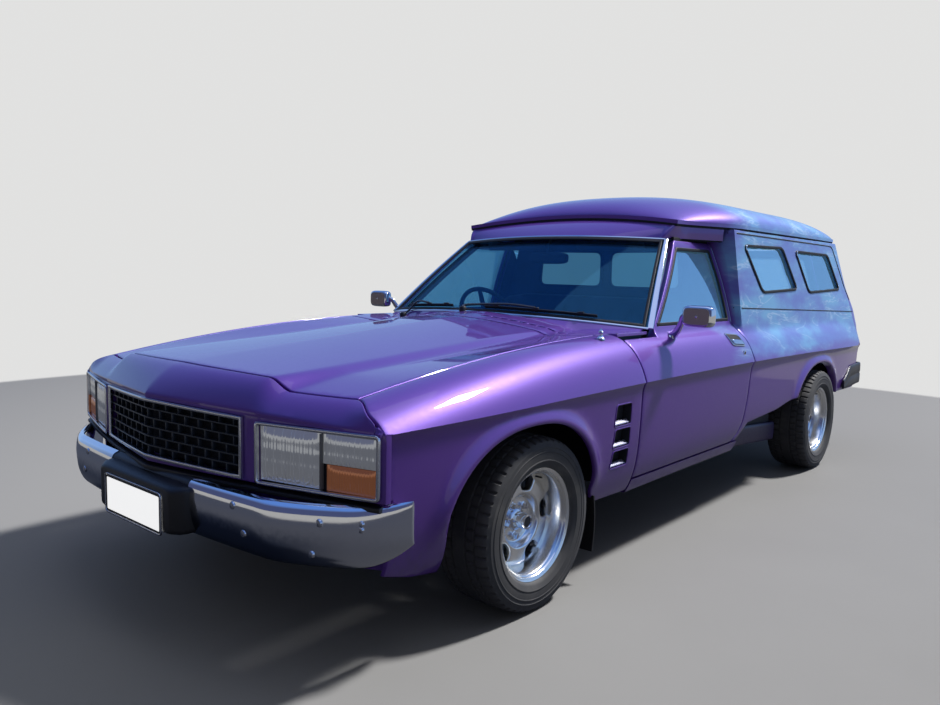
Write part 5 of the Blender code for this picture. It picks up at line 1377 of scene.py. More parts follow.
def build_side_glass():
    """The panes of the doors and rear sides, and the doors' seals."""
    for side, name in SIDES:
        pane = shrunk(divided(DOOR_HOLE, 0.05), 0.0008)
        mesh = sheet_panel(pane, side_skin(door_x, side, -0.012), along(-side * 0.006, 0, 0),
                           np.arange(0.95, 1.32, 0.04), spacing=0.05, hem=0.0008)
        new_piece("door_pane_" + name, mesh, "door_" + name, GLASS_PANE,
                  ["door_glass_" + name],
                  inner=GLOWING_PANE_BACK)
        loop = divided(shrunk(rounded(DOOR_HOLE, 0.020), 0.006), 0.04)
        seal = swept(on_side(door_x, side, loop, -0.003), pillow(0.016, 0.010, 4.0), up=(side, 0, 0),
                     closed=True)
        rear_edge = [(DOOR_REAR - 0.010, z) for z in np.linspace(0.94, 1.325, 20)]
        bright = swept(on_side(door_x, side, rear_edge, 0.0012), pillow(0.004, 0.003, 3.0), up=(side, 0, 0))
        new_piece("door_seal_" + name, seal, "door_" + name, RUBBER)
        new_piece("door_edge_strip_" + name, bright, "door_" + name, CHROME)
        for place, corners in SIDE_WINDOWS.items():
            pane = shrunk(rounded(corners, 0.045), 0.0008)
            mesh = sheet_panel(pane, side_skin(side_x, side, -0.010), along(-side * 0.006, 0, 0),
                               np.arange(1.08, 1.34, 0.05), spacing=0.05, hem=0.0008)
            new_piece(f"rear_pane_{name}_{place}", mesh, "body", GLASS_PANE,
                      [f"side_glass_{name}_{place}"], inner=GLOWING_PANE_BACK)


def build_side_trim():
    """The window rubbers, the belt line, the drip line and the bright corners."""
    for side, name in SIDES:
        seals, bright = [], []
        for corners in SIDE_WINDOWS.values():
            loop = divided(shrunk(rounded(corners, 0.045, 8), 0.002), 0.05)
            seals.append(swept(on_side(side_x, side, loop, 0.0015), pillow(0.015, 0.009, 4.0),
                               up=(side, 0, 0), closed=True))
            for k in (0, 2):
                loop = rounded(corners, 0.045, 8)[k * 8 + 1:k * 8 + 7]
                bright.append(swept(on_side(side_x, side, loop, 0.006), pillow(0.007, 0.004, 3.0),
                                    up=(side, 0, 0)))
        y = np.linspace(DOOR_REAR + 0.012, 3.800, 60)
        belt = np.stack([y, 1.014 - 0.065 * (y - 1.71) / 2.04], -1)
        seals.append(swept(on_side(side_x, side, belt, 0.0010), pillow(0.0055, 0.004, 3.0),
                           up=(side, 0, 0)))
        y = np.linspace(DOOR_REAR + 0.020, 3.40, 40)
        drip = np.stack([y, 1.393 - 0.004 * (y - 1.8)], -1)
        down = np.stack([np.linspace(3.475, 3.770, 24), np.linspace(1.365, 1.030, 24)], -1)
        corner = spline([drip[-1], (3.445, 1.382), down[0]], 7)[1:-1]
        path = np.concatenate([drip, corner, down])
        seals.append(swept(on_side(side_x, side, path, 0.0008), pillow(0.006, 0.004, 3.0), up=(side, 0, 0)))
        bright.append(swept(on_side(side_x, side, path[:-3] + (0.002, 0.0045), 0.0010),
                            pillow(0.0022, 0.003, 3.0), up=(side, 0, 0)))
        new_piece("window_rubbers_" + name, join(seals), "body", RUBBER)
        new_piece("bright_corners_" + name, join(bright), "body", CHROME)


build_side_glass()
build_side_trim()
tell("side glass and trim")

# %% [markdown]
# The front. A painted face holds a prowed grille between two wide lamps. The grille's cells are staggered
# like bricks. Everything follows the nose's plan curve, so flat (width, height) drawings bend with it.

# %% Nose face and grille
def on_nose(loop, offset=0.0):
    """The places on the nose's front for a flat line of (width, height) pairs."""
    loop = np.asarray(loop, float)
    return np.stack([loop[:, 0], nose_front(loop[:, 0]) + offset, loop[:, 1]], -1)


def grille_top(x):
    """Height of the grille's upper edge, which falls in a straight line from the middle."""
    return 0.741 - 0.035 * np.abs(x)


def grille_foot(x):
    """Height of the grille's lower edge, which falls in a straight line from the middle."""
    return 0.546 - 0.019 * np.abs(x)


GRILLE_HALF = 0.425
LAMP_LOOP = [(0.472, 0.530), (0.889, 0.536), (0.889, 0.722), (0.472, 0.719)]


def grille_loop(inset):
    """The grille's outline, moved in by inset."""
    x = np.linspace(-GRILLE_HALF + inset, GRILLE_HALF - inset, 25)
    foot, top = np.stack([x, grille_foot(x) + inset], -1), np.stack([x, grille_top(x) - inset], -1)
    return np.concatenate([foot, top[::-1]])


def build_nose_face():
    """The painted face with its three openings."""
    x = np.linspace(-0.900, 0.900, 41)
    outline = np.concatenate([np.stack([x, 0 * x + 0.531], -1),
                              np.stack([x, nose_edge_z(x) - 0.003], -1)[::-1]])
    lamp = rounded(shrunk(LAMP_LOOP, 0.007), 0.012)
    holes = [grille_loop(0.006), lamp, lamp[::-1] * (-1, 1)]

    def skin(x, z):
        return np.stack([x, nose_front(x) + 0.005, z], -1)

    mesh = sheet_panel(outline, skin, along(0, 0.020, 0), np.arange(0.540, 0.76, 0.012), holes,
                       spacing=0.02, hem=0.002)
    new_piece("nose_face", mesh, "body", PAINT)


def build_grille():
    """The frame, six rows of staggered cells, and a near-black sheet behind them, painted shade."""
    frame = swept(on_nose(grille_loop(0.006), -0.001), pillow(0.012, 0.013, 5.0), up=(0, -1, 0),
                  closed=True)
    new_piece("grille_frame", frame, "body", SATIN)
    parts = []
    rows = 6
    across = np.linspace(-0.412, 0.412, 33)
    for k in range(rows + 1):
        share = 0.5 + (k - rows / 2) * 0.93 / rows
        z = grille_foot(across) + (grille_top(across) - grille_foot(across)) * share
        bar = np.stack([across, nose_front(across) + 0.012, z], -1)
        parts.append(swept(bar, pillow(0.012, 0.0055, 5.0, 12), up=(0, 0, 1)))
        if k == rows:
            continue
        for j in range(-7, 8):
            x = j * 0.0585 + (0.029 if k % 2 else 0.0)
            if abs(x) > 0.405:
                continue
            low = grille_foot(x) + (grille_top(x) - grille_foot(x)) * share
            high = grille_foot(x) + (grille_top(x) - grille_foot(x)) * (share + 0.93 / rows)
            y = nose_front(x)
            parts.append(soft_box((x - 0.0025, y + 0.007, low), (x + 0.0025, y + 0.026, high), 0.001, 1))
    new_piece("grille_cells", join(parts), "body", GRILLE, ["grille"])
    # The sheet behind the cells is near-black: painted shade behind the grille.
    loop = grille_loop(0.010)
    mesh = sheet_panel(loop, lambda x, z: np.stack([x, nose_front(x) + 0.030, z], -1), along(0, 0.006, 0),
                       np.arange(0.55, 0.74, 0.03), spacing=0.05, hem=0.001)
    new_piece("grille_backing", mesh, "body", UNDERCOAT_AND_SHADE)


build_nose_face()
build_grille()
tell("nose face and grille")

# %% [markdown]
# A lamp's lens is a moulded pane. Upright flutes, half waves side by side, are added to a gentle swell.

# %% Front lamps
def fluted(x0, x1, z0, z1, side, pitch, deep, bulge):
    """A moulded lens in the lamp's plane: upright flutes are half waves of the given pitch."""
    columns = max(8, int(round((x1 - x0) / pitch)) * 6)
    xx, zz = np.meshgrid(np.linspace(x0, x1, columns + 1), np.linspace(z0, z1, 13), indexing="ij")
    u, v = 2 * (xx - x0) / (x1 - x0) - 1, 2 * (zz - z0) / (z1 - z0) - 1
    swell = bulge * (1 - u ** 4) * (1 - v ** 4)
    flute = deep * np.abs(np.sin(pi * (xx - x0) / pitch)) * (1 - u ** 8) * (1 - v ** 8)
    y = nose_front(xx) + 0.006 - swell - flute
    outer = np.stack([side * xx, y, zz], -1)
    back = outer.copy()
    back[..., 1] = nose_front(xx) + 0.012
    return shell(outer, back)


def build_lamps():
    """Each front lamp: frame, housing, head lens, clear and amber corner lenses, and a divider."""
    for side, name in SIDES:
        loop = divided(rounded(shrunk(LAMP_LOOP, 0.006), 0.010, 4), 0.03)
        path = on_nose(loop, -0.001) * (side, 1, 1)
        mesh = swept(path, pillow(0.011, 0.013, 5.0), up=(0, -1, 0), closed=True)
        new_piece("lamp_frame_" + name, mesh, "body", SATIN)
        # The housing behind the lenses is near-black: painted shade.
        back = rounded(shrunk(LAMP_LOOP, 0.008), 0.008)
        mesh = sheet_panel(back, lambda x, z: np.stack([side * x, nose_front(x) + 0.013, z], -1),
                           along(0, 0.012, 0), np.arange(0.55, 0.72, 0.03), spacing=0.03, hem=0.002)
        new_piece("lamp_housing_" + name, mesh, "body", UNDERCOAT_AND_SHADE)
        mesh = fluted(0.486, 0.697, 0.546, 0.706, side, 0.0102, 0.0016, 0.006)
        new_piece("head_lens_" + name, mesh, "body", HEAD_LENS, ["headlamp_" + name])
        clear = fluted(0.703, 0.874, 0.622, 0.706, side, 0.0085, 0.0014, 0.003)
        new_piece("corner_lens_clear_" + name, clear, "body", HEAD_LENS)
        mesh = fluted(0.716, 0.874, 0.546, 0.620, side, 0.0085, 0.0014, 0.003)
        new_piece("corner_lens_amber_" + name, mesh, "body", AMBER)
        front = float(nose_front(0.70))
        ribs = soft_box((side * 0.6980, front - 0.003, 0.546), (side * 0.7020, front + 0.012, 0.706))
        new_piece("lamp_divider_" + name, ribs, "body", DIVIDER)


build_lamps()
tell("front lamps")

# %% [markdown]
# The front bumper is one section carried along a bowed path whose tips turn back. The middle is moulded
# black with a blank number plate, and the two wings are chrome, each held by round-headed bolts.

# %% Front bumper
BUMPER_SECTION = [(0.010, 0.519), (-0.006, 0.512), (-0.014, 0.500), (-0.018, 0.475), (-0.019, 0.450),
                  (-0.014, 0.400),
                  (-0.004, 0.366), (0.012, 0.341), (0.026, 0.336), (0.036, 0.342)]
BUMPER_BACK = [(0.030, 0.360), (0.026, 0.395), (0.022, 0.445), (0.024, 0.503)]


def bumper_path(x):
    """Station of the bumper: a square of the width, and a steeper power near the tips."""
    x = np.abs(x)
    return -0.950 + 0.10 * x ** 2 + 0.80 * np.clip(x - 0.58, 0.0, None) ** 1.5


def bumper_ring(x):
    """The bumper's section at a width. Towards the tip it gets thinner and its foot rises."""
    tip = np.clip((abs(x) - 0.80) / 0.143, 0.0, 1.0) ** 2
    front = spline(BUMPER_SECTION, 27)
    section = np.concatenate([front,
                              spline([BUMPER_SECTION[-1]] + BUMPER_BACK + [BUMPER_SECTION[0]], 9)[1:-1]])
    z = section[:, 1]
    z = z + tip * np.where(z > 0.430, 0.020, (0.465 - z) * 0.62)
    return np.stack([0 * z + x, bumper_path(x) + 0.024 + section[:, 0] * (1 - 0.8 * tip), z], -1)


def build_bumper():
    """The chrome wings, the black middle, the filler above it and the bolts."""
    x = np.concatenate([np.linspace(0.252, 0.80, 28),
                        0.80 + 0.143 * np.sin(np.linspace(0, pi / 2, 18))[1:]])
    rings = np.array([bumper_ring(value) for value in x])
    wing = loft(rings)
    new_piece("bumper_wings", join([wing, mirrored(wing)]), "body", BUMPER, ["front_bumper"],
              sharp=50)
    middle = np.array([bumper_ring(value) for value in np.linspace(-0.256, 0.256, 21)])
    middle = middle + (0, 0.003, -0.002)
    rings = []
    for y, half, low, high in ((-0.984, 0.222, 0.356, 0.482), (-0.982, 0.232, 0.349, 0.489),
                               (-0.975, 0.238, 0.345, 0.493),
                               (-0.958, 0.258, 0.343, 0.499), (-0.935, 0.266, 0.343, 0.501),
                               (-0.905, 0.268, 0.345, 0.501)):
        ring = pillow(2 * half, high - low, 12.0, 48)
        rings.append(np.stack([ring[:, 0], 0 * ring[:, 0] + y, ring[:, 1] + (low + high) / 2], -1))
    new_piece("bumper_block", join([loft(middle), loft(rings)]), "body", BLACK,
              ["bumper_pad"], sharp=50)
    # The filler in the gap above the bumper is black: painted shade under the nose.
    across = np.linspace(-0.88, 0.88, 61)
    shelf = np.stack([across, nose_front(across) + 0.030, 0 * across + 0.514], -1)
    mesh = swept(shelf, pillow(0.070, 0.016, 6.0), up=(0, 0, 1))
    new_piece("bumper_gap_filler", mesh, "body", BLACK)
    bolts = []
    for side in (1, -1):
        for bx, bz in ((0.47, 0.478), (0.75, 0.474), (0.845, 0.478), (0.845, 0.452), (0.515, 0.400),
                       (0.725, 0.386)):
            ring = bumper_ring(bx)
            k = np.argmin(np.abs(ring[:27, 2] - bz))
            place = ring[k] * (side, 1, 1)
            head = [(0.0005, -0.004), (0.010, -0.003), (0.0125, 0.001), (0.0125, 0.004), (0.0005, 0.004)]
            if bx > 0.75:
                head = [(r * 0.8, a) for r, a in head]
            bolts.append(turned(head, place, 1.0, 20, "y"))
    new_piece("bumper_bolts", join(bolts), "body", SATIN)


def build_plate():
    """The blank number plate, its printed border and its frame."""
    half_x, low, high, y = 0.186, 0.336, 0.470, -0.985
    loop = rounded([(-half_x, low), (half_x, low), (half_x, high), (-half_x, high)], 0.018, 6)

    def at(inset, y):
        flat = shrunk(loop, inset)
        return np.stack([flat[:, 0], 0 * flat[:, 0] + y, flat[:, 1]], -1)

    mesh = loft([at(0.003, y - 0.0030), at(0.0025, y - 0.0026), at(0.0025, y + 0.001)])
    # The front plate's white glows: painted light.
    new_piece("number_plate", mesh, "body", GLOWING_PLATE_WHITE)
    mesh = swept(at(0.0085, y - 0.0032), pillow(0.0075, 0.002, 4.0), up=(0, -1, 0), closed=True)
    new_piece("plate_border", mesh, "body", BLACK)
    mesh = swept(at(0.0015, y - 0.0030), pillow(0.0055, 0.005, 4.0), up=(0, -1, 0), closed=True)
    new_piece("plate_frame", mesh, "body", SATIN)


build_bumper()
build_plate()
tell("front bumper")

# %% [markdown]
# Small parts on the sides. Each vent behind the front wheel is a cup of sheet metal set in its hole, with
# a bright lip along the foot.

# %% Vents
def cup(ring, deep):
    """A closed cup with a 2.5 mm wall: ring gives its loop, widened by the outset, at a depth."""
    wall = 0.0025
    return loft([ring(wall, -deep - wall), ring(wall, -0.002), ring(0.0, -0.002), ring(0.0, -deep)])


def build_vents():
    """Three cups in each guard, with a lip along the foot and a painted edge."""
    for side, name in SIDES:
        cups, lips, edges = [], [], []
        for y0, y1, z0, z1 in VENTS:
            corners = [drop(y0, z0), drop(y1, z0), drop(y1, z1), drop(y0 + 0.012, z1)]
            loop = divided(rounded(corners, 0.012, 4), 0.03)

            def ring(outset, depth):
                flat = shrunk(loop, 0.003 - outset)
                return guard_skin(side, depth)(flat[:, 0], flat[:, 1])

            cups.append(cup(ring, 0.036))
            foot = np.stack([np.linspace(y0 + 0.010, y1 - 0.008, 14), np.full(14, z0 + 0.012)], -1)
            flat = np.array([drop(y, z) for y, z in foot])
            path = guard_skin(side, -0.012)(flat[:, 0], flat[:, 1])
            lips.append(swept(path, pillow(0.022, 0.006, 4.0), up=(0.55 * side, 0, 0.83)))
            edge = guard_skin(side, 0.0005)(*shrunk(loop, -0.001).T)
            edges.append(swept(edge, pillow(0.005, 0.003, 3.0), up=(side, 0, 0), closed=True))
        new_piece("vent_recess_" + name, join(cups), "body", VENT_GREY)
        new_piece("vent_lips_" + name, join(lips), "body", VENT_LIP)
        new_piece("vent_edges_" + name, join(edges), "body", PAINT)


build_vents()
tell("vents")

# %% [markdown]
# The mirrors are polished castings, drawn as lofts through rings that stand square to the van's length.

# %% Mirrors
def upright_rings(rows, centre, power=5.0):
    """Rings square to the van's length. Each row is (y, width, height) and maybe a sideways shift."""
    rings = []
    for y, width, height, *shift in rows:
        ring = pillow(width, height, power, 40)
        rings.append(np.stack([ring[:, 0] + (shift[0] if shift else 0.0), 0 * ring[:, 0] + y, ring[:, 1]],
                              -1) + centre)
    return rings


def build_mirrors():
    """Each door mirror: a lofted head, arm and foot, a back panel and the glass."""
    for side, name in SIDES:
        body = "door_" + name
        centre = np.array([0.983, 0.985, 0.998])
        rows = [(-0.0200, 0.020, 0.010), (-0.0205, 0.090, 0.050), (-0.0195, 0.114, 0.070),
                (-0.0165, 0.127, 0.082),
                (-0.011, 0.1345, 0.0885), (-0.003, 0.138, 0.092), (0.016, 0.138, 0.092),
                (0.023, 0.1355, 0.0895),
                (0.026, 0.131, 0.085), (0.0255, 0.1265, 0.0805), (0.0215, 0.125, 0.079),
                (0.0205, 0.050, 0.030)]
        head = loft(upright_rings(rows, centre))
        arm_path = spline([(0.822, 1.062, 0.898), (0.838, 1.056, 0.908), (0.866, 1.040, 0.932),
                           (0.888, 1.022, 0.962),
                           (0.902, 1.008, 0.990), (0.925, 0.996, 1.004), (0.950, 0.992, 1.004)], 26)
        thick = 1.0 + 1.1 * (1 - np.linspace(0, 1, 26)) ** 3
        arm = swept(arm_path, pillow(0.024, 0.016, 3.0), up=(0.0, 1.0, 0.35), scale=thick)
        foot = []
        for z, wide, deep in ((0.878, 0.070, 0.042), (0.893, 0.068, 0.040), (0.899, 0.060, 0.033),
                              (0.905, 0.046, 0.024),
                              (0.912, 0.030, 0.016)):
            ring = pillow(deep, wide, 2.6, 28)
            foot.append(np.stack([ring[:, 0] + 0.826, ring[:, 1] + 1.064, 0 * ring[:, 0] + z], -1))
        screw = turned([(0.0005, -0.002), (0.006, -0.002), (0.006, 0.002), (0.0005, 0.003)],
                       centre + (0, -0.0205, 0), -1.0, 16, "y")
        parts = [head, arm, loft(foot), screw]
        mesh = join(parts if side > 0 else [mirrored(part) for part in parts])
        new_piece("door_mirror_" + name, mesh, body, CHROME, ["mirror_" + name], sharp=45)
        panel = loft(upright_rings([(-0.0226, 0.106, 0.062), (-0.0222, 0.112, 0.068),
                                    (-0.0180, 0.112, 0.068)], centre))
        new_piece("mirror_back_" + name, panel if side > 0 else mirrored(panel), body,
                  MIRROR_BACK)
        pane = loft(upright_rings([(0.0195, 0.1235, 0.0775), (0.0232, 0.1235, 0.0775),
                                   (0.0236, 0.1225, 0.0765)], centre))
        new_piece("mirror_glass_" + name, pane if side > 0 else mirrored(pane), body, MIRROR)


build_mirrors()
tell("mirrors")

# %% [markdown]
# A door handle is a lever in a near-black recess, which is painted shade, bent with the door's skin. Locks
# and the aerial are turned.

# %% Handles and aerial
HANDLE = [(1.580, 0.838), (1.716, 0.828), (1.706, 0.880), (1.574, 0.890)]


def build_handles():
    """Each door's handle in its recess, with a lock, and the aerial's base."""
    for side, name in SIDES:
        body = "door_" + name
        loop = divided(rounded(HANDLE, 0.014, 5), 0.03)
        black, bright = [], []
        # The recess behind the lever is near-black: painted shade. The lock's dark core is its keyhole.
        black.append(sheet_panel(shrunk(loop, 0.002), side_skin(door_x, side, 0.0022),
                                 along(-side * 0.006, 0, 0),
                                 np.arange(0.83, 0.89, 0.012), spacing=0.02, hem=0.001))
        bright.append(swept(on_side(door_x, side, loop, 0.0030), pillow(0.0065, 0.0065, 4.0),
                            up=(side, 0, 0), closed=True))
        lever = rounded([(1.592, 0.843), (1.700, 0.835), (1.696, 0.858), (1.592, 0.866)], 0.008, 4)
        bright.append(sheet_panel(divided(lever, 0.02), side_skin(door_x, side, 0.012),
                                  along(-side * 0.008, 0, 0),
                                  np.arange(0.835, 0.868, 0.008), spacing=0.015, hem=0.0035))
        lock = on_side(door_x, side, [(1.675, 0.795)], 0.0)[0]
        bright.append(turned([(0.0005, -0.003), (0.0125, -0.003), (0.0125, 0.002), (0.010, 0.004),
                              (0.0005, 0.0042)], lock, side, 24))
        black.append(turned([(0.0005, 0.0035), (0.0062, 0.0035), (0.0062, 0.0052), (0.0005, 0.0054)], lock,
                            side, 20))
        new_piece("door_handle_" + name, join(bright), body, CHROME)
        new_piece("handle_recess_" + name, join(black), body, UNDERCOAT_AND_SHADE)
    base = (0.800, 0.512, 0.914)
    mast = turned([(0.0005, -0.004), (0.017, -0.004), (0.0165, 0.003), (0.010, 0.008), (0.007, 0.014),
                   (0.0072, 0.020),
                   (0.0095, 0.024), (0.0085, 0.031), (0.0045, 0.035), (0.003, 0.040), (0.0005, 0.0405)],
                  base, 1.0, 24, "z")
    new_piece("aerial_base", mast, "body", CHROME)


build_handles()
tell("handles and aerial")

# %% [markdown]
# The wiper blades follow the windscreen's formula. The cell also makes what hangs low at the sides.

# %% Wipers, flaps and rockers
def build_wipers():
    """The wipers, the mud flaps, the inner sills and the rockers under the doors."""
    parts = []
    for x0, y0, low_u, high_u in ((-0.150, 0.770, -0.02, 0.72), (-0.600, 0.800, -0.80, -0.30)):
        hub = (x0, y0, float(bonnet_z(x0, y0)) + 0.004)
        parts.append(turned([(0.0005, -0.012), (0.019, -0.012), (0.019, 0.010), (0.014, 0.018),
                             (0.0005, 0.021)], hub, 1.0, 20, "z"))
        u = np.linspace(low_u, high_u, 25)
        blade = screen_point(u, np.full(25, 0.055)) + (0, -0.012, 0.010)
        arm = spline([np.array(hub) + (0, 0, 0.014), np.array(hub) + (0.010, 0.030, 0.026),
                      blade[6] + (0, -0.012, 0.016),
                      blade[12] + (0, -0.006, 0.010)], 20)
        parts.append(swept(arm, pillow(0.013, 0.008, 4.0, 10), up=(0, -0.5, 0.86),
                           scale=np.linspace(1.3, 0.75, 20)))
        parts.append(swept(blade, pillow(0.007, 0.009, 3.0, 8), up=(0, -0.7, 0.7)))
        parts.append(swept(blade + (0, 0.005, -0.007), pillow(0.003, 0.011, 3.0, 8), up=(0, -0.7, 0.7)))
        for k in (3, 12, 21):
            parts.append(soft_box(blade[k] - (0.016, 0.006, 0.002), blade[k] + (0.016, 0.006, 0.010), 0.003,
                                  2))
    new_piece("wipers", join(parts), "body", BLACK, sharp=40)
    flaps = []
    for side, name in SIDES:
        y = 0.352 + 0.012 * np.sin(np.linspace(0, pi, 12))[:, None]
        z = np.linspace(0.335, 0.118, 12)[:, None]
        x = side * np.linspace(0.735, 0.893, 7)[None]
        outer = np.stack(np.broadcast_arrays(x, y, z), -1)
        flaps.append(shell(outer, outer + (0, 0.006, 0)))
        sill = np.array([(side * 0.800, y,
                          0.335 - 0.075 * (y - 1.76)) for y in np.linspace(1.74, 2.43, 20)])
        mesh = swept(sill, pillow(0.045, 0.105, 5.0, 16), up=(0, 0, 1))
        # The inner sills take the darker violet: painted shade.
        new_piece("inner_sill_" + name, mesh, "body", SHADED_VIOLET)
        rings = []
        for y in np.linspace(DOOR_FRONT + 0.006, DOOR_REAR - 0.056, 30):
            z = np.concatenate([[0.2795], np.linspace(0.282, 0.339, 8), [0.3405]])
            x = lower_x(np.full(10, y), z) + 0.0006
            x[0], x[-1] = x[0] - 0.004, x[-1] - 0.004
            rings.append(np.stack([np.append(x, [0.800, 0.800]) * side, np.full(12, y),
                                   np.append(z, [0.3405, 0.2795])], -1))
        new_piece("rocker_" + name, loft(rings), "body", PAINT)
    new_piece("mud_flaps", join(flaps), "body", BLACK)


build_wipers()
tell("wipers, flaps and rockers")

# %% [markdown]
# Wheels. A tyre is a profile turned about the axle, whose tread radius also depends on the angle, which
# cuts the blocks. The deep polished wheel has a turned barrel, and a face with five slots cut through.

# %% Tyres
TYRE_RADIUS, RIM_HALF = 0.305, 0.095
WHEEL_FACE, REAR_WHEEL_OFFSET = 0.890, 0.034


def tyre_part(centre, side):
    """A profile of (radius, distance out, kind), whose kind says which row of tread blocks a point is on."""
    wall = [(0.1985, 0.096), (0.203, 0.103), (0.209, 0.108), (0.222, 0.1112), (0.2235, 0.1124),
            (0.2262, 0.1124),
            (0.2278, 0.1108), (0.240, 0.1118), (0.252, 0.1116), (0.2535, 0.1128), (0.2560, 0.1128),
            (0.2575, 0.1112),
            (0.268, 0.1104), (0.2695, 0.1116), (0.2740, 0.1112), (0.2755, 0.1098), (0.290, 0.1075)]
    tread = [(0.2945, 0.1035, 1), (0.2990, 0.0950, 1), (0.3015, 0.0860, 1), (0.3026, 0.0700, 1),
             (0.2962, 0.0685, 0),
             (0.2962, 0.0620, 0), (0.3033, 0.0600, 2), (0.3040, 0.0340, 2), (0.2970, 0.0325, 0),
             (0.2970, 0.0260, 0),
             (0.3046, 0.0240, 3), (0.3050, 0.0000, 3)]
    left = [(r, x, 0) for r, x in wall] + tread
    profile = np.array(left + [(r, -x, kind) for r, x, kind in left[-2::-1]])
    count = 260
    step = np.arange(count)[:, None]
    a = step * 2 * pi / count
    kind = profile[None, :, 2]
    phase = (step + kind * 2 + (profile[None, :, 1] > 0) * 2) % 5
    cut = (kind > 0) & (phase == 0)
    r = profile[None, :, 0] - cut * np.where(kind == 3, 0.003, 0.0065)
    x = profile[None, :, 1] + 0 * a - cut * (kind == 1) * np.sign(profile[None, :, 1]) * 0.0025
    points = np.stack([side * x, r * np.cos(a), r * np.sin(a)], -1) + centre
    return points.reshape(-1, 3), [grid_faces(count, len(profile), True, True)]


print("tyre radius", TYRE_RADIUS)

# %% [markdown]
# The alloy: a turned barrel, and a face whose slots are holes in a bent sheet.

# %% Alloy wheel
def barrel_part(centre, side):
    """The wheel's barrel, a profile of (radius, distance out) turned about the axle."""
    profile = [(0.160, 0.010), (0.1640, 0.0165), (0.1660, 0.030), (0.1690, 0.048), (0.1725, 0.064),
               (0.1755, 0.074),
               (0.1785, 0.0795), (0.1822, 0.0815), (0.1840, 0.0835), (0.1848, 0.0870), (0.1868, 0.0895),
               (0.1900, 0.0905),
               (0.1922, 0.0912), (0.1948, 0.0930), (0.1972, 0.0938), (0.1985, 0.0920), (0.1982, 0.0860),
               (0.1962, 0.080),
               (0.1962, 0.000), (0.1962, -0.080), (0.1975, -0.090), (0.1950, -0.0935), (0.1900, -0.088),
               (0.1860, -0.070),
               (0.1780, -0.040), (0.1720, -0.012), (0.1600, -0.004)]
    return turned(profile, centre, side, 128)


def wheel_face(r):
    """Distance out of the face: a sunk hub, an eased rise to the shelf, an eased fall to the rim."""
    return 0.002 + 0.028 * smooth((r - 0.080) / 0.018) - 0.012 * smooth((r - 0.146) / 0.020)


def face_part(centre, side):
    """The wheel's face with five slots, a sheet bent by the face formula."""
    a = np.linspace(0, 2 * pi, 72, endpoint=False)
    outline = 0.1655 * np.stack([np.cos(a), np.sin(a)], -1)
    holes = []
    for k in range(5):
        turn = radians(8 + 72 * k)
        out, way = np.array([cos(turn), sin(turn)]), np.array([-sin(turn), cos(turn)])
        corners = [out * 0.106 - way * 0.028, out * 0.157 - way * 0.044, out * 0.157 + way * 0.044,
                   out * 0.106 + way * 0.028]
        holes.append(rounded(corners, 0.018, 6))

    def skin(p, q):
        r = np.hypot(p, q)
        return np.stack([side * wheel_face(r), p, q], -1) + centre

    around = np.linspace(0, 2 * pi, 73)
    rings = [[(r * cos(t), r * sin(t)) for t in around] for r in (0.080, 0.084, 0.089, 0.094, 0.098)]
    return sheet_panel(outline, skin, along(-side * 0.028, 0, 0), np.arange(-0.165, 0.17, 0.009), holes,
                       lines=rings,
                       spacing=0.010, hem=0.004)


print("face at the hub and at the shelf", wheel_face(0.05), wheel_face(0.12))

# %% [markdown]
# A wheel is put together here, and made four times. The rear ones stand further out.

# %% Four wheels
def build_wheel(name, side, station, offset, body):
    """One wheel: tyre, alloy, hub with its nuts, a blank badge and the valve."""
    mid = WHEEL_FACE + offset - RIM_HALF - 0.002
    centre = np.array([side * mid, station, TYRE_RADIUS])
    new_piece("tread_tyre_" + name, tyre_part(centre, side), body, TYRE, ["tyre_" + name],
              sharp=38)
    mesh = join([barrel_part(centre, side), face_part(centre, side)])
    new_piece("slotted_wheel_" + name, mesh, body, ALLOY, ["rim_" + name], sharp=50)
    hub = [(0.0005, -0.004), (0.040, -0.004), (0.040, 0.006), (0.036, 0.010), (0.0295, 0.012),
           (0.0285, 0.016), (0.0275, 0.050),
           (0.026, 0.054), (0.021, 0.055), (0.019, 0.052), (0.0005, 0.052)]
    parts = [turned(hub, centre, side, 48)]
    for k in range(5):
        turn = radians(44 + 72 * k)
        spot = centre + (0, 0.058 * cos(turn), 0.058 * sin(turn))
        washer = [(0.0005, -0.002), (0.0150, -0.002), (0.0150, 0.0035), (0.012, 0.0050), (0.0005, 0.0050)]
        parts.append(turned(washer, spot, side, 20))
        nut = [(0.0005, 0.0), (0.0105, 0.0), (0.0105, 0.018), (0.0085, 0.022), (0.0005, 0.0235)]
        parts.append(turned(nut, spot, side, 6))
    new_piece("hub_and_nuts_" + name, join(parts), body, CHROME, sharp=30)
    disc = [(0.0005, 0.046), (0.0187, 0.046), (0.0187, 0.0526), (0.0005, 0.0532)]
    new_piece("hub_badge_blank_" + name, turned(disc, centre, side, 32), body, BLACK)
    valve = turned([(0.0005, -0.010), (0.0035, -0.010), (0.0035, 0.014), (0.002, 0.018), (0.0005, 0.018)],
                   centre + (side * 0.050, 0.1605 * cos(1.2), 0.1605 * sin(1.2)), side, 12)
    new_piece("tyre_valve_" + name, valve, body, RUBBER)


for side, name in SIDES:
    build_wheel("front_" + name, side, 0.0, 0.0, "wheel_front_" + name)
    build_wheel("rear_" + name, side, WHEELBASE, REAR_WHEEL_OFFSET, "wheel_rear_" + name)
tell("wheels")


# %% [markdown]
# Soft seats. A pad starts as a plain closed loft, a little thinner than the finished one. Cloth with
# pressure inside swells it, no point may move further than a cap, and the sewn grooves are pressed in after.

# %% Soft pads
def settled(piece):
    """Replaces the piece's mesh by what its modifiers make of it."""
    mesh = bpy.data.meshes.new_from_object(piece.evaluated_get(bpy.context.evaluated_depsgraph_get()))
    piece.modifiers.clear()
    piece.data = mesh
    return np.array([v.co for v in mesh.vertices])


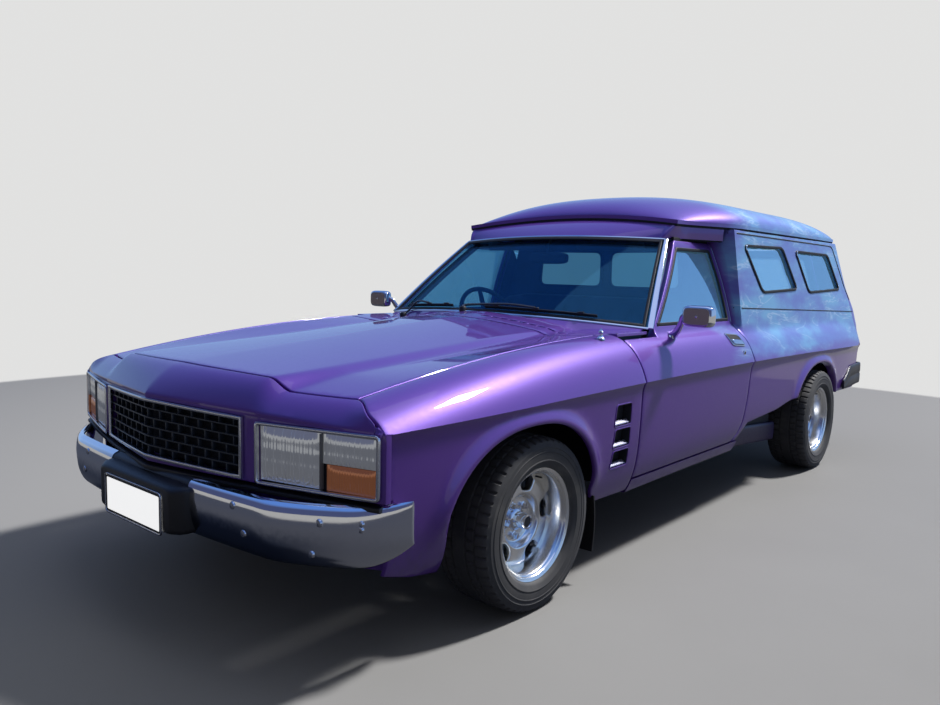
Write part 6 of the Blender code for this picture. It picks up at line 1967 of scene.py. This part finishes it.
def swollen(piece, voxel, cap, groove):
    """Swells the pad with cloth, then presses its sewn grooves in; groove gives each point's push."""
    remesh = piece.modifiers.new("even_grid", "REMESH")
    remesh.mode, remesh.voxel_size = "VOXEL", voxel
    rest = settled(piece)
    cloth = piece.modifiers.new("stuffing", "CLOTH")
    cloth.settings.use_pressure = True
    cloth.settings.uniform_pressure_force = 4.0
    cloth.settings.effector_weights.gravity = 0.0
    cloth.point_cache.frame_start, cloth.point_cache.frame_end = 1, 20
    for step in range(1, 21):
        bpy.context.scene.frame_set(step)
    moved = settled(piece)
    bpy.context.scene.frame_set(1)
    push = moved - rest
    length = np.linalg.norm(push, axis=1, keepdims=True)
    rest = rest + push * np.minimum(1.0, cap / np.maximum(length, 1e-9))
    rest = rest + groove(rest)
    piece.data.vertices.foreach_set("co", rest.ravel())
    smoother = piece.modifiers.new("one_level", "SUBSURF")
    smoother.levels = smoother.render_levels = 1
    settled(piece)
    piece.data.shade_smooth()


def pad_rings(half_x, section):
    """A pad's rings along x, whose ends pull in over the last few centimetres."""
    x = half_x * np.sin(np.linspace(-pi / 2, pi / 2, 9))
    middle = section.mean(axis=0)
    rings = []
    for value in x:
        shrink = 1.0 - 0.30 * (abs(value) / half_x) ** 14
        ring = middle + (section - middle) * shrink
        rings.append(np.stack([0 * ring[:, 0] + value, ring[:, 0], ring[:, 1]], -1))
    return loft(rings)


# %% [markdown]
# The bench: a cushion and a back, each swollen once, on a steel frame.

# %% Seat
def build_seat():
    """The bench: cushion and back swollen by cloth, sewn across, on a steel frame."""
    seams = np.array([-0.56, -0.42, -0.28, -0.14, 0.14, 0.28, 0.42, 0.56])

    def section(corners, radius):
        return divided(rounded(corners, radius, 6), 0.03)

    cushion = section([(1.142, 0.402), (1.135, 0.515), (1.175, 0.535), (1.500, 0.508), (1.560, 0.500),
                       (1.590, 0.400)], 0.035)
    mesh = pad_rings(0.672, cushion)
    piece = new_piece("seat_cushion", mesh, "body", CLOTH, ["seat"])

    def press_down(p):
        near = np.exp(-((p[:, :1] - seams[None]) / 0.008) ** 2).max(axis=1)
        middle = np.exp(-((p[:, 0]) / 0.010) ** 2)
        y = p[:, 1]
        inside = smooth((y - AXLE_Y - 1.19) / 0.02) * smooth((1.49 - y + AXLE_Y) / 0.02) * (p[:, 2] > 0.50)
        return np.stack([0 * near, 0 * near, -0.009 * np.maximum(near * inside, middle * (p[:, 2] > 0.50))],
                        -1)

    swollen(piece, 0.013, 0.022, press_down)
    back = section([(1.572, 0.560), (1.592, 0.540), (1.648, 0.560), (1.752, 1.045), (1.740, 1.066),
                    (1.705, 1.058)], 0.018)
    mesh = pad_rings(0.668, back)
    piece = new_piece("seat_back", mesh, "body", CLOTH, sharp=60)

    def press_back(p):
        near = np.exp(-((p[:, :1] - seams[None]) / 0.008) ** 2).max(axis=1)
        middle = np.exp(-((p[:, 0]) / 0.010) ** 2)
        inside = smooth((p[:, 2] - 0.60) / 0.02) * smooth((0.985 - p[:, 2]) / 0.02)
        front = p[:, 1] - AXLE_Y < 1.60 + (p[:, 2] - 0.56) * 0.26
        return np.stack([0 * near, 0.009 * front * np.maximum(near * inside, middle * 0.8), 0 * near], -1)

    swollen(piece, 0.013, 0.018, press_back)
    parts = []
    for side in (1, -1):
        frame = [(side * 0.62, 1.60, 0.385), (side * 0.62, 1.655, 0.56), (side * 0.62, 1.752, 1.00)]
        parts.append(swept(spline(frame, 12), circle(0.011, 10), up=(1, 0, 0)))
        parts.append(soft_box((side * 0.60, 1.16, 0.372), (side * 0.655, 1.60, 0.398), 0.006))
    parts.append(soft_box((-0.66, 1.20, 0.380), (0.66, 1.56, 0.404), 0.008))
    new_piece("seat_frame", join(parts), "body", IRON)


build_seat()
tell("seat")

# %% [markdown]
# The dashboard is one profile across the van, with a hooded binnacle in front of the driver, who sits on
# the van's right.

# %% Dashboard
def build_dashboard():
    """The padded dashboard with its dials, radio, vents, knobs and glovebox lid."""
    profile = spline([(0.700, 0.842), (0.806, 0.868), (0.930, 0.884), (1.005, 0.927), (1.060, 0.936),
                      (1.098, 0.930),
                      (1.116, 0.912), (1.112, 0.880), (1.092, 0.800), (1.062, 0.712), (1.030, 0.694),
                      (0.790, 0.636), (0.700, 0.650)], 64)
    rings = []
    for x in np.concatenate([-0.733 + 0.012 * (1 - np.cos(np.linspace(0, pi / 2, 4))),
                             [-0.60, -0.40, -0.20, 0.0, 0.20, 0.40, 0.60],
                             0.733 - 0.012 * (1 - np.cos(np.linspace(pi / 2, 0, 4)))]):
        shrink = 1 - 0.03 * (max(0.0, abs(x) - 0.721) / 0.012) ** 2
        ring = profile.mean(axis=0) + (profile - profile.mean(axis=0)) * shrink
        rings.append(np.stack([0 * ring[:, 0] + x, ring[:, 0], ring[:, 1]], -1))
    new_piece("dashboard_pad", loft(rings), "body", TRIM, ["dashboard"])
    dark, bright, white = [], [], []
    dark.append(loft([pillow(w, h, 5.0, 40) @ np.array([[1.0, 0, 0], [0, 0, 1.0]]) + (-0.35, y, z)
                      for y, w, h, z in ((1.060, 0.40, 0.120, 0.868), (1.112, 0.40, 0.118, 0.868),
                                         (1.126, 0.385, 0.104, 0.868),
                                         (1.120, 0.372, 0.092, 0.868))]))
    for x, r in ((-0.455, 0.040), (-0.355, 0.046), (-0.250, 0.040)):
        bright.append(turned([(r, 0.0), (r + 0.0035, 0.0), (r + 0.0035, 0.004), (r + 0.001, 0.006),
                              (r, 0.004)], (x, 1.1205, 0.868), 1.0, 40, "y"))
        for a in np.linspace(-2.2, 2.2, 11):
            spot = np.array([x + (r - 0.008) * sin(a), 1.1215, 0.868 + (r - 0.008) * cos(a)])
            white.append(soft_box(spot - (0.0012, 0.0005, 0.003), spot + (0.0012, 0.0008, 0.003), 0.0004,
                                  1))
        white.append(swept([(x, 1.123, 0.868), (x - 0.6 * r, 1.123, 0.868 + 0.45 * r)],
                           pillow(0.0016, 0.001, 4.0, 8), up=(0, 1, 0)))
    dark.append(soft_box((-0.090, 1.075, 0.760), (0.110, 1.104, 0.835), 0.006))
    bright.append(soft_box((-0.078, 1.1025, 0.775), (0.098, 1.1055, 0.822), 0.002))
    dark.append(soft_box((-0.050, 1.104, 0.785), (0.070, 1.107, 0.812), 0.001))
    for x in (-0.064, 0.084):
        bright.append(turned([(0.0005, 0.0), (0.011, 0.0), (0.011, 0.010), (0.009, 0.014),
                              (0.0005, 0.0145)], (x, 1.105, 0.798), 1.0, 20, "y"))
    for x in (-0.66, 0.04, 0.66):
        dark.append(soft_box((x - 0.050, 1.096, 0.872), (x + 0.050, 1.116, 0.908), 0.004))
        for k in range(4):
            bright.append(soft_box((x - 0.044, 1.112, 0.8755 + 0.008 * k),
                                   (x + 0.044, 1.119, 0.8785 + 0.008 * k), 0.001, 1))
    lid = soft_box((0.200, 1.070, 0.735), (0.600, 1.096, 0.845), 0.008)
    catch = soft_box((0.385, 1.094, 0.822), (0.415, 1.103, 0.836), 0.003)
    new_piece("instrument_panel", join(dark + [lid]), "body", BLACK)
    new_piece("dash_brightwork", join(bright + [catch]), "body", SATIN)
    # The dial marks glow with the plate white: painted light.
    new_piece("dial_marks", join(white), "body", GLOWING_PLATE_WHITE)


build_dashboard()
tell("dashboard")

# %% [markdown]
# The steering wheel is drawn flat and then tilted: a turn matrix and a centre place each of its parts.

# %% Steering wheel
def build_steering():
    """The steering wheel, tilted as one piece, its horn ring, and the column."""
    tilt = radians(-62)
    turn = np.array([[1, 0, 0], [0, cos(tilt), -sin(tilt)], [0, sin(tilt), cos(tilt)]])
    centre = np.array([-0.350, 1.220, 0.905])

    def placed(part):
        return np.asarray(part[0]) @ turn.T + centre, part[1]

    a = np.linspace(0, 2 * pi, 120, endpoint=False)
    ring = np.stack([0.190 * np.cos(a), 0.190 * np.sin(a), 0 * a], -1)
    rim = swept(ring, circle(0.0125, 12), up=(0, 0, 1), closed=True, scale=1.0 + 0.035 * np.sin(60 * a))
    parts = [placed(rim)]
    for way in (0.20, pi - 0.20, -pi / 2):
        t = np.linspace(0.030, 0.184, 10)
        path = np.stack([t * cos(way), t * sin(way), -0.012 + 0.012 * (t / 0.184) ** 2], -1)
        parts.append(placed(swept(path, pillow(0.034, 0.008, 4.0), up=(0, 0, 1),
                                  scale=np.linspace(1.25, 0.8, 10))))
    pad = turned([(0.0005, -0.020), (0.050, -0.020), (0.056, -0.010), (0.056, 0.004), (0.050, 0.014),
                  (0.038, 0.019), (0.0005, 0.021)],
                 (0, 0, 0), 1.0, 48, "z")
    hub = turned([(0.0005, -0.080), (0.024, -0.080), (0.026, -0.016), (0.0005, -0.016)], (0, 0, 0), 1.0, 24,
                 "z")
    new_piece("wheel_rim_and_spokes", join(parts + [placed(pad), placed(hub)]), "steering_wheel",
              BLACK, ["steering_wheel"])
    ring = turned([(0.030, 0.018), (0.034, 0.018), (0.034, 0.0215), (0.031, 0.0225), (0.030, 0.0205)],
                  (0, 0, 0), 1.0, 40, "z")
    new_piece("horn_ring", placed(ring), "steering_wheel", SATIN)
    shroud = turned([(0.0005, -0.200), (0.044, -0.196), (0.040, -0.120), (0.034, -0.092), (0.0005, -0.090)],
                    (0, 0, 0), 1.0, 32, "z")
    parts = [placed(shroud)]
    for side in (1, -1):
        path = np.array([(side * 0.030, 0, -0.110), (side * 0.080, 0.0, -0.098),
                         (side * 0.130, 0.002, -0.086)])
        parts.append(placed(swept(spline(path, 8), circle(0.0055, 8), up=(0, 0, 1))))
    new_piece("column_shroud", join(parts), "body", BLACK)


build_steering()
tell("steering wheel")

# %% [markdown]
# Behind the seats is a partition with two round-cornered windows.

# %% Cab fittings
def build_cab_fittings():
    """Partition, mirror, visors, gear lever, pedals and door cards."""
    window = rounded([(0.030, 1.094), (0.470, 1.094), (0.452, 1.302), (0.030, 1.298)], 0.045)
    holes = [window, window[::-1] * (-1, 1)]
    outline = [(-0.70, 0.62), (0.70, 0.62), (0.735, 0.95), (0.640, 1.335), (0.30, 1.372), (-0.30, 1.372),
               (-0.640, 1.335), (-0.735, 0.95)]
    mesh = sheet_panel(divided(outline, 0.06), lambda x, z: np.stack([x, 0 * x + 1.862, z], -1),
                       along(0, 0.012, 0),
                       np.arange(0.66, 1.36, 0.04), holes, spacing=0.05, hem=0.003)
    new_piece("cab_partition", mesh, "body", TRIM)
    seals, panes = [], []
    for side in (1, -1):
        flat = window[::-1] * (side, 1) if side < 0 else window
        loop = np.stack([flat[:, 0], 0 * flat[:, 0] + 1.860, flat[:, 1]], -1)
        seals.append(swept(loop, pillow(0.014, 0.016, 4.0), up=(0, -1, 0), closed=True))
        inner = shrunk(flat, 0.002)
        panes.append(loft([np.stack([inner[:, 0], 0 * inner[:, 0] + y, inner[:, 1]],
                                    -1) for y in (1.865, 1.869)]))
    new_piece("partition_seals", join(seals), "body", RUBBER)
    # The partition panes glow: painted light.
    new_piece("partition_panes", join(panes), "body", GLOWING_PARTITION_PANE)
    centre = np.array([0.015, 1.250, 1.245])
    rows = [(-0.014, 0.02, 0.006), (-0.016, 0.18, 0.034), (-0.012, 0.232, 0.052), (0.004, 0.242, 0.060),
            (0.011, 0.242, 0.060),
            (0.013, 0.234, 0.052)]
    head = loft(upright_rings(rows, centre, 4.0))
    stalk = swept(spline([(0.015, 1.245, 1.265), (0.010, 1.262, 1.310), (0.0, 1.300, 1.350)], 10),
                  circle(0.007, 10), up=(0, -1, 0))
    parts = [head, stalk]
    for side in (1, -1):
        visor = soft_box((side * 0.10, 1.385, 1.290), (side * 0.50, 1.400, 1.338), 0.006)
        parts.append(visor)
    new_piece("inner_mirror_and_visors", join(parts), "body", TRIM)
    glass = loft(upright_rings([(0.0125, 0.228, 0.047), (0.0145, 0.226, 0.045)], centre, 4.0))
    new_piece("inner_mirror_glass", glass, "body", MIRROR)
    parts = [turned([(0.0005, 0.0), (0.060, 0.0), (0.045, 0.020), (0.028, 0.060), (0.018, 0.085),
                     (0.0005, 0.088)], (0.0, 1.050, 0.575), 1.0, 32, "z"),
             swept(spline([(0.0, 1.050, 0.640), (-0.004, 1.062, 0.720), (-0.010, 1.085, 0.790)], 12),
                   circle(0.007, 10), up=(1, 0, 0)),
             turned([(0.0005, -0.020), (0.014, -0.018), (0.021, -0.004), (0.022, 0.006), (0.016, 0.018),
                     (0.0005, 0.023)], (-0.010, 1.088, 0.802), 1.0, 24, "z")]
    for x in (-0.275, -0.375, -0.480):
        parts.append(swept(spline([(x, 0.790, 0.600), (x, 0.810, 0.520), (x, 0.842, 0.440)], 8),
                           circle(0.007, 8), up=(1, 0, 0)))
        parts.append(soft_box((x - 0.028, 0.838, 0.410), (x + 0.028, 0.856, 0.470), 0.006))
    new_piece("gear_lever_and_pedals", join(parts), "body", BLACK)
    parts = []
    for side, name in SIDES:
        card = rounded([(0.82, 0.42), (1.66, 0.42), (1.70, 0.86), (0.78, 0.86)], 0.03)
        parts.append(sheet_panel(divided(card, 0.05), side_skin(lambda y, z: door_x(y, z) - 0.064, side),
                                 along(-side * 0.006, 0, 0),
                                 np.arange(0.46, 0.84, 0.04), spacing=0.05, hem=0.003))
        rest = soft_box((side * 0.808, 1.17, 0.690), (side * 0.850, 1.47, 0.725), 0.012)
        crank = turned([(0.0005, 0.0), (0.018, 0.0), (0.014, 0.014), (0.0005, 0.016)],
                       (side * 0.856, 1.05, 0.660), -side, 24)
        arm = soft_box((side * 0.840, 1.043, 0.575), (side * 0.848, 1.057, 0.660), 0.003)
        new_piece("door_card_" + name, join([parts[-1], rest, crank, arm]), "door_" + name,
                  TRIM)


build_cab_fittings()
tell("cab fittings")


# %% [markdown]
# The tail. One skin formula, the station for each width and height, carries the frame, both gates, the
# glass and the lamps. The lower gate has a pressed panel for its plate, and its mesh has a line along
# both edges of the pressing.

# %% Tail
GATE_HALF, GATE_SPLIT, GATE_FOOT, GATE_HEAD = 0.640, 0.965, 0.640, GUTTER_HEIGHT - 0.045
TAIL_CREASES = [0.560, 0.700, 0.813, 0.951, 1.085, 1.250]
PRESS_HALF, PRESS_LOW, PRESS_HIGH = 0.430, 0.690, 0.850
PRESSING = [(-PRESS_HALF, PRESS_LOW), (PRESS_HALF, PRESS_LOW), (PRESS_HALF, PRESS_HIGH),
            (-PRESS_HALF, PRESS_HIGH)]


def tail_skin(offset=0.0, press=0.0):
    """The tail's outer face; press is the depth of the gate's pressing, eased over 14 mm."""
    def skin(x, z):
        edge = np.minimum(PRESS_HALF - np.abs(x), np.minimum(z - PRESS_LOW, PRESS_HIGH - z))
        return np.stack([x, tail_y(x, z) + offset - press * smooth(edge / 0.014), z], -1)
    return skin


def tail_half(z):
    """Half width of the tail's frame at a height, just inside the side's corner."""
    return float(side_x(np.array(tail_y(TAIL_EDGE_X, z)), np.array(z))) - 0.044


def on_tail(loop, offset=0.0):
    """The places on the tail for a flat line of (width, height) pairs."""
    loop = np.asarray(loop, float)
    return tail_skin(offset)(loop[:, 0], loop[:, 1])


def build_tail():
    """The tail's frame, both gates, the rear glass, its seal, the handle and the blank plate."""
    heights = np.linspace(0.430, GUTTER_HEIGHT - 0.002, 30)
    right = [(tail_half(z), z) for z in heights]
    loop = right + [(-x, z) for x, z in right[::-1]]
    hole = [(GATE_HALF, GATE_FOOT), (GATE_HALF, GATE_SPLIT), (GATE_HALF - 0.045, GATE_HEAD),
            (-GATE_HALF + 0.045, GATE_HEAD), (-GATE_HALF, GATE_SPLIT), (-GATE_HALF, GATE_FOOT)]
    rows = np.arange(0.45, 1.41, 0.030)
    mesh = sheet_panel(loop, tail_skin(), along(0, -0.035, 0), rows, [rounded(hole, 0.012, 3)],
                       TAIL_CREASES, spacing=0.045)
    # The backs of the frame and both gates are near-black: painted shade inside the load space.
    new_piece("tail_frame", mesh, "body", PAINT, ["rear_frame"], inner=UNDERCOAT_AND_SHADE)
    g = SHUT_GAP
    low = rounded([(-GATE_HALF + g, GATE_FOOT + g), (GATE_HALF - g, GATE_FOOT + g),
                   (GATE_HALF - g, GATE_SPLIT - 0.004),
                   (-GATE_HALF + g, GATE_SPLIT - 0.004)], 0.010, 3)
    lines = [divided(shrunk(PRESSING, d), 0.03).tolist() for d in (0.0, 0.005, 0.010, 0.014)]
    lines = [line + line[:1] for line in lines]
    mesh = sheet_panel(low, tail_skin(press=0.009), along(0, -0.036, 0), rows, (), (), lines, spacing=0.035,
                       draft=0.006)
    new_piece("lower_gate", mesh, "tailgate", PAINT, ["tailgate"], inner=UNDERCOAT_AND_SHADE)
    slope = 0.045 / (GATE_HEAD - GATE_SPLIT)
    low_z, high_z = GATE_SPLIT + 0.004, GATE_HEAD - g
    high = rounded([(-GATE_HALF + g, low_z), (GATE_HALF - g, low_z),
                    (GATE_HALF - g - slope * (high_z - low_z), high_z),
                    (-GATE_HALF + g + slope * (high_z - low_z), high_z)], 0.010, 3)
    pane = [(-0.570, low_z + 0.05), (0.570, low_z + 0.05), (0.570 - slope * 0.30, high_z - 0.055),
            (-0.570 + slope * 0.30, high_z - 0.055)]
    opening = rounded(pane, 0.04)
    mesh = sheet_panel(high, tail_skin(), along(0, -0.030, 0), rows, [opening], [1.085, 1.250],
                       spacing=0.035, draft=0.006)
    new_piece("upper_gate", mesh, "liftgate", PAINT, ["liftgate"], inner=UNDERCOAT_AND_SHADE)
    mesh = sheet_panel(shrunk(opening, 0.0008), tail_skin(-0.008), along(0, -0.006, 0), rows, (),
                       [1.085, 1.250],
                       spacing=0.05, hem=0.0008)
    new_piece("upper_gate_pane", mesh, "liftgate", GLASS_PANE, ["liftgate_glass"],
              inner=GLOWING_PANE_BACK)
    seal = swept(on_tail(divided(shrunk(rounded(pane, 0.04, 8), 0.002), 0.04), 0.0015),
                 pillow(0.015, 0.008, 4.0), up=(0, 1, 0), closed=True)
    edge = [(x, low_z + 0.004) for x in np.linspace(-0.615, 0.615, 40)]
    lip = swept(on_tail(edge, 0.001), pillow(0.005, 0.004, 3.0), up=(0, 1, 0))
    new_piece("upper_gate_seal", join([seal, lip]), "liftgate", RUBBER)
    grip = [(x, 0.922 + 0.006 * (x / 0.07) ** 2) for x in np.linspace(-0.070, 0.070, 17)]
    lift = 0.016 * np.sin(np.linspace(0, pi, 17))[:, None] ** 0.5 * (0, 1, 0)
    handle = swept(on_tail(grip, 0.004) + lift, pillow(0.016, 0.010, 3.0), up=(0, 1, 0))
    spot = on_tail([(0.0, 0.895)])[0]
    lock = turned([(0.0005, -0.004), (0.013, -0.004), (0.013, 0.002), (0.010, 0.005), (0.0005, 0.005)],
                  spot, -1.0, 24, "y")
    new_piece("gate_handle", join([handle, lock]), "tailgate", CHROME)
    plate = rounded([(-0.186, 0.703), (0.186, 0.703), (0.186, 0.837), (-0.186, 0.837)], 0.018, 5)
    mesh = loft([on_tail(shrunk(plate, inset), out) for inset, out in
                 ((0.0025, -0.0095), (0.0025, -0.0020), (0.003, -0.0015))])
    # The rear plate is the dimmed white: painted shade.
    new_piece("rear_plate", mesh, "tailgate", DIMMED_REAR_PLATE)
    mesh = swept(on_tail(shrunk(plate, 0.0085), -0.0014), pillow(0.0075, 0.002, 4.0), up=(0, 1, 0),
                 closed=True)
    new_piece("rear_plate_border", mesh, "tailgate", BLACK)


build_tail()
tell("tail")

# %% [markdown]
# Each tail lamp stands a little outside the tail's skin and has three coloured lenses.

# %% Tail lamps
def build_tail_lamps():
    """Each tail lamp: a frame and three coloured lenses."""
    for side, name in SIDES:
        frame = rounded([(0.667, 0.642), (0.783, 0.642), (0.783, 0.798), (0.667, 0.798)], 0.012, 4)
        turned_frame = frame * (side, 1)
        edge = swept(on_tail(divided(shrunk(turned_frame, 0.004), 0.03), 0.009), pillow(0.008, 0.016, 4.0),
                     up=(0, 1, 0), closed=True)
        new_piece("lamp_frame_rear_" + name, edge, "body", CHROME)
        for part, low, high, look in (("reverse", 0.650, 0.686, HEAD_LENS), ("brake", 0.6875, 0.752, RED),
                                      ("turn", 0.7535, 0.790, AMBER)):
            loop = rounded([(0.675, low), (0.775, low), (0.775, high), (0.675, high)], 0.006, 3) * (side, 1)
            mesh = sheet_panel(loop, tail_skin(0.013), along(0, -0.012, 0), np.arange(0.65, 0.80, 0.012),
                               spacing=0.016, hem=0.003)
            stands = ["tail_lamp_" + name] if part == "brake" else []
            new_piece(f"lamp_{part}_{name}", mesh, "body", look, stands)


build_tail_lamps()
tell("tail lamps")

# %% [markdown]
# The rear bumper's section is ribbed, and it changes along its path round the tail.

# %% Rear bumper
def build_rear_bumper():
    """The wrap-round bumper: a ribbed section carried along its path, thinner along the sides."""
    ends = []
    for back in (0.490, 0.375, 0.260, 0.175, 0.090):
        ends.append((float(side_x(np.array(TAIL - back), np.array(0.51))) + 0.018, TAIL - back))
    path = ends + [(ends[-1][0] - 0.006, TAIL), (ends[-1][0] - 0.030, TAIL + 0.034),
                   (0.760, REAR_END - 0.022),
                   (0.600, REAR_END - 0.014), (0.300, REAR_END - 0.004), (0.0, REAR_END)]
    path = spline(path, 60)
    run = np.gradient(path, axis=0)
    outward = unit(np.stack([-run[:, 1], run[:, 0]], -1)) * -1
    outward *= np.sign(np.sum(outward * (path - (0.0, TAIL - 0.5)), axis=1, keepdims=True))
    rings = []
    for (x, y), (nx, ny) in zip(path, outward):
        back = TAIL - y
        full = smooth((0.490 - back) / 0.20)
        deep = 0.014 + 0.016 * smooth((0.03 - back) / 0.08)
        top, foot = 0.502 + (0.585 - 0.502) * full, 0.440
        middle = (top + foot) / 2
        drawn = [(0.45, top), (0.18, top - 0.003), (0.04, top - 0.012), (0.0, top - 0.026),
                 (0.0, middle + 0.010), (0.12, middle + 0.006),
                 (0.12, middle - 0.006), (0.0, middle - 0.010), (0.0, foot + 0.022), (0.05, foot + 0.010),
                 (0.18, foot + 0.003),
                 (0.45, foot), (0.92, foot), (1.0, foot + 0.006), (1.0, top - 0.006), (0.92, top)]
        rings.append([(x - nx * deep * d, y - ny * deep * d, z) for d, z in drawn])
    rings = np.array(rings)
    rings = np.concatenate([rings, (rings[-2::-1] * (-1, 1, 1))])
    new_piece("rear_bumper_cover", loft(rings), "body", BLACK, ["rear_bumper"], sharp=50)


build_rear_bumper()
tell("rear bumper")

# %% [markdown]
# The apron under the front bumper is one more bent sheet.

# %% Apron
def build_apron():
    """The painted apron under the front bumper, swept back at its ends by a power of the width."""
    low = [(-0.835, 0.300), (-0.40, 0.290), (0.40, 0.290), (0.835, 0.300), (0.835, 0.533), (0.45, 0.530),
           (0.0, 0.527),
           (-0.45, 0.530), (-0.835, 0.533)]

    def skin(x, z):
        sweep_back = 0.14 * np.clip(np.abs(x) - 0.62, 0.0, None) ** 1.2
        return np.stack([x, nose_front(x) + 0.070 + sweep_back + 0.10 * (0.52 - z), z], -1)

    slot = rounded([(-0.30, 0.330), (0.30, 0.330), (0.30, 0.352), (-0.30, 0.352)], 0.008, 3)
    mesh = sheet_panel(divided(rounded(low, 0.010, 3), 0.04), skin, along(0, 0.022, 0),
                       np.arange(0.31, 0.53, 0.025), [slot],
                       spacing=0.04)
    new_piece("front_apron", mesh, "body", PAINT, ["front_valance"], inner=UNDERCOAT_AND_SHADE)


build_apron()
tell("apron")

# %% [markdown]
# What is left of the CAD model, mostly underneath, is already the right shape. It only needs finishes.

# %% Underneath
UNDERSIDE = {"floor_pan": IRON, "subframe": IRON, "engine": CASTING, "rear_axle": IRON,
             "fuel_tank": CASTING,
             "exhaust": STEEL, "knuckle_left": CASTING, "knuckle_right": CASTING}
for name, node in frame["nodes"].items():
    if name not in STOOD_FOR:
        finish = UNDERSIDE.get(name, TRIM)
        for k in range(len(node.data.materials)):
            node.data.materials[k] = finish
        print("carried over:", name, finish.name)

# %% [markdown]
# The photographer stood at the front left. The camera is placed by its measured position and angles, and
# its lens gives the same field of view.

# %% Camera
PHOTO_WIDTH = 940


def build_camera():
    """The camera, turned first about the upright axis, then up or down, then rolled."""
    yaw, pitch, roll, focal = 0.7102, 0.1020, 0.0224, 784.304
    front = Vector((-sin(yaw) * cos(pitch), cos(yaw) * cos(pitch), -sin(pitch)))
    level = front.cross(Vector((0, 0, 1))).normalized()
    high = level.cross(front)
    right = level * cos(roll) + high * sin(roll)
    up = high * cos(roll) - level * sin(roll)
    data = bpy.data.cameras.new("camera")
    data.sensor_fit, data.sensor_width = "HORIZONTAL", 36.0
    data.lens = focal * 36.0 / PHOTO_WIDTH
    camera = bpy.data.objects.new("camera", data)
    turn = Matrix((right, up, -front)).transposed()
    camera.matrix_world = Matrix.Translation((2.4115, -3.6417, 1.1626)) @ turn.to_4x4()
    bpy.context.scene.collection.objects.link(camera)
    bpy.context.scene.camera = camera


build_camera()
print("camera at", [round(v, 3) for v in bpy.context.scene.camera.matrix_world.translation])

# %% [markdown]
# Floor and sky are pale. One broad lamp hangs overhead, and a small strong one stands high behind the
# van's left side.

# %% Sky, floor and lamps
def build_lamp(name, place, aim, size, power, color=(1.0, 1.0, 1.0)):
    """A rectangular lamp at a place, aimed at a point."""
    data = bpy.data.lights.new(name, "AREA")
    data.shape, data.size, data.size_y, data.energy, data.color = "RECTANGLE", size[0], size[1], power, color
    lamp = bpy.data.objects.new(name, data)
    lamp.location = place
    lamp.rotation_euler = (Vector(aim) - Vector(place)).to_track_quat("-Z", "Y").to_euler()
    bpy.context.scene.collection.objects.link(lamp)


def build_world():
    """A pale studio sky: blue overhead and dimmer in front of the van, off-white where the camera sees it."""
    world = bpy.data.worlds.new("pale_sky")
    bpy.context.scene.world = world
    world.use_nodes = True
    tree = world.node_tree
    tree.nodes.clear()
    shade = Shade(tree)
    y, z = shade.node("TexCoord", out=0).split()[1:]
    high = shade.mix(z.eased(0.10, 0.75), (0.28, 0.45, 0.78), (0.095, 0.215, 0.60))
    front = (1.0 - y.eased(-0.60, -0.05)) * (1.0 - z.eased(0.40, 0.85))
    blue = shade.mix(front, high, (0.055, 0.070, 0.160))
    ray = shade.node("LightPath")
    outs = ray.socket.node.outputs
    seen = Shade(tree, outs["Is Camera Ray"])
    mirror = Shade(tree, outs["Is Glossy Ray"])
    through = Shade(tree, outs["Is Transmission Ray"])
    sky = shade.mix(mirror, (0.62, 0.64, 0.70), blue)
    color = shade.mix(shade.math("MAXIMUM", seen, through), sky, (0.755, 0.755, 0.75))
    strength = shade.math("MAXIMUM", shade.math("MAXIMUM", seen, through), mirror) * 0.80 + 0.20
    back = shade.node("Background", Color=color, Strength=strength)
    output = tree.nodes.new("ShaderNodeOutputWorld")
    tree.links.new(back.socket, output.inputs["Surface"])


def build_floor():
    """A disc that is floor near the van and blends into the wall's colour further out. Painted light makes
    one side of it lighter, and painted shade makes it near-black in reflections and bounced light.
    """
    a = np.linspace(0, 2 * pi, 96, endpoint=False)
    radii = np.array([0.01, 2.0, 5.0, 12.0, 40.0])[:, None]
    points = np.stack([radii * np.cos(a), radii * np.sin(a), 0 * radii * a], -1).reshape(-1, 3)
    mesh = bpy.data.meshes.new("floor")
    mesh.from_pydata(points.tolist(), [], grid_faces(5, 96, False, True).tolist() + [list(range(96))[::-1]])
    floor = bpy.data.objects.new("floor", mesh)
    bpy.context.scene.collection.objects.link(floor)
    made, shade = new_tree("floor_painted_light_and_shade")
    place = shade.node("TexCoord", out=3)
    x, y = place.split()[:2]
    tone = shade.noise(place, 1.2, 5.0)
    # Painted light on the floor: lighter towards one side, darker towards the other.
    across = (x * 0.76 + y * 0.65 + (tone - 0.5) * 0.8).eased(-2.6, 2.6)
    pale = shade.mix(across, (0.405, 0.403, 0.398), (0.212, 0.210, 0.206))
    seen = Shade(shade.tree, shade.node("LightPath").socket.node.outputs["Is Camera Ray"])
    # For all but the camera's rays the floor is near-black: painted shade in its reflections on the van and
    # in the light it bounces.
    color = shade.mix(seen, (0.050, 0.052, 0.060), pale)
    grain = shade.noise(place, 160.0, 3.0)
    bump = shade.node("Bump", Strength=0.15, Distance=0.001, Height=grain)
    ground = shade.node("BsdfPrincipled", Base_Color=color, Roughness=0.75, Normal=bump)
    wall = shade.node("Emission", Color=(0.755, 0.755, 0.75, 1.0), Strength=seen * 0.50 + 0.50)
    radius = ((x + 0.30) ** 2 + (y + 0.10) ** 2) ** 0.5
    beyond = radius.eased(5.62, 5.78)
    mesh.materials.append(finished(made, shade.node("MixShader", i0=beyond, i1=ground, i2=wall)))


build_world()
build_floor()
build_lamp("overhead", (1.2, -0.4, 8.0), (0.2, 0.0, 0.6), (6.0, 8.0), 60.0, (0.92, 0.96, 1.0))
build_lamp("high_sun", (4.4, 7.6, 12.4), (0.0, 0.0, 0.7), (1.5, 1.5), 3000.0, (1.0, 0.98, 0.96))
bpy.context.scene.view_settings.view_transform = "Standard"
